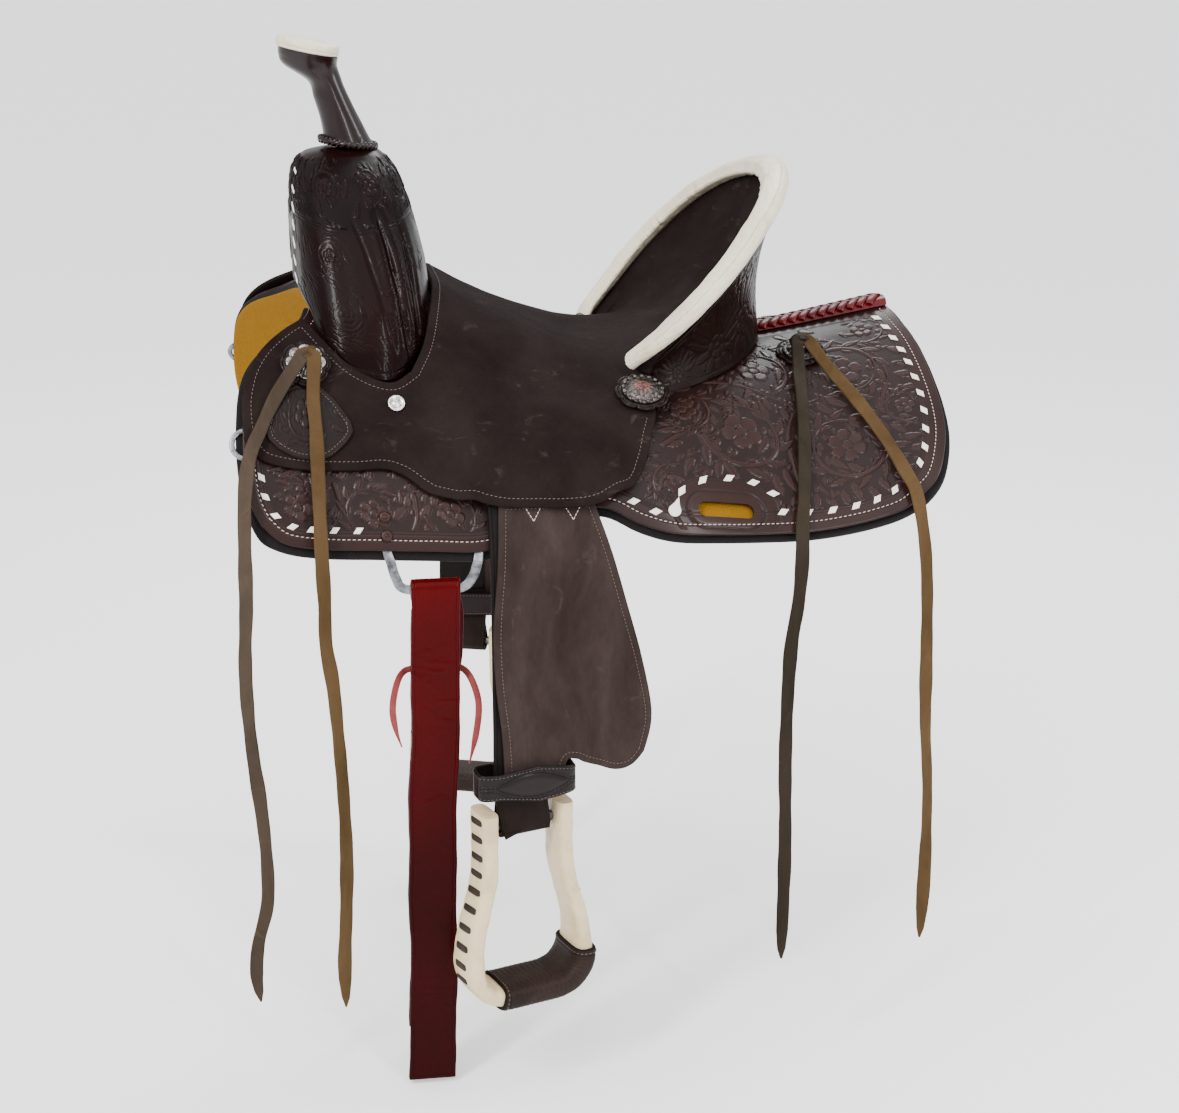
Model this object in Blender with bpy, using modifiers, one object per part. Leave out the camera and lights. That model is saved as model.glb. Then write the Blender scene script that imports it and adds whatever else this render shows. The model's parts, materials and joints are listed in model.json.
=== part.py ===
"""Western barrel racing saddle, built up the way a saddle maker assembles one.

Metres, +Z up. +X runs to the rear of the saddle, +Y to the off (right) side,
so the near (left) side is at -Y. The origin is the centre of the underside,
in the plane of symmetry, at the height where the bars bear on the back.
"""
import math

import bmesh
import bpy
from mathutils import Matrix, Vector

# ---------------------------------------------------------------- clear scene
for old in list(bpy.data.objects):
    bpy.data.objects.remove(old, do_unlink=True)

# ------------------------------------------------------------ driving numbers
# The skirts lie on a surface z = ridge(x) - fall(x) * (w / W_REF) ** power(x),
# where w is the distance from the plane of symmetry.
STATION = (-0.30, -0.20, -0.05, 0.09, 0.24, 0.39)
RIDGE = (0.095, 0.082, 0.030, 0.005, 0.025, 0.054)
FALL = (0.200, 0.200, 0.155, 0.108, 0.138, 0.144)
POWER = (3.2, 3.2, 4.0, 5.0, 2.1, 1.3)
W_REF = 0.25

SKIRT_T = 0.0038  # skirt leather
PLUG_GAP = 0.0028  # room for the rigging plate between skirt and lining
LINING_T = 0.0065  # felt and fleece under the skirts
LINING_PROUD = 0.0055  # how far the lining shows past the leather
SEAT_T = 0.0040  # seat and jockey leather
SEAT_LIFT = 0.0054  # top of the jockey out from the skirt
FENDER_LIFT = 0.0124  # extra room under the jockey where the fender passes
FENDER_T = 0.0040
LEATHER_T = 0.0042  # stirrup leather
LATIGO_W = 0.0445  # 1 3/4 inch strap
LATIGO_T = 0.0032
LATIGO_PITCH = 0.0042
HORN_CAP_R = 0.030
HORN_CAP_T = 0.0105
BINDING_W = 0.0270
BINDING_T = 0.0165
STIRRUP_YAW = math.radians(19.0)
FOOT_TURN = math.radians(10.0)  # how far the fender's foot turns outwards
BOLT_Z = -0.378
BOLT_R = 0.0050
FENDER_PIVOT = Vector((-0.003, -0.2475, -0.078))

NEAR, OFF = "near", "off"
SIDES = (NEAR, OFF)

# Outlines in (x, w), laid on the skirt surface.
SKIRT_FRONT = ((-0.200, 0.070), (-0.206, 0.100), (-0.222, 0.130), (-0.249, 0.154),
               (-0.263, 0.175), (-0.268, 0.200), (-0.2685, 0.218), (-0.265, 0.232), (-0.256, 0.2405))
SKIRT_HEM = ((-0.256, 0.2405), (-0.236, 0.2460), (-0.198, 0.2470), (-0.155, 0.2465), (-0.104, 0.2465),
             (-0.056, 0.2470), (-0.012, 0.2430), (0.030, 0.2380), (0.056, 0.2400), (0.084, 0.2480), (0.118, 0.2525),
             (0.165, 0.2520), (0.215, 0.2500), (0.265, 0.2490), (0.305, 0.2475), (0.333, 0.2440), (0.352, 0.2350))
SKIRT_TOP = ((-0.200, 0.070), (-0.180, 0.064), (-0.155, 0.058), (-0.125, 0.054), (-0.090, 0.050),
             (-0.050, 0.046), (-0.010, 0.042), (0.030, 0.038), (0.060, 0.034), (0.090, 0.029), (0.122, 0.022),
             (0.160, 0.013), (0.200, 0.0075), (0.245, 0.0075), (0.290, 0.0075), (0.332, 0.0075), (0.373, 0.0075))
SKIRT_REAR = ((0.373, 0.0075), (0.379, 0.039), (0.386, 0.070), (0.3905, 0.112), (0.391, 0.152),
              (0.387, 0.182), (0.377, 0.209), (0.3665, 0.225), (0.352, 0.2350))
SKIRT_ROWS = (0.0, 0.17, 0.34, 0.50, 0.64, 0.76, 0.86, 0.935, 1.0)
# Seat leather with its side jockeys, half outline in (x, w).
SEAT_INNER = ((-0.211, 0.131), (-0.192, 0.1500), (-0.172, 0.1655), (-0.150, 0.1735), (-0.131, 0.1745),
              (-0.114, 0.165), (-0.098, 0.134), (-0.086, 0.074), (-0.0840, 0.0))
SEAT_FRONT = ((-0.211, 0.131), (-0.230, 0.1430), (-0.248, 0.1580), (-0.2605, 0.174), (-0.267, 0.190),
              (-0.268, 0.201), (-0.266, 0.212), (-0.259, 0.218))
SEAT_HEM = ((-0.259, 0.218), (-0.248, 0.2215), (-0.218, 0.2232), (-0.171, 0.2225), (-0.146, 0.2212),
            (-0.129, 0.2233), (-0.114, 0.2281), (-0.096, 0.2345), (-0.078, 0.2430), (-0.060, 0.2480), (-0.040, 0.2505),
            (-0.010, 0.2530), (0.016, 0.2555), (0.040, 0.2565), (0.058, 0.2535), (0.075, 0.2430), (0.0865, 0.2317),
            (0.094, 0.220), (0.100, 0.206), (0.106, 0.192), (0.109, 0.176))
# Cantle rim, from the near end of the binding to the top: (x, w, z).
RIM = ((0.099, 0.134, 0.021), (0.125, 0.152, 0.047), (0.151, 0.163, 0.075), (0.180, 0.161, 0.106),
       (0.209, 0.139, 0.137), (0.233, 0.103, 0.160), (0.249, 0.054, 0.174), (0.255, 0.0, 0.179))
CANTLE_FOOT = ((0.106, 0.146), (0.132, 0.143), (0.162, 0.130), (0.192, 0.108), (0.216, 0.080),
               (0.233, 0.051), (0.2405, 0.026), (0.2425, 0.0))
# Height of the seat along the plane of symmetry: (x, z).
SEAT_LINE = ((-0.100, 0.103), (-0.084, 0.095), (-0.043, 0.072), (0.016, 0.047), (0.070, 0.033),
             (0.110, 0.034), (0.150, 0.047), (0.190, 0.080))

# ------------------------------------------------------------------- plumbing
home = bpy.data.collections.new("barrel_racing_saddle")
bpy.context.scene.collection.children.link(home)
tools = bpy.data.collections.new("cutters")
bpy.context.scene.collection.children.link(tools)
tools.hide_render = True

_materials = {}


def material(name, colour, rough, metal=0.0):
    if name not in _materials:
        m = bpy.data.materials.new(name)
        m.use_nodes = True
        b = m.node_tree.nodes["Principled BSDF"]
        b.inputs["Base Color"].default_value = (*colour, 1.0)
        b.inputs["Roughness"].default_value = rough
        b.inputs["Metallic"].default_value = metal
        _materials[name] = m
    return _materials[name]


def own_material(obj, colour, rough, metal=0.0):
    obj.data.materials.clear()
    obj.data.materials.append(material(obj.name + "_finish", colour, rough, metal))


ROUGHOUT = (0.042, 0.030, 0.026)
OXBLOOD = (0.030, 0.010, 0.009)
TOOLED = (0.050, 0.020, 0.014)
REDDISH = (0.085, 0.022, 0.012)
RAWHIDE = (0.72, 0.66, 0.54)
FELT = (0.62, 0.36, 0.03)
STEEL = (0.46, 0.47, 0.49)
SILVER = (0.62, 0.60, 0.58)
LATIGO = (0.20, 0.012, 0.016)
THONG = (0.19, 0.105, 0.045)
WOOD = (0.46, 0.30, 0.16)
IRON = (0.20, 0.20, 0.21)


def smooth_through(xs, ys, x):
    """Smooth value at x of a curve through the stations."""
    n = len(xs)
    x = min(max(x, xs[0] - 0.02), xs[-1] + 0.02)
    i = 0
    while i < n - 2 and x > xs[i + 1]:
        i += 1

    def slope(k):
        if k == 0:
            return (ys[1] - ys[0]) / (xs[1] - xs[0])
        if k == n - 1:
            return (ys[-1] - ys[-2]) / (xs[-1] - xs[-2])
        a, b = xs[k] - xs[k - 1], xs[k + 1] - xs[k]
        return (b * (ys[k] - ys[k - 1]) / a + a * (ys[k + 1] - ys[k]) / b) / (a + b)

    h = xs[i + 1] - xs[i]
    t = (x - xs[i]) / h
    return (ys[i] * (2 * t ** 3 - 3 * t * t + 1) + slope(i) * h * (t ** 3 - 2 * t * t + t)
            + ys[i + 1] * (-2 * t ** 3 + 3 * t * t) + slope(i + 1) * h * (t ** 3 - t * t))


def smoothstep(a, b, x):
    t = min(max((x - a) / (b - a), 0.0), 1.0)
    return t * t * (3 - 2 * t)


def hide(x, w):
    """Height of the skirt's outer face."""
    w = abs(w)
    return (smooth_through(STATION, RIDGE, x)
            - smooth_through(STATION, FALL, x) * (w / W_REF) ** smooth_through(STATION, POWER, x))


def jockey_lift(x, w):
    """Height of the jockey's top above the skirt: more where the fender passes beneath."""
    under = smoothstep(0.150, 0.232, w) * smoothstep(-0.110, -0.062, x) * (1 - smoothstep(0.056, 0.090, x))
    slope = (hide(x, w + 0.001) - hide(x, max(w - 0.001, 0.0))) / (0.001 + min(w, 0.001))
    return (SEAT_LIFT + FENDER_LIFT * under) * math.sqrt(1.0 + slope * slope)


def seat_surface(x, w):
    """Height of the top of the seat leather and its jockeys, ahead of the cantle dish."""
    w = abs(w)
    mid = smooth_through([p[0] for p in SEAT_LINE], [p[1] for p in SEAT_LINE], x)
    base = hide(x, w) + jockey_lift(x, w)
    crown = mid - hide(x, 0.0) - SEAT_LIFT
    return base + crown / (1.0 + (w / 0.125) ** 5)


def lay(surface, x, w, off=0.0, side=-1.0):
    """Point at (x, w) on a surface, moved off along its normal."""
    e = 5e-4
    fx = (surface(x + e, w) - surface(x - e, w)) / (2 * e)
    fw = (surface(x, w + e) - surface(x, max(w - e, 0.0))) / (e + min(w, e))
    n = Vector((-fx, -fw * side, 1.0)).normalized()
    return Vector((x, side * w, surface(x, w))) + n * off


def polyline(points, n):
    """n + 1 points spaced evenly along a smooth curve through the given points."""
    pts = [Vector(p if len(p) == 3 else (*p, 0.0)) for p in points]
    dense = []
    for i in range(len(pts) - 1):
        p0, p1, p2 = pts[max(i - 1, 0)], pts[i], pts[i + 1]
        p3 = pts[min(i + 2, len(pts) - 1)]
        for k in range(12):
            t = k / 12
            dense.append(0.5 * ((2 * p1) + (p2 - p0) * t + (2 * p0 - 5 * p1 + 4 * p2 - p3) * t * t
                                + (3 * p1 - p0 - 3 * p2 + p3) * t ** 3))
    dense.append(pts[-1])
    run = [0.0]
    for a, b in zip(dense[:-1], dense[1:]):
        run.append(run[-1] + (b - a).length)
    out = []
    j = 0
    for k in range(n + 1):
        s = run[-1] * k / n
        while j < len(run) - 2 and run[j + 1] < s:
            j += 1
        f = (s - run[j]) / max(run[j + 1] - run[j], 1e-9)
        out.append(dense[j].lerp(dense[j + 1], min(max(f, 0.0), 1.0)))
    return out


def at_shares(points, shares):
    """Points at the given shares of the way along a smooth curve."""
    fine = polyline(points, 200)
    return [fine[round(200 * f)] for f in shares]


def coons(top, bottom, left, right, nu, rows):
    """Grid of (x, w) points filling four smooth edges that share their corners."""
    if nu:
        t, b = polyline(top, nu), polyline(bottom, nu)
    else:
        t, b = ([Vector((*p, 0.0)) for p in edge] for edge in (top, bottom))
        nu = len(t) - 1
    if isinstance(rows, int):
        rows = [j / rows for j in range(rows + 1)]
    l, r = at_shares(left, rows), at_shares(right, rows)
    grid = []
    for j, v in enumerate(rows):
        row = []
        for i in range(nu + 1):
            u = i / nu
            row.append((1 - v) * t[i] + v * b[i] + (1 - u) * l[j] + u * r[j]
                       - ((1 - u) * (1 - v) * t[0] + u * (1 - v) * t[nu]
                          + (1 - u) * v * b[0] + u * v * b[nu]))
        grid.append(row)
    return grid


def finish(name, mesh, colour, rough, metal=0.0, home_to=None):
    bm = bmesh.new()
    bm.from_mesh(mesh)
    bmesh.ops.recalc_face_normals(bm, faces=bm.faces)
    bm.to_mesh(mesh)
    bm.free()
    obj = bpy.data.objects.new(name, mesh)
    (home_to or home).objects.link(obj)
    if home_to is None:
        own_material(obj, colour, rough, metal)
        mesh.shade_smooth()
        mesh.set_sharp_from_angle(angle=math.radians(40))
    else:
        obj.hide_render = True
        obj.display_type = "WIRE"
    return obj


def shell(name, upper, lower, colour, rough, metal=0.0):
    """Closed sheet between two point grids of the same size."""
    rows, cols = len(upper), len(upper[0])
    verts = [tuple(p) for row in upper for p in row] + [tuple(p) for row in lower for p in row]
    k = rows * cols
    faces = []
    for j in range(rows - 1):
        for i in range(cols - 1):
            a = j * cols + i
            faces.append((a, a + 1, a + cols + 1, a + cols))
            faces.append((a + k, a + cols + k, a + cols + 1 + k, a + 1 + k))
    rim = ([j * cols for j in range(rows)] + [(rows - 1) * cols + i for i in range(1, cols)]
           + [j * cols + cols - 1 for j in range(rows - 2, -1, -1)] + list(range(cols - 2, 0, -1)))
    for a, b in zip(rim, rim[1:] + rim[:1]):
        faces.append((a, b, b + k, a + k))
    mesh = bpy.data.meshes.new(name)
    mesh.from_pydata(verts, [], faces)
    return finish(name, mesh, colour, rough, metal)


def loft(name, rings, colour, rough, metal=0.0, loop=False, home_to=None):
    """Closed body through rings of points; open ends are capped."""
    n = len(rings[0])
    verts = [tuple(p) for ring in rings for p in ring]
    faces = []
    pairs = len(rings) if loop else len(rings) - 1
    for r in range(pairs):
        a0, b0 = r * n, ((r + 1) % len(rings)) * n
        for i in range(n):
            j = (i + 1) % n
            faces.append((a0 + i, a0 + j, b0 + j, b0 + i))
    if not loop:
        faces.append(tuple(range(n - 1, -1, -1)))
        faces.append(tuple((len(rings) - 1) * n + i for i in range(n)))
    mesh = bpy.data.meshes.new(name)
    mesh.from_pydata(verts, [], faces)
    return finish(name, mesh, colour, rough, metal, home_to=home_to)


def mirrored(point, side):
    """A near-side point, or its twin on the off side."""
    return Vector((point[0], point[1] if side == NEAR else -point[1], point[2]))


def ribbon(name, path, width_dirs, width, thick, colour, rough, side=NEAR):
    """Flat strap along a path; width_dirs gives its width direction at each point."""
    rings = []
    n = len(path)
    for i, p in enumerate(path):
        t = (path[min(i + 1, n - 1)] - path[max(i - 1, 0)]).normalized()
        w = width_dirs[i] if isinstance(width_dirs, list) else width_dirs
        w = (w - t * w.dot(t)).normalized()
        h = t.cross(w).normalized()
        half = (width[i] if isinstance(width, list) else width) / 2
        d = thick / 2
        rings.append([mirrored(q, side) for q in (p + w * half + h * d, p - w * half + h * d,
                                                  p - w * half - h * d, p + w * half - h * d)])
    return loft(name, rings, colour, rough)


def cut(obj, cutter, operation="DIFFERENCE"):
    m = obj.modifiers.new(operation.lower(), "BOOLEAN")
    m.operation = operation
    m.object = cutter
    m.solver = "EXACT"
    return m


def cylinder_cutter(name, centre, axis, radius, length, steps=12):
    bm = bmesh.new()
    bmesh.ops.create_cone(bm, cap_ends=True, cap_tris=False, segments=steps,
                          radius1=radius, radius2=radius, depth=length)
    mesh = bpy.data.meshes.new(name)
    bm.to_mesh(mesh)
    bm.free()
    obj = bpy.data.objects.new(name, mesh)
    tools.objects.link(obj)
    obj.hide_render = True
    obj.display_type = "WIRE"
    obj.matrix_world = (Matrix.Translation(Vector(centre))
                        @ Vector(axis).normalized().to_track_quat("Z", "Y").to_matrix().to_4x4())
    return obj


# ------------------------------------------------------- skirts and their lining
skirt_grid = coons(SKIRT_TOP, SKIRT_HEM, SKIRT_FRONT, SKIRT_REAR, None, SKIRT_ROWS)


def proud(grid, by, by_hem):
    """The same grid with its front, rear and hem edges carried outwards in one more ring."""
    rows = [list(r) for r in grid]
    hem = []
    for i, p in enumerate(rows[-1]):
        a = rows[-1][max(i - 1, 0)]
        b = rows[-1][min(i + 1, len(rows[-1]) - 1)]
        t = (b - a).normalized()
        hem.append(p + Vector((-t.y, t.x, 0)) * by_hem)
    out = []
    for j, row in enumerate(rows):
        a, b = rows[max(j - 1, 0)], rows[min(j + 1, len(rows) - 1)]
        tl = (b[0] - a[0]).normalized()
        tr = (b[-1] - a[-1]).normalized()
        left = row[0] + Vector((-tl.y, tl.x, 0)) * by
        right = row[-1] + Vector((tr.y, -tr.x, 0)) * by
        out.append([left] + row + [right])
    corner_l = rows[-1][0] + (hem[0] - rows[-1][0]) * 0.72 + (out[-1][0] - rows[-1][0]) * 0.72
    corner_r = rows[-1][-1] + (hem[-1] - rows[-1][-1]) * 0.72 + (out[-1][-1] - rows[-1][-1]) * 0.72
    out.append([corner_l] + hem + [corner_r])
    return out


lining_grid = proud(skirt_grid, LINING_PROUD, LINING_PROUD / 2)
SLOT_X, SLOT_W = 0.1645, 0.2405  # rear rigging slot
SLOT_LONG, SLOT_HIGH = 0.052, 0.014

for side in SIDES:
    s = -1.0 if side == NEAR else 1.0
    skirt = shell(f"skirt_{side}",
                  [[lay(hide, p.x, p.y, 0.0, s) for p in row] for row in skirt_grid],
                  [[lay(hide, p.x, p.y, -SKIRT_T, s) for p in row] for row in skirt_grid],
                  TOOLED, 0.42)
    d = SKIRT_T + PLUG_GAP
    shell(f"skirt_lining_{side}",
          [[lay(hide, p.x, p.y, -d, s) for p in row] for row in lining_grid],
          [[lay(hide, p.x, p.y, -d - LINING_T, s) for p in row] for row in lining_grid],
          FELT, 0.95)
    # Slot for the rear billet, right through the skirt leather.
    c = lay(hide, SLOT_X, SLOT_W, -SKIRT_T / 2, s)
    n = (lay(hide, SLOT_X, SLOT_W, 0.01, s) - lay(hide, SLOT_X, SLOT_W, 0.0, s)).normalized()
    along = Vector((1, 0, 0))
    along = (along - n * along.dot(n)).normalized()
    across = n.cross(along)
    rings = []
    for h in (-0.0048, 0.0060):
        ring = []
        for k in range(12):
            a = 2 * math.pi * (k + 0.5) / 12
            ex = math.copysign(SLOT_LONG / 2 - SLOT_HIGH / 2, math.cos(a)) + math.cos(a) * SLOT_HIGH / 2
            ring.append(c + along * ex + across * math.sin(a) * SLOT_HIGH / 2 + n * h)
        rings.append(ring)
    cut(skirt, loft(f"slot_cutter_{side}", rings, None, 0, home_to=tools))

# Braided lacing that draws the two skirts together behind the cantle.
rings = []
for k in range(11):
    x = 0.243 + (0.374 - 0.243) * k / 10
    top = hide(x, 0.0) + 0.0010
    ring = []
    for dy, dz in ((-0.0150, -0.0006), (-0.0100, 0.0050), (0.0, 0.0075), (0.0100, 0.0050),
                   (0.0150, -0.0006), (0.0062, -0.0004), (0.0055, -0.0085), (-0.0055, -0.0085),
                   (-0.0062, -0.0004)):
        lift = hide(x, abs(dy)) - hide(x, 0.0) if abs(dy) > 0.012 else 0.0
        ring.append(Vector((x, dy, top + dz + lift + (0.0012 if abs(dy) > 0.012 else 0.0))))
    rings.append(ring)
loft("skirt_lacing", rings, LATIGO, 0.45)

# --------------------------------------------------------------------- tree
for side in SIDES:
    s = -1.0 if side == NEAR else 1.0
    rows_t, rows_b = [], []
    for w, lo, hi in ((0.052, 0.0020, 0.0105), (0.074, 0.0020, 0.0130), (0.098, 0.0020, 0.0120), (0.116, 0.0022, 0.0085)):
        rt, rb = [], []
        for k in range(9):
            x = -0.196 + (0.138 + 0.196) * k / 8
            spread = 1.0 - 0.12 * smoothstep(0.02, 0.16, x)
            rt.append(lay(hide, x, w * spread, hi, s))
            rb.append(lay(hide, x, w * spread, lo, s))
        rows_t.append(rt)
        rows_b.append(rb)
    shell(f"tree_bar_{side}", rows_t, rows_b, WOOD, 0.6)

# Ground seat: the stiff base under the seat leather.
xs = [-0.078 + (0.146 + 0.078) * k / 8 for k in range(9)]
ws = [-0.100, -0.072, -0.036, 0.0, 0.036, 0.072, 0.100]
up, dn = [], []
for w in ws:
    row = []
    for x in xs:
        y = w * (1 - 0.32 * smoothstep(0.0, 0.07, x))
        row.append(Vector((x, y, seat_surface(x, abs(y)) - SEAT_T - 0.0036)))
    up.append(row)
    dn.append([Vector((p.x, p.y, p.z - 0.0035)) for p in up[-1]])
shell("ground_seat", up, dn, WOOD, 0.7)

# --------------------------------------------------------- fork, cover and horn
# Horizontal sections of the covered fork: z, front x, rear x, half width.
FORK = ((0.008, -0.2060, -0.0940, 0.1705), (0.048, -0.2110, -0.0865, 0.1620), (0.082, -0.2150, -0.0865, 0.1480),
        (0.114, -0.2165, -0.0900, 0.1290), (0.146, -0.2165, -0.0970, 0.1110), (0.174, -0.2155, -0.1050, 0.0890),
        (0.194, -0.2130, -0.1130, 0.0640), (0.205, -0.2075, -0.1210, 0.0430), (0.2115, -0.1990, -0.1290, 0.0270))
FORK_N = 20


def fork_ring(z, front, rear, half, shrink):
    cx, hx = (front + rear) / 2, (rear - front) / 2 - shrink
    hw = half - shrink
    ring = []
    for k in range(FORK_N):
        a = 2 * math.pi * (k + 0.5) / FORK_N
        c, sn = math.cos(a), math.sin(a)
        # squarish section: flat front, rounder rear
        e = 0.62 if c < 0 else 0.80
        x = cx + math.copysign(abs(c) ** e, c) * hx
        y = math.copysign(abs(sn) ** 0.62, sn) * hw
        ring.append(Vector((x, y, z)))
    return ring


def fork_loft(name, shrink, top, collection, colour, rough, lower):
    rings = []
    for z, f, r, h in FORK:
        rings.append(fork_ring(z - (top if z > 0.18 else 0.0), f, r, h, shrink))
    first = rings[0]
    rings.insert(0, [Vector((p.x, p.y * 0.99, lower)) for p in first])
    return loft(name, rings, colour, rough, home_to=collection)


def seat_cutter(name, lift, over_bars, low):
    """Everything below a surface a little above the skirts and jockeys."""
    xs = [-0.26 + 0.024 * k for k in range(10)]
    ws = [-0.19 + 0.38 * k / 16 for k in range(17)]
    up = [[Vector((x, w, hide(x, abs(w)) + lift + over_bars * (1 - smoothstep(0.118, 0.140, abs(w))))) for x in xs] for w in ws]
    dn = [[Vector((x, w, low)) for x in xs] for w in ws]
    obj = shell(name, up, dn, OXBLOOD, 0.3)
    home.objects.unlink(obj)
    tools.objects.link(obj)
    obj.hide_render = True
    obj.display_type = "WIRE"
    return obj


def arch_cutter(name, half, crown, grow):
    """Gullet: an arch that runs right through under the fork."""
    ring = []
    n = 12
    for k in range(n + 1):
        a = math.pi * k / n
        ring.append((math.cos(a) * (half + grow), (crown + grow) * math.sin(a) ** 0.72))
    rings = []
    for x in (-0.30, -0.02):
        rings.append([Vector((x, y, 0.040 + z)) for y, z in ring] + [Vector((x, -half - grow, -0.05)), Vector((x, half + grow, -0.05))])
    return loft(name, rings, None, 0, home_to=tools)


cover = fork_loft("swell_cover", 0.0, 0.0, None, OXBLOOD, 0.22, 0.0)
hollow = fork_loft("swell_hollow", 0.0036, 0.0036, tools, None, 0, -0.02)
below_cover = seat_cutter("below_cover", 0.0070, 0.0100, -0.12)
gullet_wide = arch_cutter("gullet_wide", 0.062, 0.100, 0.0)
cut(cover, hollow)
cut(cover, below_cover)
cut(cover, gullet_wide)
neck_hole = cylinder_cutter("neck_hole", (-0.1568, 0, 0.210), (-0.30, 0, 1), 0.0150, 0.06)
cut(cover, neck_hole)

core = fork_loft("fork_core", 0.0047, 0.0047, None, WOOD, 0.6, 0.0)
below_core = seat_cutter("below_core", 0.0170, 0.0, -0.12)
gullet_core = arch_cutter("gullet_core", 0.062, 0.100, 0.0006)
cut(core, below_core)
cut(core, gullet_core)

# Horn: a cast core, a leather wrap round the neck and a rawhide cap.
HORN_TOP = Vector((-0.1920, 0.0, 0.3150))
HORN_TILT = math.radians(12.0)
cap_n = Vector((math.sin(HORN_TILT), 0, math.cos(HORN_TILT)))
cap_u = Vector((math.cos(HORN_TILT), 0, -math.sin(HORN_TILT)))
# Neck sections: z on the axis, front x, rear x, half width.
NECK = ((0.2162, -0.1835, -0.1300, 0.0235), (0.2245, -0.1815, -0.1365, 0.0210), (0.2410, -0.1840, -0.1450, 0.0185),
        (0.2590, -0.1890, -0.1535, 0.0172), (0.2750, -0.1940, -0.1605, 0.0172))


def oval(cx, cz, hx, hy, n, ux):
    u = ux
    return [Vector((cx, 0, cz)) + u * (hx * math.cos(2 * math.pi * (k + 0.5) / n))
            + Vector((0, hy * math.sin(2 * math.pi * (k + 0.5) / n), 0)) for k in range(n)]


NH = 14
outer, inner = [], []
for z, f, r, h in NECK:
    u = Vector((math.cos(0.12), 0, -math.sin(0.12)))
    outer.append(oval((f + r) / 2, z, (r - f) / 2, h, NH, ux=u))
    inner.append(oval((f + r) / 2, z, 0.0098, 0.0098, NH, ux=u))
under = HORN_TOP - cap_n * (HORN_CAP_T + 0.0004)
flare = [(0.016, 0.0230, 0.0200), (0.0075, 0.0262, 0.0245), (0.0, 0.0285, 0.0285)]
for drop, hx, hy in flare:
    c = under - cap_n * drop + cap_u * (0.0015 if drop == 0 else 0.004 - 0.003 * (drop < 0.01))
    outer.append([c + cap_u * (hx * math.cos(2 * math.pi * (k + 0.5) / NH)) + Vector((0, hy * math.sin(2 * math.pi * (k + 0.5) / NH), 0)) for k in range(NH)])
    c2 = under - cap_n * drop
    inner.append([c2 + cap_u * (0.0098 * math.cos(2 * math.pi * (k + 0.5) / NH)) + Vector((0, 0.0098 * math.sin(2 * math.pi * (k + 0.5) / NH), 0)) for k in range(NH)])
loft("horn_wrap", outer + inner[::-1], OXBLOOD, 0.2, loop=True)

shaft = []
for z, f, r, h in NECK:
    u = Vector((math.cos(0.12), 0, -math.sin(0.12)))
    shaft.append(oval((f + r) / 2, z, 0.0090, 0.0090, NH, ux=u))
foot = Vector(((NECK[0][1] + NECK[0][2]) / 2, 0, 0.2082))
shaft.insert(0, [foot + Vector((0.0120 * math.cos(2 * math.pi * (k + 0.5) / NH), 0.0120 * math.sin(2 * math.pi * (k + 0.5) / NH), 0)) for k in range(NH)])
for lift, r in ((-0.0160, 0.0086), (-0.0075, 0.0086), (0.0006, 0.0086), (0.0012, 0.0255), (0.0052, 0.0255)):
    c = under + cap_n * lift
    shaft.append([c + cap_u * (r * math.cos(2 * math.pi * (k + 0.5) / NH)) + Vector((0, r * math.sin(2 * math.pi * (k + 0.5) / NH), 0)) for k in range(NH)])
loft("horn_core", shaft, IRON, 0.5, 0.8)

rings = []
for lift, r in ((0.0004, 0.0286), (0.0030, HORN_CAP_R), (0.0085, HORN_CAP_R), (HORN_CAP_T, 0.0275)):
    rings.append((lift, r))
cap_rings = [[under + cap_n * l + cap_u * (r * math.cos(2 * math.pi * k / 20)) + Vector((0, r * math.sin(2 * math.pi * k / 20), 0)) for k in range(20)] for l, r in rings]
inner_rings = [[under + cap_n * l + cap_u * (r * math.cos(2 * math.pi * k / 20)) + Vector((0, r * math.sin(2 * math.pi * k / 20), 0)) for k in range(20)] for l, r in ((0.0004, 0.0261), (0.0060, 0.0261))]
loft("horn_cap", [inner_rings[1], inner_rings[0]] + cap_rings, RAWHIDE, 0.45)

# Laced collar where the wrap meets the swell cover.
rings = []
for k in range(16):
    a = 2 * math.pi * k / 16
    mid = Vector((-0.1567 + 0.0310 * math.cos(a), 0.0280 * math.sin(a), 0.2188 - 0.0035 * math.cos(a)))
    out_dir = Vector((math.cos(a), math.sin(a), 0))
    ring = []
    for i in range(6):
        b = 2 * math.pi * i / 6
        ring.append(mid + out_dir * (0.0032 * math.cos(b)) + Vector((0, 0, 0.0038 * math.sin(b))))
    rings.append(ring)
loft("horn_collar", rings, OXBLOOD, 0.35, loop=True)

# ------------------------------------------------- seat, jockeys and the cantle
# The leather is one sheet of columns, each running from its inner edge out to the
# hem: first the wing beside the fork, then the turn behind it, the seat and the dish.
def wing_plan():
    """Columns of (x, w) of the wing, inner end first, from its front edge to the turn."""
    cols = []
    inner_line = polyline(SEAT_INNER[0:6], 6)
    outer_line = polyline(SEAT_HEM[0:7], 6)
    front_line = polyline(SEAT_FRONT, 8)
    for c in range(7):
        a, b = inner_line[c], outer_line[c]
        f = c / 6
        col = []
        for k in range(9):
            straight = a.lerp(b, k / 8)
            bow = (front_line[k] - front_line[0].lerp(front_line[8], k / 8)) * (1 - f) ** 2
            col.append(straight + bow)
        cols.append(col)
    return cols


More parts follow.
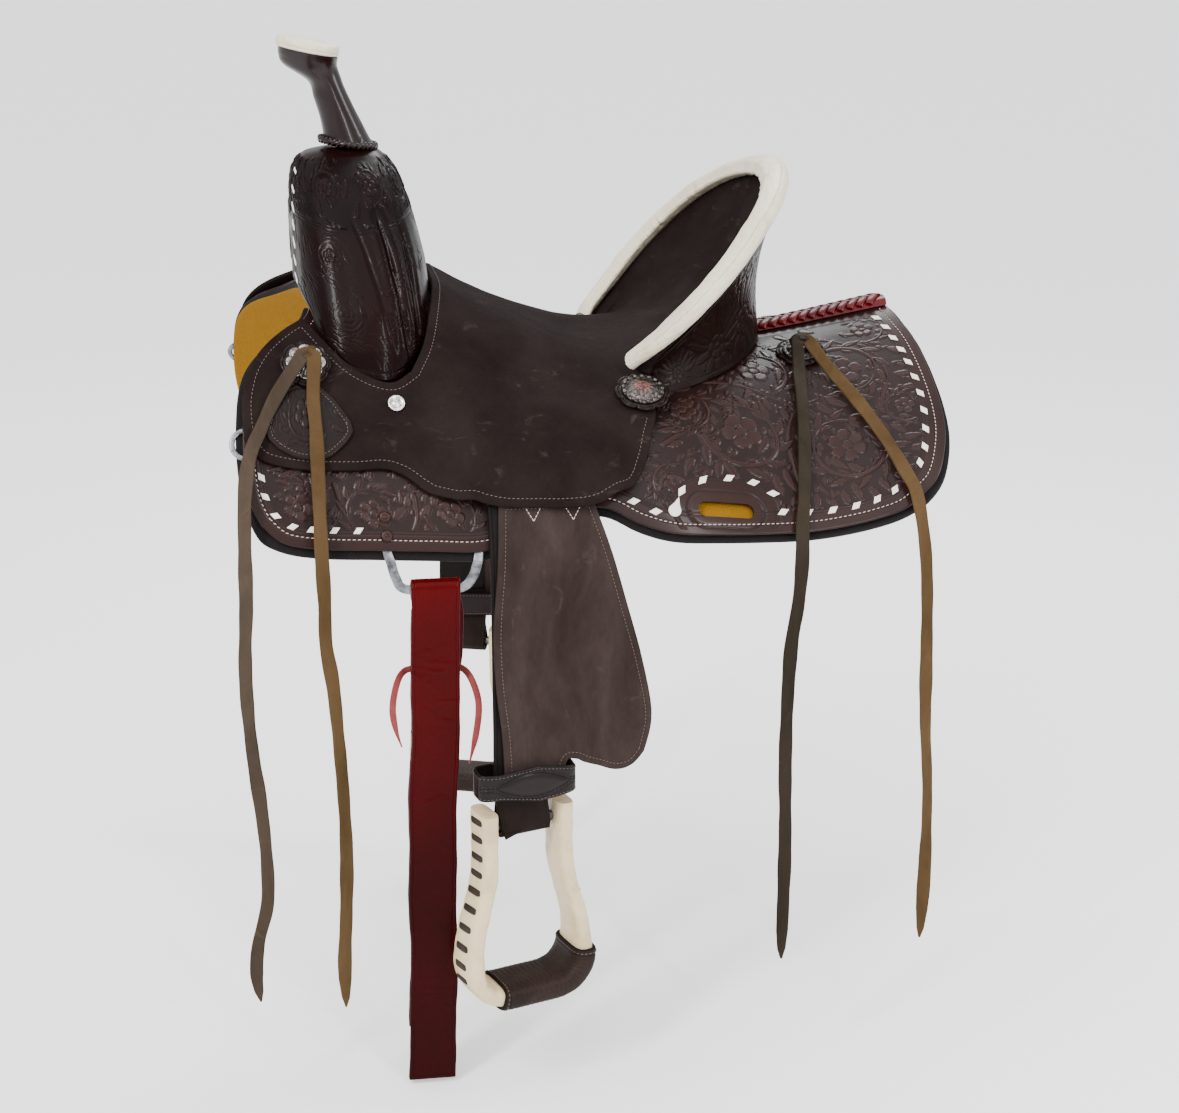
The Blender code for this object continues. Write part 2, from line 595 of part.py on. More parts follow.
SEAT_SHARES = (0.0, 0.14, 0.28, 0.42, 0.55, 0.67, 0.79, 0.90, 1.0)
wing_cols = wing_plan()
turn = polyline(SEAT_INNER[5:9], 4)
hem_turn = polyline(SEAT_HEM[6:10], 4)
turn_cols = [[a.lerp(b, k / 8) for k in range(9)] for a, b in list(zip(turn, hem_turn))[1:]]
hem_rest = polyline(SEAT_HEM[9:], 8)
mid_line = (-0.084, -0.054, -0.022, 0.010, 0.042, 0.071, 0.098, 0.123, 0.146)
rest_cols = []
for c in range(1, 9):
    a, b = Vector((mid_line[c], 0.0, 0.0)), hem_rest[c]
    f = c / 8
    col = []
    for k in range(9):
        t = k / 8 + (SEAT_SHARES[k] - k / 8) * f
        p = a.lerp(b, t)
        # the last columns curl round the end of the binding
        p.x -= 0.010 * smoothstep(0.5, 1.0, f) * math.sin(math.pi * t)
        col.append(p)
    rest_cols.append(col)
tail = rest_cols[-1]
DISH_N = 6
dish_start = [lay(seat_surface, p.x, p.y) for p in tail[:DISH_N + 1]]
for p in dish_start:
    p.y = -abs(p.y)
dish_start[0].y = 0.0
rim_half = polyline([(x, -w, z) for x, w, z in reversed(RIM)], DISH_N)


def dish_point(k, f):
    """On the top of the dish leather: k along the rim from the top, f from the seat to the rim."""
    k0 = min(int(k), DISH_N - 1)
    a = dish_start[k0].lerp(dish_start[k0 + 1], k - k0)
    b = rim_half[k0].lerp(rim_half[k0 + 1], k - k0)
    inward = Vector((0.100 - b.x, -b.y, 0.0))
    b = b + inward.normalized() * 0.0042 - Vector((0, 0, 0.0012))
    rise = f ** (1.9 - 0.7 * k / DISH_N)
    return Vector((a.x + (b.x - a.x) * f, a.y + (b.y - a.y) * f, a.z + (b.z - a.z) * rise))


def build_seat(name):
    """One sheet: both wings, the seat and the dish, mirrored across the plane of symmetry."""
    columns = wing_cols + turn_cols + rest_cols
    bm = bmesh.new()
    store = {}

    def vertex(p, s):
        key = (round(p.x, 5), round(abs(p.y), 5), round(p.z, 5), 0 if abs(p.y) < 1e-6 else s)
        if key not in store:
            store[key] = bm.verts.new((p.x, s * abs(p.y), p.z))
        return store[key]

    sheet = [[lay(seat_surface, p.x, max(p.y, 0.0)) for p in col] for col in columns]
    for col in sheet:
        if abs(col[0].y) < 1e-3:
            col[0].y = 0.0
    quads = [(a[k], b[k], b[k + 1], a[k + 1]) for a, b in zip(sheet[:-1], sheet[1:]) for k in range(8)]
    levels = [sheet[-1][:DISH_N + 1]] + [[dish_point(k, f) for k in range(DISH_N + 1)] for f in (0.28, 0.54, 0.78, 1.0)]
    quads += [(a[k], b[k], b[k + 1], a[k + 1]) for a, b in zip(levels[:-1], levels[1:]) for k in range(DISH_N)]
    for s in (-1.0, 1.0):
        for q in quads:
            corners = [vertex(p, s) for p in q]
            bm.faces.new(corners if s < 0 else corners[::-1])
    mesh = bpy.data.meshes.new(name)
    bm.to_mesh(mesh)
    bm.free()
    obj = finish(name, mesh, ROUGHOUT, 0.8)
    up = sum(poly.normal.z for poly in mesh.polygons) > 0
    thick = obj.modifiers.new("leather", "SOLIDIFY")
    thick.thickness = SEAT_T
    thick.offset = -1.0 if up else 1.0
    thick.use_even_offset = True
    thick.thickness_clamp = 1.0
    return obj


build_seat("seat_leather")


def rim_points(n):
    """Whole rim, near end to off end."""
    half = [Vector((x, -w, z)) for x, w, z in RIM]
    other = [Vector((p.x, -p.y, p.z)) for p in reversed(half[:-1])]
    return polyline([tuple(p) for p in half + other], n)


def foot_points(n):
    half = [Vector((x, -w, hide(x, w))) for x, w in CANTLE_FOOT]
    other = [Vector((p.x, -p.y, p.z)) for p in reversed(half[:-1])]
    return polyline([tuple(p) for p in half + other], n)


NRIM = 26
rim_all, foot_all = rim_points(NRIM), foot_points(NRIM)
SEAT_MID = Vector((0.080, 0.0, 0.0))


def back_point(i, v, off):
    """On the back of the cantle: v = 0 under the rim, 1 at the foot."""
    r, f = rim_all[i], foot_all[i]
    p = r.lerp(f, v)
    away = Vector((p.x - 0.110, p.y, 0.0))
    away = away.normalized() if away.length > 1e-6 else Vector((1, 0, 0))
    hollow_in = -0.010 * math.sin(math.pi * v)
    return p + away * (hollow_in + off)


# Rawhide binding rolled over the rim.
rings = []
for i in range(NRIM + 1):
    t = (rim_all[min(i + 1, NRIM)] - rim_all[max(i - 1, 0)]).normalized()
    out_dir = Vector((rim_all[i].x - 0.150, rim_all[i].y, 0.55 * (rim_all[i].z - 0.060)))
    out_dir = (out_dir - t * out_dir.dot(t)).normalized()
    up_dir = t.cross(out_dir)
    if up_dir.z < 0:
        up_dir = -up_dir
    # the band lies across the rim, tilted towards the seat
    a = (out_dir * 0.985 + up_dir * -0.17).normalized()
    b = (out_dir * 0.17 + up_dir * 0.985).normalized()
    taper = 0.55 + 0.45 * smoothstep(0, 3, min(i, NRIM - i))
    ring = []
    for k in range(8):
        g = 2 * math.pi * (k + 0.5) / 8
        ring.append(rim_all[i] + b * 0.0084 + a * (BINDING_W / 2 * taper * math.cos(g)) + b * (BINDING_T / 2 * taper * math.sin(g)))
    rings.append(ring)
loft("cantle_binding", rings, RAWHIDE, 0.45)

# Cantle core: the wooden wall between the dish and the back.


rings = []
for step in range(-8, 9):
    half_i = NRIM / 2 * (1 - abs(step) / 10.5)
    j = int(half_i)
    ring = []
    for v, deep, drop in ((0.34, 0.0070, 0.0), (0.62, 0.0070, 0.0), (0.90, 0.0070, 0.0), (0.90, 0.0300, 0.0), (0.34, 0.0110, 0.0040)):
        p = back_point(j, v, -deep).lerp(back_point(j + 1, v, -deep), half_i - j)
        p.z = max(p.z - drop, hide(p.x, abs(p.y)) + 0.0030)
        if step > 0:
            p.y = -p.y
        ring.append(p)
    rings.append(ring)
loft("cantle_core", rings, WOOD, 0.6)

# Leather over the back of the cantle.
up, dn = [], []
for share, out in ((0.0, 0.0030), (0.24, 0.0012), (0.60, 0.0), (0.92, 0.0), (0.975, 0.0)):
    for rows, off in ((up, out), (dn, out - 0.0032)):
        row = []
        for i in range(2, NRIM - 1):
            top = 0.0120 / (rim_all[i] - foot_all[i]).length
            row.append(back_point(i, top + (1 - top) * share, off))
        rows.append(row)
for rows in (up, dn):
    for row in rows:
        for p in row:
            p.z = max(p.z, hide(p.x, abs(p.y)) + 0.0010)
shell("cantle_back_cover", up, dn, OXBLOOD, 0.3)

# ----------------------------------------------------- rigging, conchos, screws


def frame_on(surface, x, w, off, side):
    s = -1.0 if side == NEAR else 1.0
    p = lay(surface, x, w, off, s)
    n = (lay(surface, x, w, 0.01, s) - lay(surface, x, w, 0.0, s)).normalized()
    return p, n


def disc(name, centre, axis, radius, thick, n, colour, rough, metal=0.0, scallop=0.0, lobes=0, dome=0.0):
    z = axis.normalized()
    u = Vector((1, 0, 0))
    u = (u - z * u.dot(z)).normalized()
    v = z.cross(u)
    rings = []
    levels = [(0.0, 1.0), (thick * 0.7, 1.0), (thick, 0.86)]
    if dome:
        levels += [(thick + dome * 0.75, 0.55), (thick + dome, 0.22)]
    for h, f in levels:
        ring = []
        for k in range(n):
            a = 2 * math.pi * k / n
            r = radius * f * (1.0 + scallop * math.cos(lobes * a))
            ring.append(centre + u * (r * math.cos(a)) + v * (r * math.sin(a)) + z * h)
        rings.append(ring)
    return loft(name, rings, colour, rough, metal)


def flat_ring(name, centre, axis, path, bar, thick, colour, rough, metal):
    """Flat bar bent to a closed path given in the plane normal to the axis."""
    z = axis.normalized()
    u = Vector((1, 0, 0))
    u = (u - z * u.dot(z)).normalized()
    v = z.cross(u)
    if v.z < 0:
        v = -v
    pts = [centre + u * a + v * b for a, b in path]
    rings = []
    n = len(pts)
    for i, p in enumerate(pts):
        t = (pts[(i + 1) % n] - pts[i - 1]).normalized()
        side_dir = z.cross(t).normalized()
        rings.append([p + side_dir * (bar / 2) + z * (thick / 2), p - side_dir * (bar / 2) + z * (thick / 2),
                      p - side_dir * (bar / 2) - z * (thick / 2), p + side_dir * (bar / 2) - z * (thick / 2)])
    return loft(name, rings, colour, rough, metal, loop=True)


# Front rigging dee: wide where it leaves the skirt's hem, narrow at the bar below.
# Path in (along, up): up = 0 at the hem.
DEE_PATH = ((-0.0415, 0.0130), (-0.0425, 0.0000), (-0.0395, -0.0110), (-0.0350, -0.0260), (-0.0265, -0.0372),
            (0.0060, -0.0385), (0.0250, -0.0380), (0.0340, -0.0290), (0.0385, -0.0110), (0.0400, 0.0000),
            (0.0390, 0.0130), (0.0300, 0.0165), (0.0, 0.0170), (-0.0320, 0.0165))
DEE_AT = (-0.1035, 0.2465)
DEE_T = 0.0018
DEE_SET = 0.0100  # how far the bar is set in towards the horse


def dee_rings(side):
    """Flat bar following the skirt above the hem and hanging straight below it."""
    s = -1.0 if side == NEAR else 1.0
    depth = -SKIRT_T - 0.0012
    middle = lay(hide, *DEE_AT, depth, s)
    knee = -0.0110

    def slope_at(a):
        foot = lay(hide, DEE_AT[0] + a, DEE_AT[1], depth, s)
        return foot, (lay(hide, DEE_AT[0] + a, DEE_AT[1] - 0.0120, depth, s) - foot).normalized()

    def place(a, b):
        foot, rise = slope_at(a)
        if b >= knee:
            return foot + rise * b
        share = min((knee - b) / 0.02, 1.0)
        level = (middle.z - foot.z) * share
        return foot + rise * knee + Vector((0, -s * DEE_SET * share, b - knee + level))

    tangent = slope_at(0.0)[1]
    n = Vector((0, tangent.z * s, -tangent.y * s))
    rings = []
    count = len(DEE_PATH)
    for i, (a, b) in enumerate(DEE_PATH):
        face = n if b > knee else Vector((0, s, 0))
        if abs(b - knee) < 0.0030:
            face = (n + Vector((0, s, 0))).normalized()
        t = (place(*DEE_PATH[(i + 1) % count]) - place(*DEE_PATH[i - 1])).normalized()
        out = face.cross(t).normalized()
        c = place(a, b)
        h, d = 0.0043, DEE_T / 2
        rings.append([c + out * h + face * d, c - out * h + face * d, c - out * h - face * d, c + out * h - face * d])
    return rings, place(0.003, -0.0385)


for side in SIDES:
    s = -1.0 if side == NEAR else 1.0
    rings, bar = dee_rings(side)
    loft(f"rigging_dee_{side}", rings, STEEL, 0.35, 1.0, loop=True)
    if side == NEAR:
        BAR = bar
    for k, (x, w) in enumerate(((-0.1467, 0.2350), (-0.1458, 0.2418))):
        q, m = frame_on(hide, x, w, 0.0004, side)
        disc(f"rigging_rivet_{side}_{k + 1}", q, m, 0.0052, 0.0016, 10, (0.30, 0.13, 0.06), 0.4, 1.0)
    # breast-collar ring at the front edge of the skirt
    q, m = frame_on(hide, -0.2660, 0.2080, -SKIRT_T - 0.0017, side)
    ring_path = [(0.0130 * math.cos(2 * math.pi * k / 14), 0.0130 * math.sin(2 * math.pi * k / 14)) for k in range(14)]
    flat_ring(f"breast_collar_dee_{side}", q, m, ring_path, 0.0050, 0.0016, STEEL, 0.35, 1.0)
    # tooled cover over the front of the jockey
    cover_grid = coons([(-0.2485, 0.2065), (-0.237, 0.187), (-0.214, 0.178), (-0.191, 0.1870), (-0.174, 0.2005)],
                       [(-0.238, 0.2155), (-0.220, 0.2190), (-0.196, 0.2180), (-0.179, 0.2110)],
                       [(-0.2485, 0.2065), (-0.246, 0.2115), (-0.238, 0.2155)],
                       [(-0.174, 0.2005), (-0.173, 0.2060), (-0.179, 0.2110)], 5, 2)
    shell(f"jockey_corner_patch_{side}",
          [[lay(seat_surface, p.x, p.y, 0.0036, s) for p in row] for row in cover_grid],
          [[lay(seat_surface, p.x, p.y, 0.0008, s) for p in row] for row in cover_grid], TOOLED, 0.35)
    # seat screw, seated in its cup washer
    q, m = frame_on(seat_surface, -0.131, 0.1880, 0.0005, side)
    disc(f"seat_screw_{side}", q + m * 0.0006, m, 0.0078, 0.0018, 12, SILVER, 0.25, 1.0, dome=0.0012)
    # conchos over leather rosettes
    for label, surf, x, w, r_ros, r_con, lift, dome in (
            ("front", seat_surface, -0.2110, 0.1690, 0.0225, 0.0180, 0.0046, 0.0030),
            ("corner", seat_surface, 0.0985, 0.1660, 0.0255, 0.0195, 0.0030, 0.0050),
            ("rear", hide, 0.2725, 0.0715, 0.0240, 0.0185, 0.0006, 0.0036)):
        q, m = frame_on(surf, x, w, lift, side)
        disc(f"{label}_rosette_{side}", q, m, r_ros, 0.0026, 16, TOOLED, 0.45, scallop=0.045, lobes=8)
        disc(f"{label}_concho_{side}", q + m * 0.0030, m, r_con, 0.0018, 12, SILVER, 0.35, 1.0, dome=dome)

# ------------------------------------------------------- fenders and stirrups
E1 = Vector((math.cos(STIRRUP_YAW), math.sin(STIRRUP_YAW), 0))
E2 = Vector((-math.sin(STIRRUP_YAW), math.cos(STIRRUP_YAW), 0))
BOLT = Vector((-0.0290, -0.2612, BOLT_Z))

# Fender outline in (x, z): top edge tucked under the jockey, belly, tail and tongue.
FENDER_TOP = ((-0.0445, -0.076), (-0.022, -0.076), (0.016, -0.076), (0.040, -0.076))
FENDER_FRONT = ((-0.0445, -0.076), (-0.048, -0.130), (-0.053, -0.190), (-0.052, -0.240), (-0.047, -0.290), (-0.045, -0.345))
FENDER_REAR = ((0.040, -0.076), (0.053, -0.115), (0.068, -0.170), (0.083, -0.225), (0.094, -0.280), (0.088, -0.317))
FENDER_HEM = ((-0.045, -0.345), (-0.026, -0.346), (-0.008, -0.346), (0.007, -0.344), (0.0095, -0.330), (0.0135, -0.3165),
              (0.0225, -0.3165), (0.031, -0.321), (0.043, -0.3255), (0.061, -0.3320), (0.077, -0.329), (0.088, -0.317))
FENDER_BEND = -0.125
TWIST_X = -0.020


def fender_point(x, z, depth):
    """On the near fender, depth metres in from its outer face; its foot is turned outwards."""
    above = z - FENDER_BEND
    y = -0.2675 + 0.035 * above + 0.42 * (above + math.sqrt(above * above + 0.0004)) / 2
    turn_by = FOOT_TURN * smoothstep(0.150, 0.345, -z)
    u = Vector((math.cos(turn_by), math.sin(turn_by), 0))
    v = Vector((-math.sin(turn_by), math.cos(turn_by), 0))
    return Vector((TWIST_X, y, z)) + u * (x - TWIST_X) + v * depth


fender_grid = coons(FENDER_TOP, FENDER_HEM, FENDER_FRONT, FENDER_REAR, 11, (0.0, 0.10, 0.20, 0.30, 0.45, 0.62, 0.80, 1.0))

for side in SIDES:
    up = [[mirrored(fender_point(p.x, p.y, 0.0), side) for p in row] for row in fender_grid]
    dn = [[mirrored(fender_point(p.x, p.y, FENDER_T), side) for p in row] for row in fender_grid]
    shell(f"fender_{side}", up, dn, ROUGHOUT, 0.8)

    # Stirrup leather: behind the fender, round the stirrup bolt and back up.
    path, dirs = [], []
    behind = FENDER_T + 0.0015 + LEATHER_T / 2
    for z in (-0.080, -0.100, -0.122, -0.145, -0.185, -0.230, -0.285, -0.340):
        turn_by = FOOT_TURN * smoothstep(0.150, 0.345, -z)
        path.append(fender_point(-0.0300, z, behind))
        dirs.append(Vector((math.cos(turn_by), math.sin(turn_by), 0)))
    R = 0.0092
    for k in range(7):
        a = math.radians(-170 + 160 * k / 6)
        path.append(BOLT + E2 * (R * math.cos(a)) + Vector((0, 0, R * math.sin(a))))
        dirs.append(E1.copy())
    for z, turn_by, off in ((-0.354, 0.70, 0.0025), (-0.340, 0.55, -0.0008), (-0.318, 0.53, -0.0012)):
        path.append(Vector((BOLT.x, BOLT.y, z)) + E2 * off)
        turn_by *= STIRRUP_YAW
        dirs.append(Vector((math.cos(turn_by), math.sin(turn_by), 0)))
    ribbon(f"stirrup_leather_{side}", path, dirs, 0.0500, LEATHER_T, (0.020, 0.016, 0.015), 0.55, side)

    # Hobble strap round the leathers just above the stirrup.
    rings = []
    hu = Vector((math.cos(FOOT_TURN), math.sin(FOOT_TURN), 0))
    hv = Vector((-math.sin(FOOT_TURN), math.cos(FOOT_TURN), 0))
    mid = Vector((-0.0270, -0.2680, -0.3335))
    for k in range(18):
        a = 2 * math.pi * (k + 0.5) / 18
        c, sn = math.cos(a), math.sin(a)
        ex = math.copysign(abs(c) ** 0.40, c)
        ey = math.copysign(abs(sn) ** 0.40, sn)
        tall = 0.0130 if sn > 0 else 0.0125 + 0.0050 * max(0.0, 1 - abs(c - 0.2) * 1.3)
        o = mid + hu * (0.0470 * ex) + hv * (0.0162 * ey)
        i = mid + hu * (0.0442 * ex) + hv * (0.0134 * ey)
        rings.append([mirrored(q, side) for q in (o + Vector((0, 0, tall)), o - Vector((0, 0, tall)),
                                                  i - Vector((0, 0, tall)), i + Vector((0, 0, tall)))])
    loft(f"hobble_strap_{side}", rings, (0.022, 0.012, 0.011), 0.45, loop=True)
    # Stirrup: a bell-shaped bow. Path in (u, z), u along the bolt.
    bow = [(-0.0385, -0.3610), (-0.0385, -0.3900), (-0.0395, -0.4240), (-0.0455, -0.4520), (-0.0525, -0.4770),
           (-0.0560, -0.5020), (-0.0545, -0.5250), (-0.0440, -0.5400), (-0.0310, -0.5455), (-0.0210, -0.5465), (-0.0105, -0.5465), (0.0, -0.5465)]
    full = bow + [(-u, z) for u, z in reversed(bow[:-1])]
    pts = polyline([(u, z) for u, z in full], 26)
    rings = []
    for i, q in enumerate(pts):
        t = (pts[min(i + 1, 26)] - pts[max(i - 1, 0)]).normalized()
        nrm = Vector((-t.y, t.x, 0))
        f = smoothstep(0.46, 0.53, -q.y)
        depth = 0.0190 + 0.0055 * f
        thick = 0.0082 + 0.0006 * f
        ring = []
        for a, b in ((1, 0.62), (0.62, 1), (-0.62, 1), (-1, 0.62), (-1, -0.62), (-0.62, -1), (0.62, -1), (1, -0.62)):
            off2 = nrm * (thick * b)
            ring.append(mirrored(BOLT + Vector((0, 0, -BOLT_Z)) + E1 * (q.x + off2.x) + E2 * (depth * a) + Vector((0, 0, q.y + off2.y)), side))
        rings.append(ring)
    bowl = loft(f"stirrup_{side}", rings, RAWHIDE, 0.5)
    bolt_c = mirrored(BOLT, side)
    e1s = Vector((E1.x, E1.y if side == NEAR else -E1.y, 0))
    hole = cylinder_cutter(f"bolt_hole_{side}", bolt_c, e1s, BOLT_R + 0.0005, 0.14, 10)
    cut(bowl, hole)
    bolt = cylinder_cutter(f"stirrup_bolt_{side}", bolt_c, e1s, BOLT_R, 0.0890, 10)
    tools.objects.unlink(bolt)
    home.objects.link(bolt)
    bolt.hide_render = False
    bolt.display_type = "TEXTURED"
    own_material(bolt, IRON, 0.4, 1.0)

    # Leather cover sewn round the tread.
    rings = []
    low = [i for i, q in enumerate(pts) if -q.y > 0.5110]
    for part in (0, 1):
        seq = low if part == 0 else list(reversed(low))
        for i in seq:
            q = pts[i]
            t = (pts[min(i + 1, 26)] - pts[max(i - 1, 0)]).normalized()
            nrm = Vector((-t.y, t.x, 0))
            f = smoothstep(0.46, 0.53, -q.y)
            grow = 0.0036 if part == 0 else 0.0005
            depth = 0.0190 + 0.0055 * f + grow
            thick = 0.0082 + 0.0006 * f + grow
            ring = []
            for a, b in ((1, 0.62), (0.62, 1), (-0.62, 1), (-1, 0.62), (-1, -0.62), (-0.62, -1), (0.62, -1), (1, -0.62)):
                off2 = nrm * (thick * b)
                ring.append(mirrored(BOLT + Vector((0, 0, -BOLT_Z)) + E1 * (q.x + off2.x) + E2 * (depth * a) + Vector((0, 0, q.y + off2.y)), side))
            rings.append(ring)
    loft(f"tread_cover_{side}", rings, (0.035, 0.022, 0.018), 0.7, loop=True)

# ----------------------------------------------------------------- latigo
# Six feet of strap: over the dee's bar, folded at the foot and again under the bar.
LY = BAR.y + 0.0015
BAR_Z = BAR.z
LEAN = 0.026  # how far the folded strap leans forward for each metre it hangs


def strap_point(y, z):
    return Vector((-0.1030 - LEAN * (BAR_Z - z), y, z))


HALF = 0.5 * LATIGO_PITCH + 0.0004
RUNS = (LY - LATIGO_PITCH - HALF, LY - HALF, LY + HALF, LY + LATIGO_PITCH + HALF)
pts = [strap_point(RUNS[3], z) for z in (-0.600, -0.500, -0.380, -0.260, BAR_Z - 0.010)]
for k in range(1, 8):
    a = math.pi * k / 8
    r = LATIGO_PITCH + HALF
    pts.append(strap_point(LY + r * math.cos(a), BAR_Z + 0.0005 + (r + 0.001) * math.sin(a)))
pts += [strap_point(RUNS[0], z) for z in (BAR_Z - 0.010, -0.260, -0.380, -0.500, -0.648)]
for k in range(1, 4):
    a = math.pi * k / 4
    c = (RUNS[0] + RUNS[1]) / 2
    r = (RUNS[1] - RUNS[0]) / 2
    pts.append(strap_point(c - r * math.cos(a), -0.648 - r * math.sin(a)))
pts += [strap_point(RUNS[1], z) for z in (-0.646, -0.500, -0.380, -0.260, BAR_Z - 0.022)]
for k in range(1, 4):
    a = math.pi * k / 4
    c = (RUNS[1] + RUNS[2]) / 2
    r = (RUNS[2] - RUNS[1]) / 2
    pts.append(strap_point(c - r * math.cos(a), BAR_Z - 0.022 + r * math.sin(a)))
pts += [strap_point(RUNS[2], z) for z in (BAR_Z - 0.024, -0.300, -0.420, -0.585)]
ribbon("latigo", pts, Vector((1, 0, 0)), LATIGO_W, LATIGO_T, LATIGO, 0.25)

# Lace that ties the folded latigo: behind the strap, a tail on each side.
LACE_Y = RUNS[3] + 0.0046
lace = polyline([(-0.1380, LY - 0.0155, -0.302), (-0.1430, LY - 0.0145, -0.285), (-0.1450, LY - 0.0095, -0.266), (-0.1400, LY, -0.246),
                 (-0.1320, LACE_Y, -0.238), (-0.1200, LACE_Y, -0.236), (-0.1060, LACE_Y, -0.236), (-0.0920, LACE_Y, -0.236), (-0.0790, LACE_Y, -0.238),
                 (-0.0710, LY, -0.246), (-0.0660, LY - 0.0095, -0.266), (-0.0690, LY - 0.0145, -0.292), (-0.0760, LY - 0.0155, -0.322)], 20)


ribbon("latigo_lace", lace, Vector((0, -0.35, 1)), 0.0050, 0.0022, (0.42, 0.10, 0.10), 0.6)

# ------------------------------------------------------------ saddle strings
STRING_W, STRING_T = 0.0125, 0.0030
# Each string leaves its concho, lies on the leather through (x, w) points, then
# hangs through (x, y, z) points.
STRINGS = {
    "front_string_fore": (seat_surface, (-0.2110, 0.1690), -0.0085,
                          ((-0.238, 0.190), (-0.2535, 0.208), (-0.2645, 0.221)),
                          ((-0.270, -0.2470, -0.0600), (-0.272, -0.2600, -0.1050), (-0.273, -0.2610, -0.1550), (-0.276, -0.2600, -0.2050),
                           (-0.276, -0.2600, -0.2500), (-0.273, -0.2600, -0.3000), (-0.268, -0.2600, -0.3500), (-0.265, -0.2600, -0.4000),
                           (-0.266, -0.2600, -0.4450), (-0.276, -0.2600, -0.4860), (-0.279, -0.2600, -0.5180), (-0.276, -0.2600, -0.5450))),
    "front_string_aft": (seat_surface, (-0.2110, 0.1690), 0.0085,
                         ((-0.206, 0.190), (-0.205, 0.206), (-0.205, 0.220)),
                         ((-0.205, -0.2500, -0.0700), (-0.205, -0.2620, -0.1100), (-0.204, -0.2630, -0.1550), (-0.204, -0.2610, -0.1950),
                          (-0.199, -0.2600, -0.2350), (-0.196, -0.2600, -0.2800), (-0.193, -0.2600, -0.3400), (-0.192, -0.2600, -0.4000),
                          (-0.194, -0.2600, -0.4600), (-0.197, -0.2600, -0.5100), (-0.197, -0.2600, -0.5570))),
    "rear_string_fore": (hide, (0.2725, 0.0715), -0.0085,
                         ((0.262, 0.105), (0.255, 0.145), (0.247, 0.190), (0.238, 0.230), (0.233, 0.248)),
                         ((0.230, -0.2680, -0.1350), (0.227, -0.2700, -0.1750), (0.221, -0.2690, -0.2250), (0.219, -0.2680, -0.3200),
                          (0.221, -0.2680, -0.4200), (0.220, -0.2680, -0.5350))),
    "rear_string_aft": (hide, (0.2725, 0.0715), 0.0085,
                        ((0.292, 0.105), (0.310, 0.145), (0.327, 0.185), (0.339, 0.220), (0.344, 0.240)),
                        ((0.347, -0.2620, -0.1250), (0.350, -0.2660, -0.1700), (0.352, -0.2660, -0.2300), (0.354, -0.2660, -0.3000),
                         (0.359, -0.2660, -0.3700), (0.360, -0.2660, -0.4500), (0.358, -0.2660, -0.5240))),
}


def string_route(surface, tie, aside, laid, hung):
    head, n = frame_on(surface, *tie, 0.0, NEAR)
    high = 0.0140 if surface is hide else 0.0175
    route = [head + n * high + Vector((aside * 0.8, 0, 0)), head + n * high + Vector((aside, -0.008, -0.0006))]
    route += [lay(surface, x, w, 0.0078) for x, w in laid]
    return [tuple(p) for p in route] + list(hung)


for name, route in STRINGS.items():
    pts = polyline(string_route(*route), 20)
    widths = [STRING_W] * 20 + [STRING_W * 0.35]
    dirs = []
    for i, p in enumerate(pts):
        t = (pts[min(i + 1, 20)] - pts[max(i - 1, 0)]).normalized()
        out_n = Vector((0, -1, 0.25)).normalized()
        dirs.append(t.cross(out_n).normalized())
    ribbon(name, pts, dirs, widths, STRING_T, THONG, 0.7)

# ------------------------------------------------------------ turning points


def hang_on(names, point):
    """Puts each piece's origin on the axis it turns about."""
    for name in names:
        obj = bpy.data.objects[name]
        obj.data.transform(Matrix.Translation(-point))
        obj.matrix_world = Matrix.Translation(point)


for side in SIDES:
    hang_on([f"fender_{side}", f"stirrup_leather_{side}", f"hobble_strap_{side}"], mirrored(FENDER_PIVOT, side))
    hang_on([f"stirrup_{side}", f"tread_cover_{side}"], mirrored(BOLT, side))
hang_on(["latigo", "latigo_lace"], Vector((BAR.x, LY, BAR.z)))
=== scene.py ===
"""Looks of the barrel racing saddle: fine leather, rawhide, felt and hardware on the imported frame."""

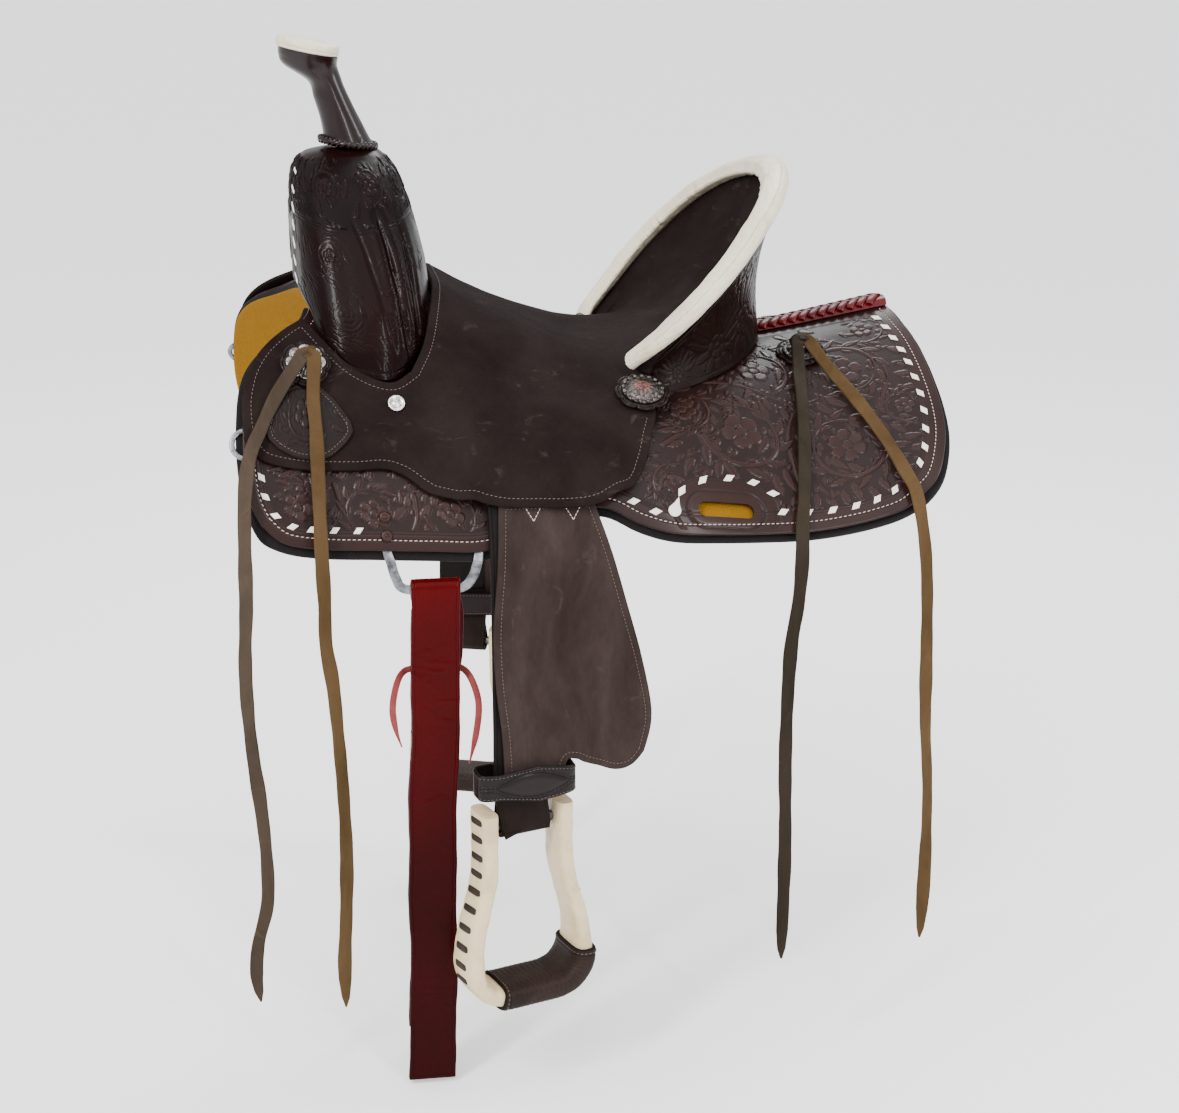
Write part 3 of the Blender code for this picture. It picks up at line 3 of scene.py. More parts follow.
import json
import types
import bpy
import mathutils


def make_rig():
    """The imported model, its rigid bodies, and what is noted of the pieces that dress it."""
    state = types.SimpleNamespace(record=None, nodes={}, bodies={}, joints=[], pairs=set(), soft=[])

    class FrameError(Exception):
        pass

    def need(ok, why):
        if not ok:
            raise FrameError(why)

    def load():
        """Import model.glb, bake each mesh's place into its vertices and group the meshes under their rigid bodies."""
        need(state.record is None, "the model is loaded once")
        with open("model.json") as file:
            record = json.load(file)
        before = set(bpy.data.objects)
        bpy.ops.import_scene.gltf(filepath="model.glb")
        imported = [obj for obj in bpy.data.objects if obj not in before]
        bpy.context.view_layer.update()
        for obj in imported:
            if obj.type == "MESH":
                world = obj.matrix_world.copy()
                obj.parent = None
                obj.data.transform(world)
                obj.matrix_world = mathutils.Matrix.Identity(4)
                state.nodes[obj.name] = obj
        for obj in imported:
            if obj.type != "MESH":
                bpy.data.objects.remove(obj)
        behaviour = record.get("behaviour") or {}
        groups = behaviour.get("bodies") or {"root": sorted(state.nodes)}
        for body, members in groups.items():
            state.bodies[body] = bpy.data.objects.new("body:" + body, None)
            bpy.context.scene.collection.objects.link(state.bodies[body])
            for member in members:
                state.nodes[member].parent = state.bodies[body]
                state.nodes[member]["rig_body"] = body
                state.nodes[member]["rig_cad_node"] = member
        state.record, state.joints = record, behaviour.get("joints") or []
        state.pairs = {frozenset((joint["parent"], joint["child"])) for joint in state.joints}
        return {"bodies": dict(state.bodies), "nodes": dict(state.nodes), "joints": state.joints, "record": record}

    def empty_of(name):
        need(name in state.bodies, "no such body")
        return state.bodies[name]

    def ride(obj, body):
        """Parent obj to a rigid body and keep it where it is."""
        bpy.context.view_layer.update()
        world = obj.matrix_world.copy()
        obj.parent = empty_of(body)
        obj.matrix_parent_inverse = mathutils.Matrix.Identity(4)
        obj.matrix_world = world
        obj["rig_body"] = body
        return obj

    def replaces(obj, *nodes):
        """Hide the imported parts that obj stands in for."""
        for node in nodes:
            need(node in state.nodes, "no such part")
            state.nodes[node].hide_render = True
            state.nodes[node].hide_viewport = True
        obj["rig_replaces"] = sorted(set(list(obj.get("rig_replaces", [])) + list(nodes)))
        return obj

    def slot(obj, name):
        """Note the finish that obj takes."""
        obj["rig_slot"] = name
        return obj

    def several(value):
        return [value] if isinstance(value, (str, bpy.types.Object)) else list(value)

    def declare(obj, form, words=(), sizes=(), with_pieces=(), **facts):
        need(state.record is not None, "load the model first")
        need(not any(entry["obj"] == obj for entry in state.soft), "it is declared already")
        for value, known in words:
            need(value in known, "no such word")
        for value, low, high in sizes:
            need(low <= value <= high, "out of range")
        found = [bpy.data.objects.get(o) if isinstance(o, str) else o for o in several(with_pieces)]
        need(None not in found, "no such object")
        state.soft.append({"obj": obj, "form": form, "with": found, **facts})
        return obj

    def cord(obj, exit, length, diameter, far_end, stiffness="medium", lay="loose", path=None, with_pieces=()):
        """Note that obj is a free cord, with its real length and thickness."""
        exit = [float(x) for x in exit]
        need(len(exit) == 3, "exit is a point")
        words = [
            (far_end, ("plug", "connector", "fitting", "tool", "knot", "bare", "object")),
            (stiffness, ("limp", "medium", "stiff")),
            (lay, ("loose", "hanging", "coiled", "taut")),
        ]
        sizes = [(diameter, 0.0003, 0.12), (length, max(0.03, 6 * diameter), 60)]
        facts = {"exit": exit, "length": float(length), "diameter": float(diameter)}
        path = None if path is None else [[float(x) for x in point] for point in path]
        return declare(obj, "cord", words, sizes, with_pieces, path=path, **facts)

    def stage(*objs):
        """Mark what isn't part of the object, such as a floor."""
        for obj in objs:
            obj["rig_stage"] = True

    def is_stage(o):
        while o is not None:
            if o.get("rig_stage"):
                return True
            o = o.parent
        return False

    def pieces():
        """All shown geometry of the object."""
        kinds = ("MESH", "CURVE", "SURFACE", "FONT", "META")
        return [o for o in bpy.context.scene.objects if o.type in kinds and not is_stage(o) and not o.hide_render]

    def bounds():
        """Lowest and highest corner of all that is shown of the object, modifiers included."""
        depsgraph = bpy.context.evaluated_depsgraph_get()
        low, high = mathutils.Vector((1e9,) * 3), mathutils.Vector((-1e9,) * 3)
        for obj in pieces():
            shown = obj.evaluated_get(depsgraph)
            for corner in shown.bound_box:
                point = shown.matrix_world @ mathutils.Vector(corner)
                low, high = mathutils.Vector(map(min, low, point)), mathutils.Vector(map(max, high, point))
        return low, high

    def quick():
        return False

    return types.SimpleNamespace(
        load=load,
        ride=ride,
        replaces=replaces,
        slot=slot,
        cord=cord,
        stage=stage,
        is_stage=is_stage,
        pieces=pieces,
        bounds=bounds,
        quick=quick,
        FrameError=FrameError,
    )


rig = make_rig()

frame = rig.load()

import json
import math

import bpy
import numpy as np
from mathutils import Matrix, Vector

CAD_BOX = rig.bounds()
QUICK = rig.quick()
SIDES = (("near", -1.0), ("off", 1.0))

# ------------------------------------------------------------------ camera
PHOTO_W, PHOTO_H = 1179, 1113
FOCAL_PX = 2277.0
TURN, TILT, DIST = math.radians(8.8), math.radians(17.0), 2.328
AIM = Vector((0.075, 0.0, -0.205))
back = Vector((-math.sin(TURN) * math.cos(TILT), -math.cos(TURN) * math.cos(TILT), math.sin(TILT)))
cam_data = bpy.data.cameras.new("camera")
cam_data.sensor_fit = "HORIZONTAL"
cam_data.sensor_width = 36.0
cam_data.lens = 36.0 * FOCAL_PX / PHOTO_W
cam_data.clip_end = 200.0
cam = bpy.data.objects.new("camera", cam_data)
bpy.context.scene.collection.objects.link(cam)
cam.matrix_world = Matrix.Translation(AIM + back * DIST) @ back.to_track_quat("Z", "Y").to_matrix().to_4x4()
bpy.context.scene.camera = cam


# ------------------------------------------------------------------ meshes
def new_mesh(name, V, faces):
    """Mesh from points and a list of face index arrays, each array of one face size."""
    V = np.ascontiguousarray(V, np.float32)
    me = bpy.data.meshes.new(name)
    me.vertices.add(len(V))
    me.vertices.foreach_set("co", V.ravel())
    loops = np.concatenate([np.asarray(f, np.int32).ravel() for f in faces])
    sizes = np.concatenate([np.full(len(f), np.asarray(f).shape[1], np.int32) for f in faces])
    me.loops.add(len(loops))
    me.loops.foreach_set("vertex_index", loops)
    me.polygons.add(len(sizes))
    me.polygons.foreach_set("loop_start", np.concatenate([[0], np.cumsum(sizes)[:-1]]).astype(np.int32))
    me.update(calc_edges=True)
    return me


def volume(V, faces):
    total = 0.0
    for f in faces:
        f = np.asarray(f)
        for k in range(1, f.shape[1] - 1):
            a, b, c = V[f[:, 0]], V[f[:, k]], V[f[:, k + 1]]
            total += float(np.einsum("ij,ij->i", a, np.cross(b, c)).sum())
    return total


def piece(name, V, faces, mat, body, closed=True, attr=None, sharp=50.0, stands=(), slot=None, smooth=True):
    V = np.asarray(V, float)
    faces = [np.asarray(f) for f in faces if len(f)]
    if closed and volume(V - V.mean(0), faces) < 0:
        faces = [f[:, ::-1] for f in faces]
    me = new_mesh(name, V, faces)
    if attr is not None:
        layer = me.attributes.new("tool", "FLOAT", "POINT")
        layer.data.foreach_set("value", np.ascontiguousarray(attr, np.float32))
    if smooth:
        me.shade_smooth()
        if sharp:
            me.set_sharp_from_angle(angle=math.radians(sharp))
    me.materials.append(mat)
    obj = bpy.data.objects.new(name, me)
    bpy.context.scene.collection.objects.link(obj)
    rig.ride(obj, body)
    if stands:
        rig.replaces(obj, *stands)
    if slot:
        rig.slot(obj, slot)
    return obj


def unit(a):
    return a / np.maximum(np.linalg.norm(a, axis=-1, keepdims=True), 1e-12)


def smoothstep(a, b, x):
    t = np.clip((x - a) / (b - a), 0.0, 1.0)
    return t * t * (3 - 2 * t)


def arc(points):
    return np.concatenate([[0.0], np.cumsum(np.linalg.norm(np.diff(points, axis=0), axis=1))])


def spline(points, closed=False, sub=24):
    """Dense smooth curve through the points."""
    P = np.asarray(points, float)
    n = len(P)
    out = []
    last = n if closed else n - 1
    for i in range(last):
        if closed:
            p0, p1, p2, p3 = P[(i - 1) % n], P[i], P[(i + 1) % n], P[(i + 2) % n]
        else:
            p0, p1, p2, p3 = P[max(i - 1, 0)], P[i], P[i + 1], P[min(i + 2, n - 1)]
        t = (np.arange(sub) / sub)[:, None]
        out.append(0.5 * (2 * p1 + (p2 - p0) * t + (2 * p0 - 5 * p1 + 4 * p2 - p3) * t * t
                          + (3 * p1 - p0 - 3 * p2 + p3) * t ** 3))
    out = np.concatenate(out)
    if not closed:
        out = np.vstack([out, P[-1]])
    return out


def even(points, n, closed=False):
    """n + 1 points evenly spaced along a polyline (n points if closed)."""
    P = np.asarray(points, float)
    if closed:
        P = np.vstack([P, P[:1]])
    s = arc(P)
    at = np.linspace(0, s[-1], n + 1)
    out = np.stack([np.interp(at, s, P[:, k]) for k in range(P.shape[1])], axis=1)
    return out[:-1] if closed else out


def polyline(points, n):
    return even(spline(points), n)


def part_of(points, a, b, n):
    """The stretch between control points a and b of a smooth curve, evenly spaced."""
    return even(spline(points)[a * 24:b * 24 + 1], n)


def by_index(points, n):
    """Smooth curve sampled evenly by control point, so two edges keep matching points."""
    P = spline(points)
    at = np.linspace(0, len(P) - 1, n + 1)
    return np.stack([np.interp(at, np.arange(len(P)), P[:, k]) for k in range(P.shape[1])], axis=1)


def grid_normals(G):
    return unit(np.cross(np.gradient(G, axis=1), np.gradient(G, axis=0)))


def grid_faces(idx):
    return np.stack([idx[:-1, :-1], idx[:-1, 1:], idx[1:, 1:], idx[1:, :-1]], axis=-1)


def shell_grid(top, thick, towards, r=0.0008, keep=None, lift=None):
    """Closed sheet with a rounded edge below a grid of points. towards: a point on the outer side.
    keep: cells that are there (for a slot). lift: height added to the outer face only."""
    R, C, _ = top.shape
    N = grid_normals(top)
    if np.einsum("ijk,ijk->ij", N, np.asarray(towards) - top).mean() < 0:
        N = -N
    under = top - N * thick
    outer = top if lift is None else top + N * lift[..., None]
    k = R * C
    idx = np.arange(k).reshape(R, C)
    faces = grid_faces(idx)
    keep = np.ones((R - 1, C - 1), bool) if keep is None else keep
    quads = [faces[keep], faces[keep][:, ::-1] + k]
    for a, b, e0, e1 in ((keep[:, :-1], keep[:, 1:], idx[:-1, 1:-1], idx[1:, 1:-1]),
                         (keep[:-1], keep[1:], idx[1:-1, :-1], idx[1:-1, 1:])):
        for first, second, turned in ((a, b, False), (b, a, True)):
            hit = first & ~second
            if hit.any():
                p, q = e0[hit], e1[hit]
                flip = turned ^ (a.shape[0] == R - 1)
                quad = np.stack([p, q, q + k, p + k], axis=1)
                quads.append(quad if flip else quad[:, ::-1])
    loop = np.concatenate([idx[:, 0], idx[-1, 1:], idx[::-1, -1][1:], idx[0, ::-1][1:-1]])
    P, M = top.reshape(-1, 3)[loop], N.reshape(-1, 3)[loop]
    T = unit(np.roll(P, -1, 0) - np.roll(P, 1, 0))
    O = unit(np.cross(T, M))
    centre = top.reshape(-1, 3).mean(0)
    inner = np.concatenate([idx[:, 1], idx[-2, 1:], idx[::-1, -2][1:], idx[1, ::-1][1:-1]])
    if np.einsum("ij,ij->i", O, P - top.reshape(-1, 3)[inner]).mean() < 0:
        O = -O
    L = lift.ravel()[loop][:, None] if lift is not None else 0.0
    V = [outer.reshape(-1, 3), under.reshape(-1, 3)]
    rings = [loop]
    for phi in (50, 18, -18, -50):
        f = math.radians(phi)
        V.append(P + O * (r * math.cos(f)) - M * (thick / 2 * (1 - math.sin(f))) + M * L * (0.5 + 0.5 * math.sin(f)))
        rings.append(np.arange(len(loop)) + 2 * k + len(loop) * (len(rings) - 1))
    rings.append(loop + k)
    for a, b in zip(rings[:-1], rings[1:]):
        quads.append(np.stack([a, b, np.roll(b, -1), np.roll(a, -1)], axis=1))
    side = np.concatenate(quads)
    V = np.concatenate(V)
    # the rim's winding must agree with the outer face
    first = faces[keep][0]
    n0 = np.cross(V[first[1]] - V[first[0]], V[first[3]] - V[first[0]])
    out_ok = np.dot(n0, N.reshape(-1, 3)[first[0]]) > 0
    q = np.stack([rings[0], rings[1], np.roll(rings[1], -1), np.roll(rings[0], -1)], axis=1)
    fn = np.cross(V[q[:, 1]] - V[q[:, 0]], V[q[:, 3]] - V[q[:, 0]])
    rim_ok = np.einsum("ij,ij->i", fn, O).mean() > 0
    rim_from = len(side) - 5 * len(loop)
    if not out_ok:
        side[:rim_from] = side[:rim_from, ::-1]
    if not rim_ok:
        side[rim_from:] = side[rim_from:, ::-1]
    return V, side, N, (P, M, O), 2 * k


def loft(rings, loop=False, caps=True):
    """Closed tube through rings of equal size."""
    R = np.asarray(rings, float)
    m, n, _ = R.shape
    idx = np.arange(m * n).reshape(m, n)
    if loop:
        idx2 = np.vstack([idx, idx[:1]])
    else:
        idx2 = idx
    a, b = idx2[:-1], idx2[1:]
    quads = np.stack([a, np.roll(a, -1, 1), np.roll(b, -1, 1), b], axis=-1).reshape(-1, 4)
    V = R.reshape(-1, 3)
    faces = [quads]
    if not loop and caps:
        c0, c1 = R[0].mean(0), R[-1].mean(0)
        V = np.vstack([V, c0, c1])
        e = idx[0]
        faces.append(np.stack([np.roll(e, -1), e, np.full(n, m * n)], axis=1))
        e = idx[-1]
        faces.append(np.stack([e, np.roll(e, -1), np.full(n, m * n + 1)], axis=1))
    return V, faces


def frames(P, width_dir, closed=False):
    """Tangent, width direction and height direction along a path."""
    P = np.asarray(P, float)
    if closed:
        T = unit(np.roll(P, -1, 0) - np.roll(P, 1, 0))
    else:
        T = unit(np.gradient(P, axis=0))
    W = np.broadcast_to(np.asarray(width_dir, float), P.shape)
    W = unit(W - T * np.einsum("ij,ij->i", T, W)[:, None])
    return T, W, np.cross(T, W)


def strap_section(width, thick, crease=0.0, n_side=3, crease_at=0.0026):
    """Section of a strap with burnished edges and, if wanted, a creased line near each edge."""
    h, d = width / 2, thick / 2
    r = min(d, 0.0014)
    us = list(np.linspace(-h + r, h - r, 15))
    if crease:
        us = sorted(us + [-h + crease_at - 0.0005, -h + crease_at, -h + crease_at + 0.0005,
                          h - crease_at - 0.0005, h - crease_at, h - crease_at + 0.0005])
    def depth(u):
        return crease if min(abs(u + h - crease_at), abs(u - h + crease_at)) < 1e-6 else 0.0
    pts = [(u, d - depth(u)) for u in us]
    for a in (55, 18, -18, -55):
        f = math.radians(a)
        pts.append((h - r + r * math.cos(f), d * math.sin(f)))
    pts += [(u, -d) for u in reversed(us)]
    for a in (-55, -18, 18, 55):
        f = math.radians(a)
        pts.append((-h + r - r * math.cos(f), d * math.sin(f)))
    return np.array(pts)


def sweep(P, W, H, section, scale=None, closed=False):
    """Rings of a section carried along a path. scale: width factor at each point."""
    scale = np.ones(len(P)) if scale is None else np.asarray(scale, float)
    return P[:, None, :] + W[:, None, :] * (section[None, :, 0:1] * scale[:, None, None]) + H[:, None, :] * section[None, :, 1:2]


def scatter(shape_v, shape_f, centres, X, Y, Z):
    """Copies of a small shape at many places, as one mesh."""
    n, m = len(centres), len(shape_v)
    V = (centres[:, None, :] + X[:, None, :] * shape_v[None, :, 0:1] + Y[:, None, :] * shape_v[None, :, 1:2]
         + Z[:, None, :] * shape_v[None, :, 2:3]).reshape(-1, 3)
    F = [(np.asarray(f)[None] + (np.arange(n) * m)[:, None, None]).reshape(-1, np.asarray(f).shape[1]) for f in shape_f]
    return V, F


def ball(n=8, rings=5):
    """Unit ball as a closed mesh."""
    V, rows = [(0, 0, 1.0)], []
    for j in range(1, rings):
        a = math.pi * j / rings
        rows.append(len(V))
        V += [(math.sin(a) * math.cos(2 * math.pi * k / n), math.sin(a) * math.sin(2 * math.pi * k / n), math.cos(a)) for k in range(n)]
    V.append((0, 0, -1.0))
    tri, quad = [], []
    for k in range(n):
        j = (k + 1) % n
        tri.append((0, rows[0] + k, rows[0] + j))
        tri.append((len(V) - 1, rows[-1] + j, rows[-1] + k))
        for a, b in zip(rows[:-1], rows[1:]):
            quad.append((a + k, b + k, b + j, a + j))
    return np.array(V, float), [np.array(tri), np.array(quad)]


BALL = ball()


def stitches(name, path, normal, mat, body, pitch=0.0042, length=0.0030, width=0.0009, high=0.0006, closed=False, lift=0.00005,
             skip=None):
    """A running stitch: one thread bead after another along a path on a surface."""
    P = np.asarray(path, float)
    M = np.asarray(normal, float)
    if closed:
        P, M = np.vstack([P, P[:1]]), np.vstack([M, M[:1]])
    s = arc(P)
    n = max(int(s[-1] / pitch), 1)
    at = (np.arange(n) + 0.5) * s[-1] / n
    C = np.stack([np.interp(at, s, P[:, k]) for k in range(3)], axis=1)
    Nn = unit(np.stack([np.interp(at, s, M[:, k]) for k in range(3)], axis=1))
    A = np.stack([np.interp(at + 0.001, s, P[:, k]) - np.interp(at - 0.001, s, P[:, k]) for k in range(3)], axis=1)
    X = unit(A - Nn * np.einsum("ij,ij->i", A, Nn)[:, None])
    # each stitch lies a little across the row, as hand and machine stitching does
    Y = np.cross(Nn, X)
    X = unit(X + Y * 0.10)
    Y = np.cross(Nn, X)
    if skip is not None:
        ok = ~skip(C)
        C, Nn, X, Y = C[ok], Nn[ok], X[ok], Y[ok]
    V, F = scatter(BALL[0] * np.array([length / 2, width / 2, high / 2]), BALL[1], C + Nn * (lift + high * 0.15), X, Y, Nn)
    return piece(name, V, F, mat, body, sharp=None)


def inset(rim, d, start=0, stop=None):
    """A line d inside the edge of a sheet: rim is what shell_grid gives."""
    P, M, O = rim
    sel = slice(start, stop)
    return P[sel] - O[sel] * d, M[sel]


def cleaned(path, normal, edge, d):
    """Drops points nearer the edge than d, where an inset line has crossed itself at a corner."""
    keep = np.ones(len(path), bool)
    for i in range(0, len(path), 400):
        block = path[i:i + 400]
        dist = np.linalg.norm(block[:, None, :] - edge[None, ::2, :], axis=2).min(1)
        keep[i:i + 400] = dist > d * 0.93
    return path[keep], normal[keep]


# ---------------------------------------------------------------- materials
def nodes_of(name):
    m = bpy.data.materials.new(name)
    m.use_nodes = True
    nt = m.node_tree
    return m, nt, nt.nodes, nt.links, nt.nodes["Principled BSDF"]


def noise(nt, vec, scale, detail=4.0, rough=0.55, distort=0.0):
    n = nt.nodes.new("ShaderNodeTexNoise")
    n.inputs["Scale"].default_value = scale
    n.inputs["Detail"].default_value = detail
    n.inputs["Roughness"].default_value = rough
    n.inputs["Distortion"].default_value = distort
    nt.links.new(vec, n.inputs["Vector"])
    return n.outputs["Fac"]


def ramp(nt, fac, stops):
    r = nt.nodes.new("ShaderNodeValToRGB")
    while len(r.color_ramp.elements) < len(stops):
        r.color_ramp.elements.new(0.5)
    for e, (pos, col) in zip(r.color_ramp.elements, stops):
        e.position = pos
        e.color = (*col, 1.0) if len(col) == 3 else col
    nt.links.new(fac, r.inputs["Fac"])
    return r.outputs["Color"]


def mixed(nt, fac, a, b, mode="MIX"):
    m = nt.nodes.new("ShaderNodeMix")
    m.data_type = "RGBA"
    m.blend_type = mode
    for socket, value in ((m.inputs["Factor"], fac), (m.inputs[6], a), (m.inputs[7], b)):
        if isinstance(value, bpy.types.NodeSocket):
            nt.links.new(value, socket)
        elif isinstance(value, (int, float)):
            socket.default_value = value
        else:
            socket.default_value = (*value, 1.0)
    return m.outputs[2]


def calc(nt, op, a, b=0.0, c=0.0):
    m = nt.nodes.new("ShaderNodeMath")
    m.operation = op
    for socket, value in zip(m.inputs, (a, b, c)):
        if isinstance(value, bpy.types.NodeSocket):
            nt.links.new(value, socket)
        else:
            socket.default_value = value
    return m.outputs[0]


def bumped(nt, height, strength, distance, before=None):
    b = nt.nodes.new("ShaderNodeBump")
    b.inputs["Strength"].default_value = strength
    b.inputs["Distance"].default_value = distance
    nt.links.new(height, b.inputs["Height"])
    if before is not None:
        nt.links.new(before, b.inputs["Normal"])
    return b.outputs["Normal"]


def coords(nt, scale=(1, 1, 1)):
    t = nt.nodes.new("ShaderNodeTexCoord")
    m = nt.nodes.new("ShaderNodeMapping")
    m.inputs["Scale"].default_value = scale
    nt.links.new(t.outputs["Object"], m.inputs["Vector"])
    return m.outputs["Vector"]


def leather(name, dark, light, rough=0.4, spread=0.12, coat=0.0, coat_rough=0.15, grain=0.25, pebble=0.0, blotch=9.0,
            tooled=False, sheen=0.0, stretch=(1, 1, 1), spec=0.5, deep=None, scuff=None):
    """Leather: blotchy dye, fine grain, and for tooled leather a dye that stays darker in the cuts and a painted
    highlight that lightens the raised tops; on the latigo the cut darkening is painted shade towards its lower end.
    """
    m, nt, nd, ln, b = nodes_of(name)
    v = coords(nt, stretch)
    big = noise(nt, v, blotch, 5.0, 0.6, 0.4)
    col = ramp(nt, big, ((0.30, dark), (0.72, light)))
    fine = noise(nt, v, 260.0, 6.0, 0.65)
    col = mixed(nt, calc(nt, "MULTIPLY", fine, 0.35), col, tuple(c * 0.55 for c in dark))
    if scuff:
        s = noise(nt, coords(nt, (stretch[0], stretch[1], stretch[2] * 2.2)), 26.0, 7.0, 0.7, 1.2)
        mask = ramp(nt, s, ((0.60, (0, 0, 0)), (0.74, (1, 1, 1))))
        col = mixed(nt, calc(nt, "MULTIPLY", mask, scuff[0]), col, scuff[1])
    rough_out = calc(nt, "MULTIPLY_ADD", fine, spread, rough - spread / 2)
    height = calc(nt, "MULTIPLY", fine, 1.0)
    if pebble:
        vo = nt.nodes.new("ShaderNodeTexVoronoi")
        vo.feature = "SMOOTH_F1"
        vo.inputs["Scale"].default_value = 620.0
        ln.new(v, vo.inputs["Vector"])
        height = calc(nt, "ADD", height, calc(nt, "MULTIPLY", vo.outputs["Distance"], pebble))
    if tooled:
        at = nt.nodes.new("ShaderNodeAttribute")
        at.attribute_name = "tool"
        cut_dye_and_painted_shade = ramp(nt, at.outputs["Fac"], ((0.06, (1, 1, 1)), (0.46, (0, 0, 0))))
        high = ramp(nt, at.outputs["Fac"], ((0.58, (0, 0, 0)), (0.95, (1, 1, 1))))
        # dye that stays in the cuts; on the latigo this same mix is painted shade, darker towards the bottom of the
        # strap
        col = mixed(nt, calc(nt, "MULTIPLY", cut_dye_and_painted_shade, 0.80), col, deep or tuple(c * 0.22 for c in dark))
        # raised tops painted lighter than the leather: painted highlight on the carving
        col = mixed(nt, calc(nt, "MULTIPLY", high, 0.22), col, tuple(min(c * 1.9, 1) for c in light))
        rough_out = calc(nt, "ADD", rough_out, calc(nt, "MULTIPLY", cut_dye_and_painted_shade, 0.25))
    ln.new(col, b.inputs["Base Color"])
    ln.new(calc(nt, "MINIMUM", rough_out, 1.0), b.inputs["Roughness"])
    ln.new(bumped(nt, height, grain, 0.0006), b.inputs["Normal"])
    b.inputs["Specular IOR Level"].default_value = spec
    b.inputs["Coat Weight"].default_value = coat
    b.inputs["Coat Roughness"].default_value = coat_rough
    if sheen:
        b.inputs["Sheen Weight"].default_value = sheen
        b.inputs["Sheen Roughness"].default_value = 0.6
    return m


def metal(name, base, rough, dirt=None, amount=0.5, scale=180.0, bump=0.1):
    m, nt, nd, ln, b = nodes_of(name)
    v = coords(nt)
    n = noise(nt, v, scale, 6.0, 0.65)
    col = ramp(nt, n, ((0.35, dirt or tuple(c * 0.55 for c in base)), (0.35 + 0.4 * (1 - amount) + 0.1, base)))
    ln.new(col, b.inputs["Base Color"])
    ln.new(calc(nt, "MULTIPLY_ADD", n, 0.25, rough - 0.10), b.inputs["Roughness"])
    ln.new(bumped(nt, n, bump, 0.0004), b.inputs["Normal"])
    b.inputs["Metallic"].default_value = 1.0
    return m


def rawhide(name, base=(0.74, 0.69, 0.58), tint=(0.55, 0.46, 0.32), rough=0.42, wrinkle=0.5):
    m, nt, nd, ln, b = nodes_of(name)
    v = coords(nt)
    big = noise(nt, v, 22.0, 6.0, 0.65, 0.8)
    col = ramp(nt, big, ((0.28, tuple(0.55 * a + 0.45 * c for a, c in zip(base, tint))), (0.50, base), (0.85, tuple(min(c * 1.10, 0.9) for c in base))))
    streak = noise(nt, coords(nt, (1, 1, 6)), 60.0, 6.0, 0.7, 1.0)
    mask = ramp(nt, streak, ((0.62, (0, 0, 0)), (0.78, (1, 1, 1))))
    col = mixed(nt, calc(nt, "MULTIPLY", mask, 0.30), col, tint)
    ln.new(col, b.inputs["Base Color"])
    ln.new(calc(nt, "MULTIPLY_ADD", big, 0.22, rough - 0.11), b.inputs["Roughness"])
    wr = noise(nt, v, 75.0, 7.0, 0.6, 1.5)
    ln.new(bumped(nt, noise(nt, v, 420.0, 4.0), 0.25, 0.0004, bumped(nt, wr, wrinkle, 0.0016)), b.inputs["Normal"])
    b.inputs["Subsurface Weight"].default_value = 0.08
    b.inputs["Subsurface Radius"].default_value = (0.004, 0.003, 0.002)
    b.inputs["Coat Weight"].default_value = 0.12
    b.inputs["Coat Roughness"].default_value = 0.30
    return m


def felt(name, base, dark, scale=500.0, sheen=0.4):
    m, nt, nd, ln, b = nodes_of(name)
    v = coords(nt)
    n = noise(nt, v, scale, 8.0, 0.75, 0.5)
    big = noise(nt, v, 14.0, 4.0)
    col = mixed(nt, big, ramp(nt, n, ((0.30, dark), (0.70, base))), tuple(c * 0.86 for c in base))
    ln.new(col, b.inputs["Base Color"])
    b.inputs["Roughness"].default_value = 0.95
    ln.new(bumped(nt, n, 0.7, 0.0016), b.inputs["Normal"])
    b.inputs["Sheen Weight"].default_value = sheen
    b.inputs["Sheen Roughness"].default_value = 0.5
    b.inputs["Specular IOR Level"].default_value = 0.2
    return m


def thread(name, colour, rough=0.75):
    m, nt, nd, ln, b = nodes_of(name)
    v = coords(nt)
    n = noise(nt, v, 900.0, 3.0)
    ln.new(ramp(nt, n, ((0.3, tuple(c * 0.7 for c in colour)), (0.7, colour))), b.inputs["Base Color"])
    b.inputs["Roughness"].default_value = rough
    ln.new(bumped(nt, n, 0.4, 0.0003), b.inputs["Normal"])
    return m


M_SEAT = leather("seat_roughout", (0.0082, 0.0050, 0.0047), (0.0178, 0.0124, 0.0114), rough=0.80, spread=0.18, grain=0.55, blotch=13.0,
                 spec=0.02, scuff=(0.40, (0.060, 0.046, 0.041)))
M_FENDER = leather("fender_roughout", (0.0185, 0.0116, 0.0104), (0.0450, 0.0315, 0.0278), rough=0.82, spread=0.18, grain=0.6, blotch=16.0,
                   spec=0.05, stretch=(1.6, 1, 0.5), scuff=(0.34, (0.075, 0.056, 0.049)))
M_SWELL = leather("swell_leather", (0.0026, 0.0006, 0.0005), (0.0075, 0.0017, 0.0014), rough=0.30, spread=0.10, coat=0.06, coat_rough=0.10,
                  grain=0.22, pebble=0.40, blotch=11.0, tooled=True, spec=0.045)
M_SKIRT = leather("tooled_brown", (0.0125, 0.0046, 0.0038), (0.0235, 0.0092, 0.0076), rough=0.32, spread=0.14, coat=0.10, coat_rough=0.13,
                  grain=0.20, blotch=8.0, tooled=True, spec=0.12)
M_BACK = leather("cantle_back_leather", (0.0050, 0.0019, 0.0014), (0.0110, 0.0043, 0.0031), rough=0.34, coat=0.08, coat_rough=0.14, grain=0.18,
                 blotch=10.0, tooled=True, spec=0.09)
M_HORN = leather("horn_leather", (0.0045, 0.0008, 0.0008), (0.0115, 0.0020, 0.0019), rough=0.34, spread=0.06, coat=0.26, coat_rough=0.15,
                 grain=0.14, blotch=16.0, spec=0.15)
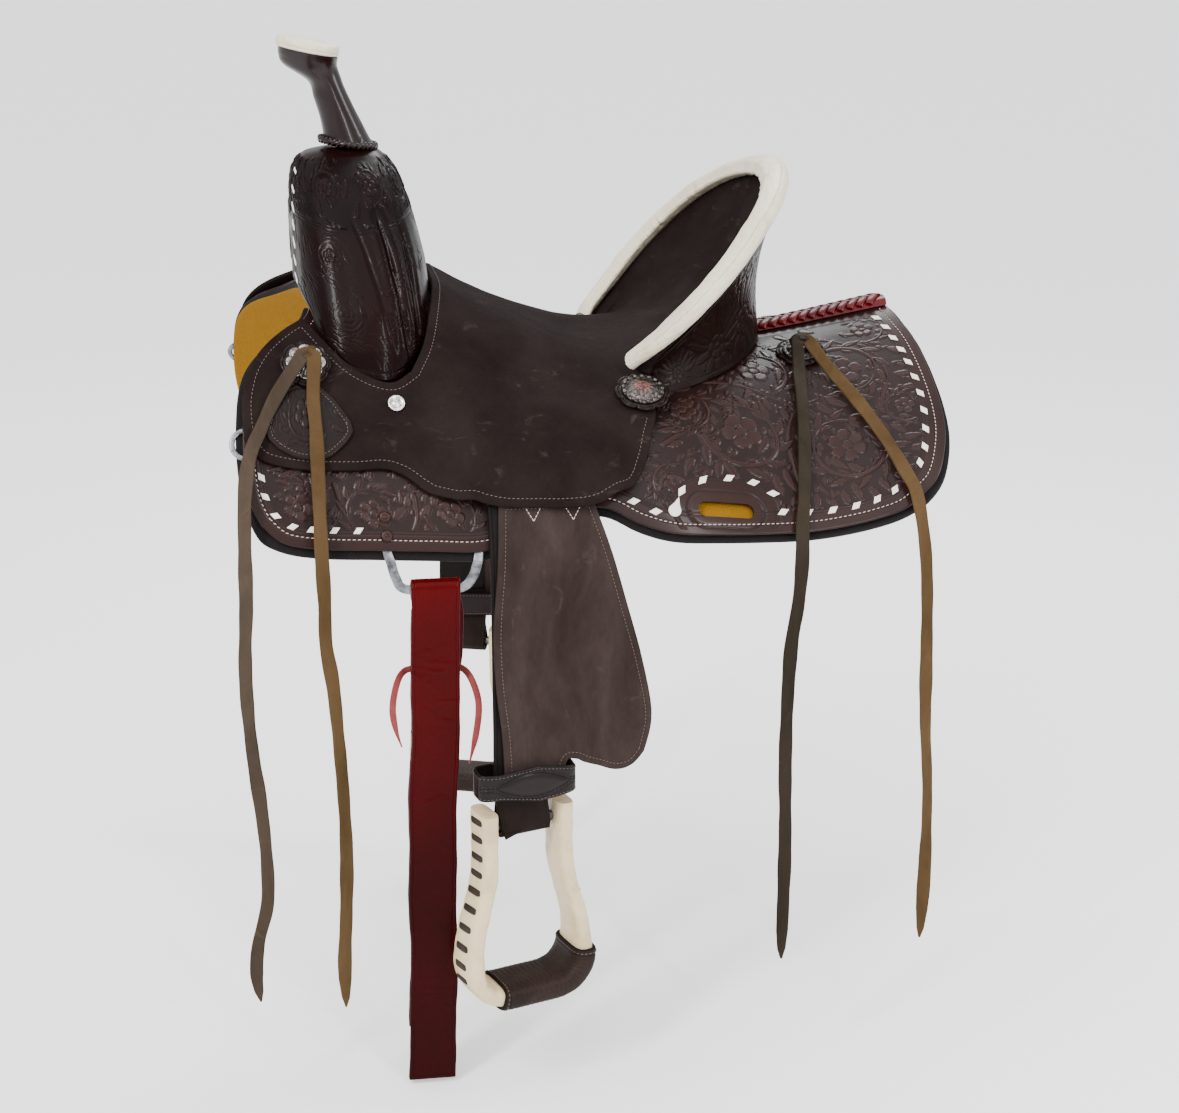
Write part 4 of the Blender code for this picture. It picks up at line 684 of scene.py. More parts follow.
# near-black painted shade for the stirrup leather where it runs behind the fender; the strap's own leather is the brown
# of its loop
M_STRAP_PAINTED_SHADE = leather("black_leather", (0.0038, 0.0031, 0.0030), (0.0090, 0.0070, 0.0064), rough=0.55, grain=0.25, blotch=18.0, spec=0.07)
M_LOOP = leather("loop_leather", (0.0078, 0.0046, 0.0036), (0.0165, 0.0105, 0.0084), rough=0.62, grain=0.35, blotch=22.0, spec=0.06)
M_HOBBLE = leather("hobble_leather", (0.0048, 0.0026, 0.0025), (0.0105, 0.0058, 0.0054), rough=0.38, coat=0.08, coat_rough=0.18, grain=0.2,
                   blotch=20.0, tooled=True, spec=0.12)
M_TREAD = leather("tread_leather", (0.0110, 0.0060, 0.0046), (0.0240, 0.0135, 0.0104), rough=0.55, coat=0.02, grain=0.4, blotch=30.0,
                  tooled=True, scuff=(0.30, (0.055, 0.036, 0.028)), spec=0.10)
M_EDGE = leather("burnished_edge", (0.009, 0.0050, 0.0038), (0.018, 0.010, 0.0072), rough=0.5, grain=0.2, blotch=40.0, spec=0.08)
# latigo: the cut darkening, in the deep colour, serves as painted shade that darkens the strap towards its lower end
M_LATIGO = leather("latigo_leather", (0.050, 0.0005, 0.0011), (0.104, 0.0011, 0.0021), rough=0.26, spread=0.12, coat=0.05, coat_rough=0.12,
                   grain=0.34, pebble=0.5, blotch=6.0, tooled=True, deep=(0.0080, 0.0003, 0.0004), spec=0.03)
M_BRAID = leather("braid_leather", (0.062, 0.0012, 0.0026), (0.130, 0.0032, 0.0056), rough=0.32, coat=0.10, coat_rough=0.14, grain=0.3, blotch=30.0,
                  spec=0.12)
M_LACE = leather("pink_lace", (0.165, 0.0260, 0.0280), (0.255, 0.0520, 0.0500), rough=0.62, grain=0.4, blotch=60.0, spec=0.1)
M_THONG_TAN = leather("thong_tan", (0.046, 0.0255, 0.0095), (0.088, 0.0530, 0.0230), rough=0.70, grain=0.5, blotch=22.0, stretch=(1, 1, 0.35),
                      scuff=(0.35, (0.110, 0.068, 0.028)), spec=0.06)
M_THONG_GREY = leather("thong_grey_brown", (0.028, 0.0195, 0.0132), (0.062, 0.0445, 0.0310), rough=0.75, grain=0.5, blotch=20.0, stretch=(1, 1, 0.35),
                       scuff=(0.3, (0.110, 0.078, 0.046)), spec=0.06)
M_THONG_DARK = leather("thong_dark", (0.0105, 0.0074, 0.0042), (0.026, 0.0182, 0.0108), rough=0.60, grain=0.5, blotch=20.0, stretch=(1, 1, 0.35),
                       scuff=(0.3, (0.048, 0.035, 0.022)), spec=0.08)
M_RAWHIDE = rawhide("rawhide", base=(0.66, 0.590, 0.445), tint=(0.36, 0.260, 0.130), wrinkle=0.9)
M_RAWHIDE_BOW = rawhide("rawhide_bow", base=(0.62, 0.500, 0.290), tint=(0.34, 0.225, 0.100), wrinkle=1.1)
M_FELT = felt("lining_felt", (0.262, 0.124, 0.0026), (0.150, 0.064, 0.0013), sheen=0.0)
M_FELT_EDGE = felt("lining_edge", (0.0085, 0.0070, 0.0068), (0.0040, 0.0035, 0.0034), scale=380.0, sheen=0.0)
M_STEEL = metal("dee_steel", (0.24, 0.25, 0.27), 0.34, dirt=(0.07, 0.07, 0.08), amount=0.6, scale=120.0)
M_SILVER = metal("antique_silver", (0.30, 0.275, 0.265), 0.26, dirt=(0.040, 0.034, 0.032), amount=0.75, scale=240.0)
M_SILVER_DARK = metal("oxidised_silver", (0.13, 0.112, 0.105), 0.40, dirt=(0.018, 0.015, 0.014), amount=0.6, scale=300.0)
M_SCREW = metal("screw_silver", (0.72, 0.70, 0.68), 0.24, dirt=(0.36, 0.34, 0.32), amount=0.8, scale=150.0)
M_COPPER = metal("rivet_copper", (0.044, 0.027, 0.026), 0.42, dirt=(0.030, 0.015, 0.012), amount=0.5, scale=300.0)
M_ROSE = metal("concho_rose", (0.26, 0.135, 0.128), 0.38, dirt=(0.05, 0.026, 0.023), amount=0.55, scale=320.0)
M_IRON = metal("iron", (0.14, 0.14, 0.15), 0.45)
M_STITCH = thread("stitch_pale", (0.52, 0.410, 0.370))
M_STITCH_SEAT = thread("stitch_rose", (0.100, 0.064, 0.059))
M_STITCH_FENDER = thread("stitch_brown", (0.095, 0.062, 0.052))
M_BUCK = rawhide("buckstitch_rawhide", base=(0.74, 0.690, 0.620), tint=(0.58, 0.50, 0.41), rough=0.5, wrinkle=0.2)
M_LACING = leather("bow_lacing", (0.0140, 0.0085, 0.0060), (0.030, 0.0190, 0.0130), rough=0.6, grain=0.4, blotch=60.0, spec=0.2)


def wood_material(name):
    m, nt, nd, ln, b = nodes_of(name)
    v = coords(nt, (1, 5, 5))
    n = noise(nt, v, 18.0, 8.0, 0.65, 1.5)
    ln.new(ramp(nt, n, ((0.3, (0.016, 0.009, 0.006)), (0.7, (0.034, 0.020, 0.013)))), b.inputs["Base Color"])
    b.inputs["Roughness"].default_value = 0.6
    ln.new(bumped(nt, n, 0.3, 0.001), b.inputs["Normal"])
    return m


M_WOOD = wood_material("tree_wood")
for name in ("tree_bar_near", "tree_bar_off", "ground_seat", "fork_core", "cantle_core"):
    me = frame["nodes"][name].data
    me.materials.clear()
    me.materials.append(M_WOOD)
for name in ("horn_core",):
    me = frame["nodes"][name].data
    me.materials.clear()
    me.materials.append(M_IRON)

# ------------------------------------------------- surfaces shared with the CAD
STATION = np.array((-0.30, -0.20, -0.05, 0.09, 0.24, 0.39))
RIDGE = np.array((0.095, 0.082, 0.030, 0.005, 0.025, 0.054))
FALL = np.array((0.200, 0.200, 0.155, 0.108, 0.138, 0.144))
POWER = np.array((3.2, 3.2, 4.0, 5.0, 2.1, 1.3))
W_REF = 0.25
SKIRT_T, PLUG_GAP, LINING_T, LINING_PROUD = 0.0038, 0.0028, 0.0065, 0.0055
SEAT_T, SEAT_LIFT, FENDER_LIFT, FENDER_T, LEATHER_T = 0.0040, 0.0054, 0.0124, 0.0040, 0.0042
SEAT_LINE = np.array(((-0.100, 0.103), (-0.084, 0.095), (-0.043, 0.072), (0.016, 0.047), (0.070, 0.033),
                      (0.110, 0.034), (0.150, 0.047), (0.190, 0.080)))


def smooth_through(xs, ys, x):
    x = np.clip(np.asarray(x, float), xs[0] - 0.02, xs[-1] + 0.02)
    i = np.clip(np.searchsorted(xs, x, side="left") - 1, 0, len(xs) - 2)
    sl = np.empty(len(xs))
    sl[0] = (ys[1] - ys[0]) / (xs[1] - xs[0])
    sl[-1] = (ys[-1] - ys[-2]) / (xs[-1] - xs[-2])
    for k in range(1, len(xs) - 1):
        a, b = xs[k] - xs[k - 1], xs[k + 1] - xs[k]
        sl[k] = (b * (ys[k] - ys[k - 1]) / a + a * (ys[k + 1] - ys[k]) / b) / (a + b)
    h = xs[i + 1] - xs[i]
    t = (x - xs[i]) / h
    return (ys[i] * (2 * t ** 3 - 3 * t * t + 1) + sl[i] * h * (t ** 3 - 2 * t * t + t)
            + ys[i + 1] * (-2 * t ** 3 + 3 * t * t) + sl[i + 1] * h * (t ** 3 - t * t))


def hide(x, w):
    w = np.abs(w)
    return smooth_through(STATION, RIDGE, x) - smooth_through(STATION, FALL, x) * (w / W_REF) ** smooth_through(STATION, POWER, x)


def jockey_lift(x, w):
    w = np.abs(w)
    under = smoothstep(0.150, 0.232, w) * smoothstep(-0.110, -0.062, x) * (1 - smoothstep(0.056, 0.090, x))
    slope = (hide(x, w + 0.001) - hide(x, np.maximum(w - 0.001, 0.0))) / (0.001 + np.minimum(w, 0.001))
    return (SEAT_LIFT + FENDER_LIFT * under) * np.sqrt(1.0 + slope * slope)


def seat_surface(x, w):
    w = np.abs(w)
    mid = smooth_through(SEAT_LINE[:, 0], SEAT_LINE[:, 1], x)
    crown = mid - hide(x, np.zeros_like(w)) - SEAT_LIFT
    return hide(x, w) + jockey_lift(x, w) + crown / (1.0 + (w / 0.125) ** 5)


def surface_normal(surface, x, w, side):
    e = 5e-4
    fx = (surface(x + e, w) - surface(x - e, w)) / (2 * e)
    fw = (surface(x, w + e) - surface(x, np.maximum(w - e, 0.0))) / (e + np.minimum(w, e))
    return unit(np.stack([-fx, -fw * side, np.ones_like(fx)], axis=-1))


def lay(surface, x, w, off=0.0, side=-1.0):
    x, w = np.asarray(x, float), np.asarray(w, float)
    n = surface_normal(surface, x, w, side)
    return np.stack([x, side * w, surface(x, w)], axis=-1) + n * np.asarray(off)[..., None] if np.ndim(off) else \
        np.stack([x, side * w, surface(x, w)], axis=-1) + n * off


def coons(top, bottom, left, right):
    """Grid filling four edges given as matching arrays of points that share their corners."""
    nu, nv = len(top), len(left)
    u = np.linspace(0, 1, nu)[None, :, None]
    v = np.linspace(0, 1, nv)[:, None, None]
    return ((1 - v) * top[None] + v * bottom[None] + (1 - u) * left[:, None] + u * right[:, None]
            - ((1 - u) * (1 - v) * top[0] + u * (1 - v) * top[-1] + (1 - u) * v * bottom[0] + u * v * bottom[-1]))


# ------------------------------------------------------------ tooling canvas
class Canvas:
    """A height map in millimetre-fine cells over a flat plan, on which motifs are stamped."""

    def __init__(self, x0, x1, y0, y1, res=0.0006):
        self.x0, self.y0, self.res = x0, y0, res
        self.nx, self.ny = int((x1 - x0) / res) + 2, int((y1 - y0) / res) + 2
        self.H = np.zeros((self.ny, self.nx), np.float32)
        self.busy = np.zeros((self.ny, self.nx), bool)

    def patch(self, cx, cy, r):
        i0, i1 = int((cx - r - self.x0) / self.res), int((cx + r - self.x0) / self.res) + 1
        j0, j1 = int((cy - r - self.y0) / self.res), int((cy + r - self.y0) / self.res) + 1
        i0, j0 = max(i0, 0), max(j0, 0)
        i1, j1 = min(i1, self.nx), min(j1, self.ny)
        if i1 <= i0 or j1 <= j0:
            return None
        X = self.x0 + (np.arange(i0, i1)) * self.res
        Y = self.y0 + (np.arange(j0, j1)) * self.res
        X, Y = np.meshgrid(X, Y)
        return (slice(j0, j1), slice(i0, i1)), X, Y

    def put(self, where, d, inside_h, edge=0.0008, deep=0.55, under=False):
        """d: signed distance, negative inside. A bevelled cut runs round the motif."""
        H, B = self.H[where], self.busy[where]
        mask = d < 0
        if under:
            mask &= ~B
        H[mask] = inside_h[mask]
        ring = np.exp(-((d - 0.2 * edge) / edge) ** 2)
        if under:
            ring = ring * ~B
        H -= (ring * deep).astype(np.float32)
        B |= d < edge

    def sample(self, x, y):
        fx = np.clip((x - self.x0) / self.res, 0, self.nx - 1.001)
        fy = np.clip((y - self.y0) / self.res, 0, self.ny - 1.001)
        i, j = fx.astype(int), fy.astype(int)
        a, b = fx - i, fy - j
        H = self.H
        return (H[j, i] * (1 - a) * (1 - b) + H[j, i + 1] * a * (1 - b) + H[j + 1, i] * (1 - a) * b + H[j + 1, i + 1] * a * b)


def flower(c, cx, cy, r, petals=5, turn=0.0):
    """Open blossom: rounded petals with veins round a seeded heart."""
    got = c.patch(cx, cy, r * 1.25)
    if got is None:
        return
    where, X, Y = got
    x, y = X - cx, Y - cy
    rho, th = np.hypot(x, y), np.arctan2(y, x) - turn
    k = np.abs(np.cos(petals * th / 2))
    edge = r * (0.70 + 0.30 * k ** 0.55 + 0.020 * np.cos(petals * 4 * th))
    d = (rho - edge) * 0.8
    h = 0.10 + 0.75 * (rho / r) ** 0.8 * (0.35 + 0.65 * k ** 0.5) - 0.50 * np.exp(-(k / 0.16) ** 2)
    h -= 0.28 * (0.5 + 0.5 * np.cos(petals * 6 * th)) * np.exp(-((rho - 0.55 * r) / (0.22 * r)) ** 2)
    c.put(where, d, h)
    heart = rho - 0.30 * r
    dots = 0.55 + 0.35 * np.cos(x / (0.075 * r) * math.pi) * np.cos(y / (0.075 * r) * math.pi)
    c.put(where, heart, dots * (1.05 - 0.5 * (rho / (0.3 * r)) ** 2), deep=0.7)


def leaf(c, x0, y0, angle, length, width, curve=0.0, lobes=5, under=True):
    """Curling leaf with a midrib, slanted veins and a scalloped edge."""
    got = c.patch(x0 + math.cos(angle) * length / 2, y0 + math.sin(angle) * length / 2, length * 0.75 + abs(curve) * length)
    if got is None:
        return
    where, X, Y = got
    ca, sa = math.cos(angle), math.sin(angle)
    t = ((X - x0) * ca + (Y - y0) * sa) / length
    q = (-(X - x0) * sa + (Y - y0) * ca) - curve * length * t * t
    tc = np.clip(t, 0, 1)
    half = width / 2 * np.sin(math.pi * np.clip(tc, 0, 1) ** 0.75) ** 0.8 * (1 + 0.16 * np.abs(np.sin(lobes * math.pi * tc)) - 0.06)
    d = np.maximum(np.abs(q) - half, np.maximum(-t, t - 1) * length)
    r = np.abs(q) / np.maximum(half, 1e-4)
    h = 0.15 + 0.60 * (1 - r ** 2) ** 1.0 * 0.7 + 0.15 * tc
    h -= 0.45 * np.exp(-(q / 0.0006) ** 2)
    h -= 0.22 * (0.5 + 0.5 * np.cos((t * length / 0.0030 - r * 1.6) * 2 * math.pi)) * np.clip(r * 1.4, 0, 1)
    c.put(where, d, h, under=under, deep=0.5)


def vine(c, points, width, under=True, taper=0.75):
    """Stem: a rounded band between two cuts."""
    P = spline(points, sub=10)
    lo, hi = P.min(0), P.max(0)
    got = c.patch((lo[0] + hi[0]) / 2, (lo[1] + hi[1]) / 2, max(hi[0] - lo[0], hi[1] - lo[1]) / 2 + width * 2)
    if got is None:
        return
    where, X, Y = got
    best = np.full(X.shape, 1e9)
    along = np.zeros(X.shape)
    s = arc(P)
    for k in range(len(P) - 1):
        a, b = P[k], P[k + 1]
        ab = b - a
        L = max(float(ab @ ab), 1e-12)
        t = np.clip(((X - a[0]) * ab[0] + (Y - a[1]) * ab[1]) / L, 0, 1)
        dist = np.hypot(X - a[0] - t * ab[0], Y - a[1] - t * ab[1])
        near = dist < best
        best[near] = dist[near]
        along[near] = ((s[k] + t * (s[k + 1] - s[k])) / s[-1])[near]
    half = width / 2 * (1 - taper * along)
    r = best / np.maximum(half, 1e-5)
    h = 0.25 + 0.45 * np.clip(1 - r * r, 0, 1) ** 0.5 - 0.3 * np.exp(-(best / 0.0005) ** 2)
    c.put(where, best - half, h, under=under, deep=0.5)


def swirl(c, cx, cy, r, start, turn, size=1.0, petals=5, bloom=0.5, spin=0.3):
    """A blossom inside a curling stem whose leaves fan outwards, the way floral carving is laid out."""
    flower(c, cx, cy, r * bloom, petals, spin)
    n = 18
    pts = []
    for k in range(n + 1):
        f = k / n
        a = start + turn * f
        rr = r * (1.0 - 0.22 * f)
        pts.append((cx + rr * math.cos(a), cy + rr * math.sin(a)))
    vine(c, pts, 0.0052 * size)
    m = 9
    for k in range(m):
        f = (k + 0.35) / m
        a = start + turn * f
        rr = r * (1.0 - 0.22 * f)
        x, y = cx + rr * math.cos(a), cy + rr * math.sin(a)
        heading = a + math.copysign(math.pi / 2, turn)
        leaf(c, x, y, heading - math.copysign(0.75, turn), r * (0.66 - 0.16 * f), r * 0.21, curve=math.copysign(0.30, turn))
        if k % 2 == 0:
            leaf(c, x, y, heading + math.copysign(0.80, turn), r * 0.36, r * 0.17, curve=-math.copysign(0.25, turn))


def matting(X, Y, pitch=0.0017):
    """Stippled background, beaten down between the motifs."""
    return 0.16 * np.cos(2 * math.pi * X / pitch + 1.3 * np.sin(Y * 900)) * np.cos(2 * math.pi * Y / pitch + 1.1 * np.sin(X * 760))


def edge_distance(outline, X, Y):
    """Distance of flat points from a closed outline, positive inside, worked out on a coarse grid."""
    O = np.vstack([outline, outline[:1]])
    best = np.full(X.shape, 1e9)
    inside = np.zeros(X.shape, bool)
    for a, b in zip(O[:-1], O[1:]):
        ab = b - a
        L = max(float(ab @ ab), 1e-14)
        t = np.clip(((X - a[0]) * ab[0] + (Y - a[1]) * ab[1]) / L, 0, 1)
        best = np.minimum(best, np.hypot(X - a[0] - t * ab[0], Y - a[1] - t * ab[1]))
        cross = ((a[1] > Y) != (b[1] > Y)) & (X < (b[0] - a[0]) * (Y - a[1]) / (b[1] - a[1] + 1e-30) + a[0])
        inside ^= cross
    return np.where(inside, best, -best)


# ------------------------------------------------------------------ skirts
SKIRT_FRONT = ((-0.200, 0.070), (-0.206, 0.100), (-0.222, 0.130), (-0.249, 0.154),
               (-0.263, 0.175), (-0.268, 0.200), (-0.2685, 0.218), (-0.265, 0.232), (-0.256, 0.2405))
SKIRT_HEM = ((-0.256, 0.2405), (-0.236, 0.2460), (-0.198, 0.2470), (-0.155, 0.2465), (-0.104, 0.2465),
             (-0.056, 0.2470), (-0.012, 0.2430), (0.030, 0.2380), (0.056, 0.2400), (0.084, 0.2480), (0.118, 0.2525),
             (0.165, 0.2520), (0.215, 0.2500), (0.265, 0.2490), (0.305, 0.2475), (0.333, 0.2440), (0.352, 0.2350))
SKIRT_TOP = ((-0.200, 0.070), (-0.180, 0.064), (-0.155, 0.058), (-0.125, 0.054), (-0.090, 0.050),
             (-0.050, 0.046), (-0.010, 0.042), (0.030, 0.038), (0.060, 0.034), (0.090, 0.029), (0.122, 0.022),
             (0.160, 0.013), (0.200, 0.0075), (0.245, 0.0075), (0.290, 0.0075), (0.332, 0.0075), (0.373, 0.0075))
SKIRT_REAR = ((0.373, 0.0075), (0.379, 0.039), (0.386, 0.070), (0.3905, 0.112), (0.391, 0.152),
              (0.387, 0.182), (0.377, 0.209), (0.3665, 0.225), (0.352, 0.2350))

# Developed plan: the distance over the leather from the plane of symmetry stands in for w.
_tx = np.linspace(-0.30, 0.42, 361)
_tw = np.linspace(0.0, 0.270, 541)
_gx, _gw = np.meshgrid(_tx, _tw)
_z = hide(_gx, _gw)
_ds = np.hypot(np.diff(_z, axis=0), np.diff(_gw, axis=0))
_S = np.vstack([np.zeros((1, len(_tx))), np.cumsum(_ds, axis=0)])


def bilinear(table, x, w):
    fx = np.clip((x - _tx[0]) / (_tx[1] - _tx[0]), 0, len(_tx) - 1.001)
    fw = np.clip((w - _tw[0]) / (_tw[1] - _tw[0]), 0, len(_tw) - 1.001)
    i, j = fx.astype(int), fw.astype(int)
    a, b = fx - i, fw - j
    return (table[j, i] * (1 - a) * (1 - b) + table[j, i + 1] * a * (1 - b) + table[j + 1, i] * (1 - a) * b
            + table[j + 1, i + 1] * a * b)


def developed(x, w):
    return bilinear(_S, np.asarray(x, float), np.asarray(w, float))


SLOT_X, SLOT_W, SLOT_LONG, SLOT_HIGH = 0.1645, 0.2405, 0.052, 0.014
SLOT_S = float(developed(SLOT_X, SLOT_W))


def slot_distance(x, s, grow=0.0):
    dx = np.abs(x - SLOT_X) - (SLOT_LONG - SLOT_HIGH) / 2
    return np.hypot(np.maximum(dx, 0), s - SLOT_S) - SLOT_HIGH / 2 - grow


nu, nv = (330, 165) if QUICK else (860, 400)
tops, hems = by_index(SKIRT_TOP, nu), by_index(SKIRT_HEM, nu)
fronts, rears = polyline(SKIRT_FRONT, nv), polyline(SKIRT_REAR, nv)
# rows crowd towards the hem, where the leather turns down
share = np.linspace(0, 1, nv + 1) ** 0.72


def at_share(P):
    i = share * nv
    return np.stack([np.interp(i, np.arange(nv + 1), P[:, k]) for k in range(2)], axis=1)


_u = np.linspace(0, 1, nu + 1)[None, :, None]
_v = share[:, None, None]
_l, _r = at_share(fronts)[:, None], at_share(rears)[:, None]
PLAN = ((1 - _v) * tops[None] + _v * hems[None] + (1 - _u) * _l + _u * _r
        - ((1 - _u) * (1 - _v) * tops[0] + _u * (1 - _v) * tops[-1] + (1 - _u) * _v * hems[0] + _u * _v * hems[-1]))
PX, PW = PLAN[..., 0], PLAN[..., 1]
PS = developed(PX, PW)

carve = Canvas(-0.275, 0.400, 0.0, float(PS.max()) + 0.004, 0.0005 if not QUICK else 0.0011)
_cy, _cx = np.mgrid[0:carve.ny, 0:carve.nx]
CX, CY = carve.x0 + _cx * carve.res, carve.y0 + _cy * carve.res
outline = np.concatenate([PLAN[0, ::6], PLAN[::4, -1], PLAN[-1, ::-6], PLAN[::-4, 0]])
outline = np.stack([outline[:, 0], developed(outline[:, 0], outline[:, 1])], axis=1)
_qx, _qy = np.meshgrid(np.linspace(CX.min(), CX.max(), 270), np.linspace(CY.min(), CY.max(), 130))
_qd = edge_distance(outline, _qx, _qy)
_fi = np.clip((CX - _qx[0, 0]) / (_qx[0, 1] - _qx[0, 0]), 0, 268.999)
_fj = np.clip((CY - _qy[0, 0]) / (_qy[1, 0] - _qy[0, 0]), 0, 128.999)
_i, _j = _fi.astype(int), _fj.astype(int)
_a, _b = _fi - _i, _fj - _j
EDGE = (_qd[_j, _i] * (1 - _a) * (1 - _b) + _qd[_j, _i + 1] * _a * (1 - _b) + _qd[_j + 1, _i] * (1 - _a) * _b
        + _qd[_j + 1, _i + 1] * _a * _b)


def on_plan(x, w):
    return float(x), float(developed(x, w))


# blossoms and their stems: (x, w, radius, start angle, turn, petals)
SWIRLS = ((0.1900, 0.1830, 0.040, 2.9, -5.0, 5), (0.2920, 0.1830, 0.038, 0.4, 4.9, 6), (0.3080, 0.1020, 0.036, 3.6, 4.8, 5),
          (0.2180, 0.1030, 0.034, 1.0, -4.8, 5), (0.3400, 0.0480, 0.022, 2.2, -4.5, 5), (0.1360, 0.1700, 0.026, 5.2, 4.6, 5),
          (0.3560, 0.1500, 0.020, 1.2, 4.4, 5), (0.1180, 0.2300, 0.020, 4.4, -4.4, 5),
          (-0.2230, 0.2330, 0.026, 2.6, -4.8, 5), (-0.1560, 0.2340, 0.027, 0.6, 4.8, 6), (-0.0870, 0.2330, 0.025, 2.8, -4.8, 5),
          (-0.2350, 0.2000, 0.022, 5.0, 4.2, 5))
for x, w, r, start, turn, petals in SWIRLS:
    cx, cy = on_plan(x, w)
    swirl(carve, cx, cy, r, start, turn, size=r / 0.036, petals=petals, spin=start)
# long stems that run between the blossoms
for pts in (((0.108, 0.150), (0.150, 0.128), (0.196, 0.128), (0.240, 0.142), (0.262, 0.150)),
            ((0.240, 0.215), (0.236, 0.180), (0.250, 0.150), (0.276, 0.134)),
            ((0.112, 0.205), (0.140, 0.190), (0.150, 0.200), (0.146, 0.215)),
            ((0.330, 0.150), (0.344, 0.125), (0.348, 0.098), (0.338, 0.078)),
            ((0.245, 0.060), (0.272, 0.052), (0.300, 0.056), (0.318, 0.066)),
            ((-0.190, 0.2230), (-0.186, 0.2330), (-0.196, 0.2400)),
            ((-0.120, 0.2260), (-0.118, 0.2350), (-0.124, 0.2410))):
    vine(carve, [on_plan(*p) for p in pts], 0.0058)
# leaves tucked into what is left, laid out on a spiral of fixed steps
for k in range(1700):
    x = -0.262 + 0.650 * ((k * 0.61803398875) % 1.0)
    w = 0.020 + 0.228 * ((k * 0.75487766625) % 1.0) ** 0.6
    cx, cy = on_plan(x, w)
    i, j = int((cx - carve.x0) / carve.res), int((cy - carve.y0) / carve.res)
    if 2 < i < carve.nx - 3 and 2 < j < carve.ny - 3 and not carve.busy[j, i] and EDGE[j, i] > 0.018:
        small = 1.0 if k < 420 else 0.58
        leaf(carve, cx, cy, (k * 2.39996) % (2 * math.pi), small * (0.017 + 0.010 * ((k * 0.37) % 1.0)), 0.0085 * small, curve=0.35 * (-1) ** k, lobes=4)

band = np.where(CX > 0.02, 0.0205, 0.0165)
panel = EDGE - band
ground = -0.42 + matting(CX, CY)
H = np.where(carve.busy, carve.H, ground)
around = slot_distance(CX, CY, 0.0240)
fade = smoothstep(0.0, 0.0012, panel) * smoothstep(0.0, 0.0012, around)
H = H * fade
H -= 0.60 * np.exp(-((panel + 0.0002) / 0.0007) ** 2) + 0.45 * np.exp(-((panel + 0.0030) / 0.0006) ** 2)
H -= (0.60 * np.exp(-((around + 0.0002) / 0.0007) ** 2) + 0.45 * np.exp(-((around + 0.0028) / 0.0006) ** 2)) * (EDGE > 0.004)
H -= 0.55 * np.exp(-(slot_distance(CX, CY, 0.0105) / 0.0009) ** 2) - 0.35 * smoothstep(0.0105, 0.0065, slot_distance(CX, CY) + 0.0)
H -= 0.30 * np.exp(-((EDGE - 0.0086) / 0.0010) ** 2)  # channel that the stitching lies in
TOOL = np.clip(0.5 + 0.62 * H, 0.0, 1.0)
H = H * 0.00098
carve.H = H.astype(np.float32)
tone = Canvas(-0.275, 0.400, 0.0, float(PS.max()) + 0.004, carve.res)
tone.H = TOOL.astype(np.float32)[:tone.ny, :tone.nx]

# the slot is opened by dropping the cells inside it and drawing its neighbours onto the line
dist = slot_distance(PX, PS)
gx = (slot_distance(PX + 1e-4, PS) - dist) / 1e-4
gs = (slot_distance(PX, PS + 1e-4) - dist) / 1e-4
inside = dist < 0
cells_in = inside[:-1, :-1] & inside[1:, :-1] & inside[:-1, 1:] & inside[1:, 1:]
keep = ~cells_in
used = np.zeros(PX.shape, bool)
for dj, di in ((0, 0), (0, 1), (1, 0), (1, 1)):
    used[dj:dj + keep.shape[0], di:di + keep.shape[1]] |= keep
snap = inside & used
slope_w = np.gradient(PS, axis=0) / np.maximum(np.gradient(PW, axis=0), 1e-9)
PX2, PW2 = PX.copy(), PW.copy()
PX2[snap] -= (dist * gx)[snap]
PW2[snap] -= (dist * gs)[snap] / np.maximum(slope_w[snap], 1.0)
relief = carve.sample(PX, PS)
tones = tone.sample(PX, PS)


def seam_skip(x0, x1):
    return lambda C: (C[:, 0] > x0) & (C[:, 0] < x1)


def diamonds(name, where, normals, along, body, length=0.0112, wide=0.0062, high=0.0009, slant=0.36):
    """Flat rawhide lacing showing as a row of slanted lozenges."""
    c = np.array([(-0.5, -0.5), (0.5 - slant, -0.5), (0.5, 0.5), (-0.5 + slant, 0.5)])
    V, tri, quad = [], [], []
    for lvl, k in ((0.0, 1.0), (0.75, 0.97), (1.0, 0.80)):
        V += [(p[0] * length * k, p[1] * wide * k, lvl * high) for p in c]
    V.append((0, 0, high * 1.08))
    for a in (0, 4):
        for k in range(4):
            j = (k + 1) % 4
            quad.append((a + k, a + j, a + 4 + j, a + 4 + k))
    for k in range(4):
        tri.append((8 + k, 8 + (k + 1) % 4, 12))
    quad.append((3, 2, 1, 0))
    V = np.array(V)
    X = unit(along - normals * np.einsum("ij,ij->i", along, normals)[:, None])
    Y = np.cross(normals, X)
    Vs, Fs = scatter(V, [np.array(quad), np.array(tri)], where, X, Y, normals)
    return piece(name, Vs, Fs, M_BUCK, body, sharp=30)


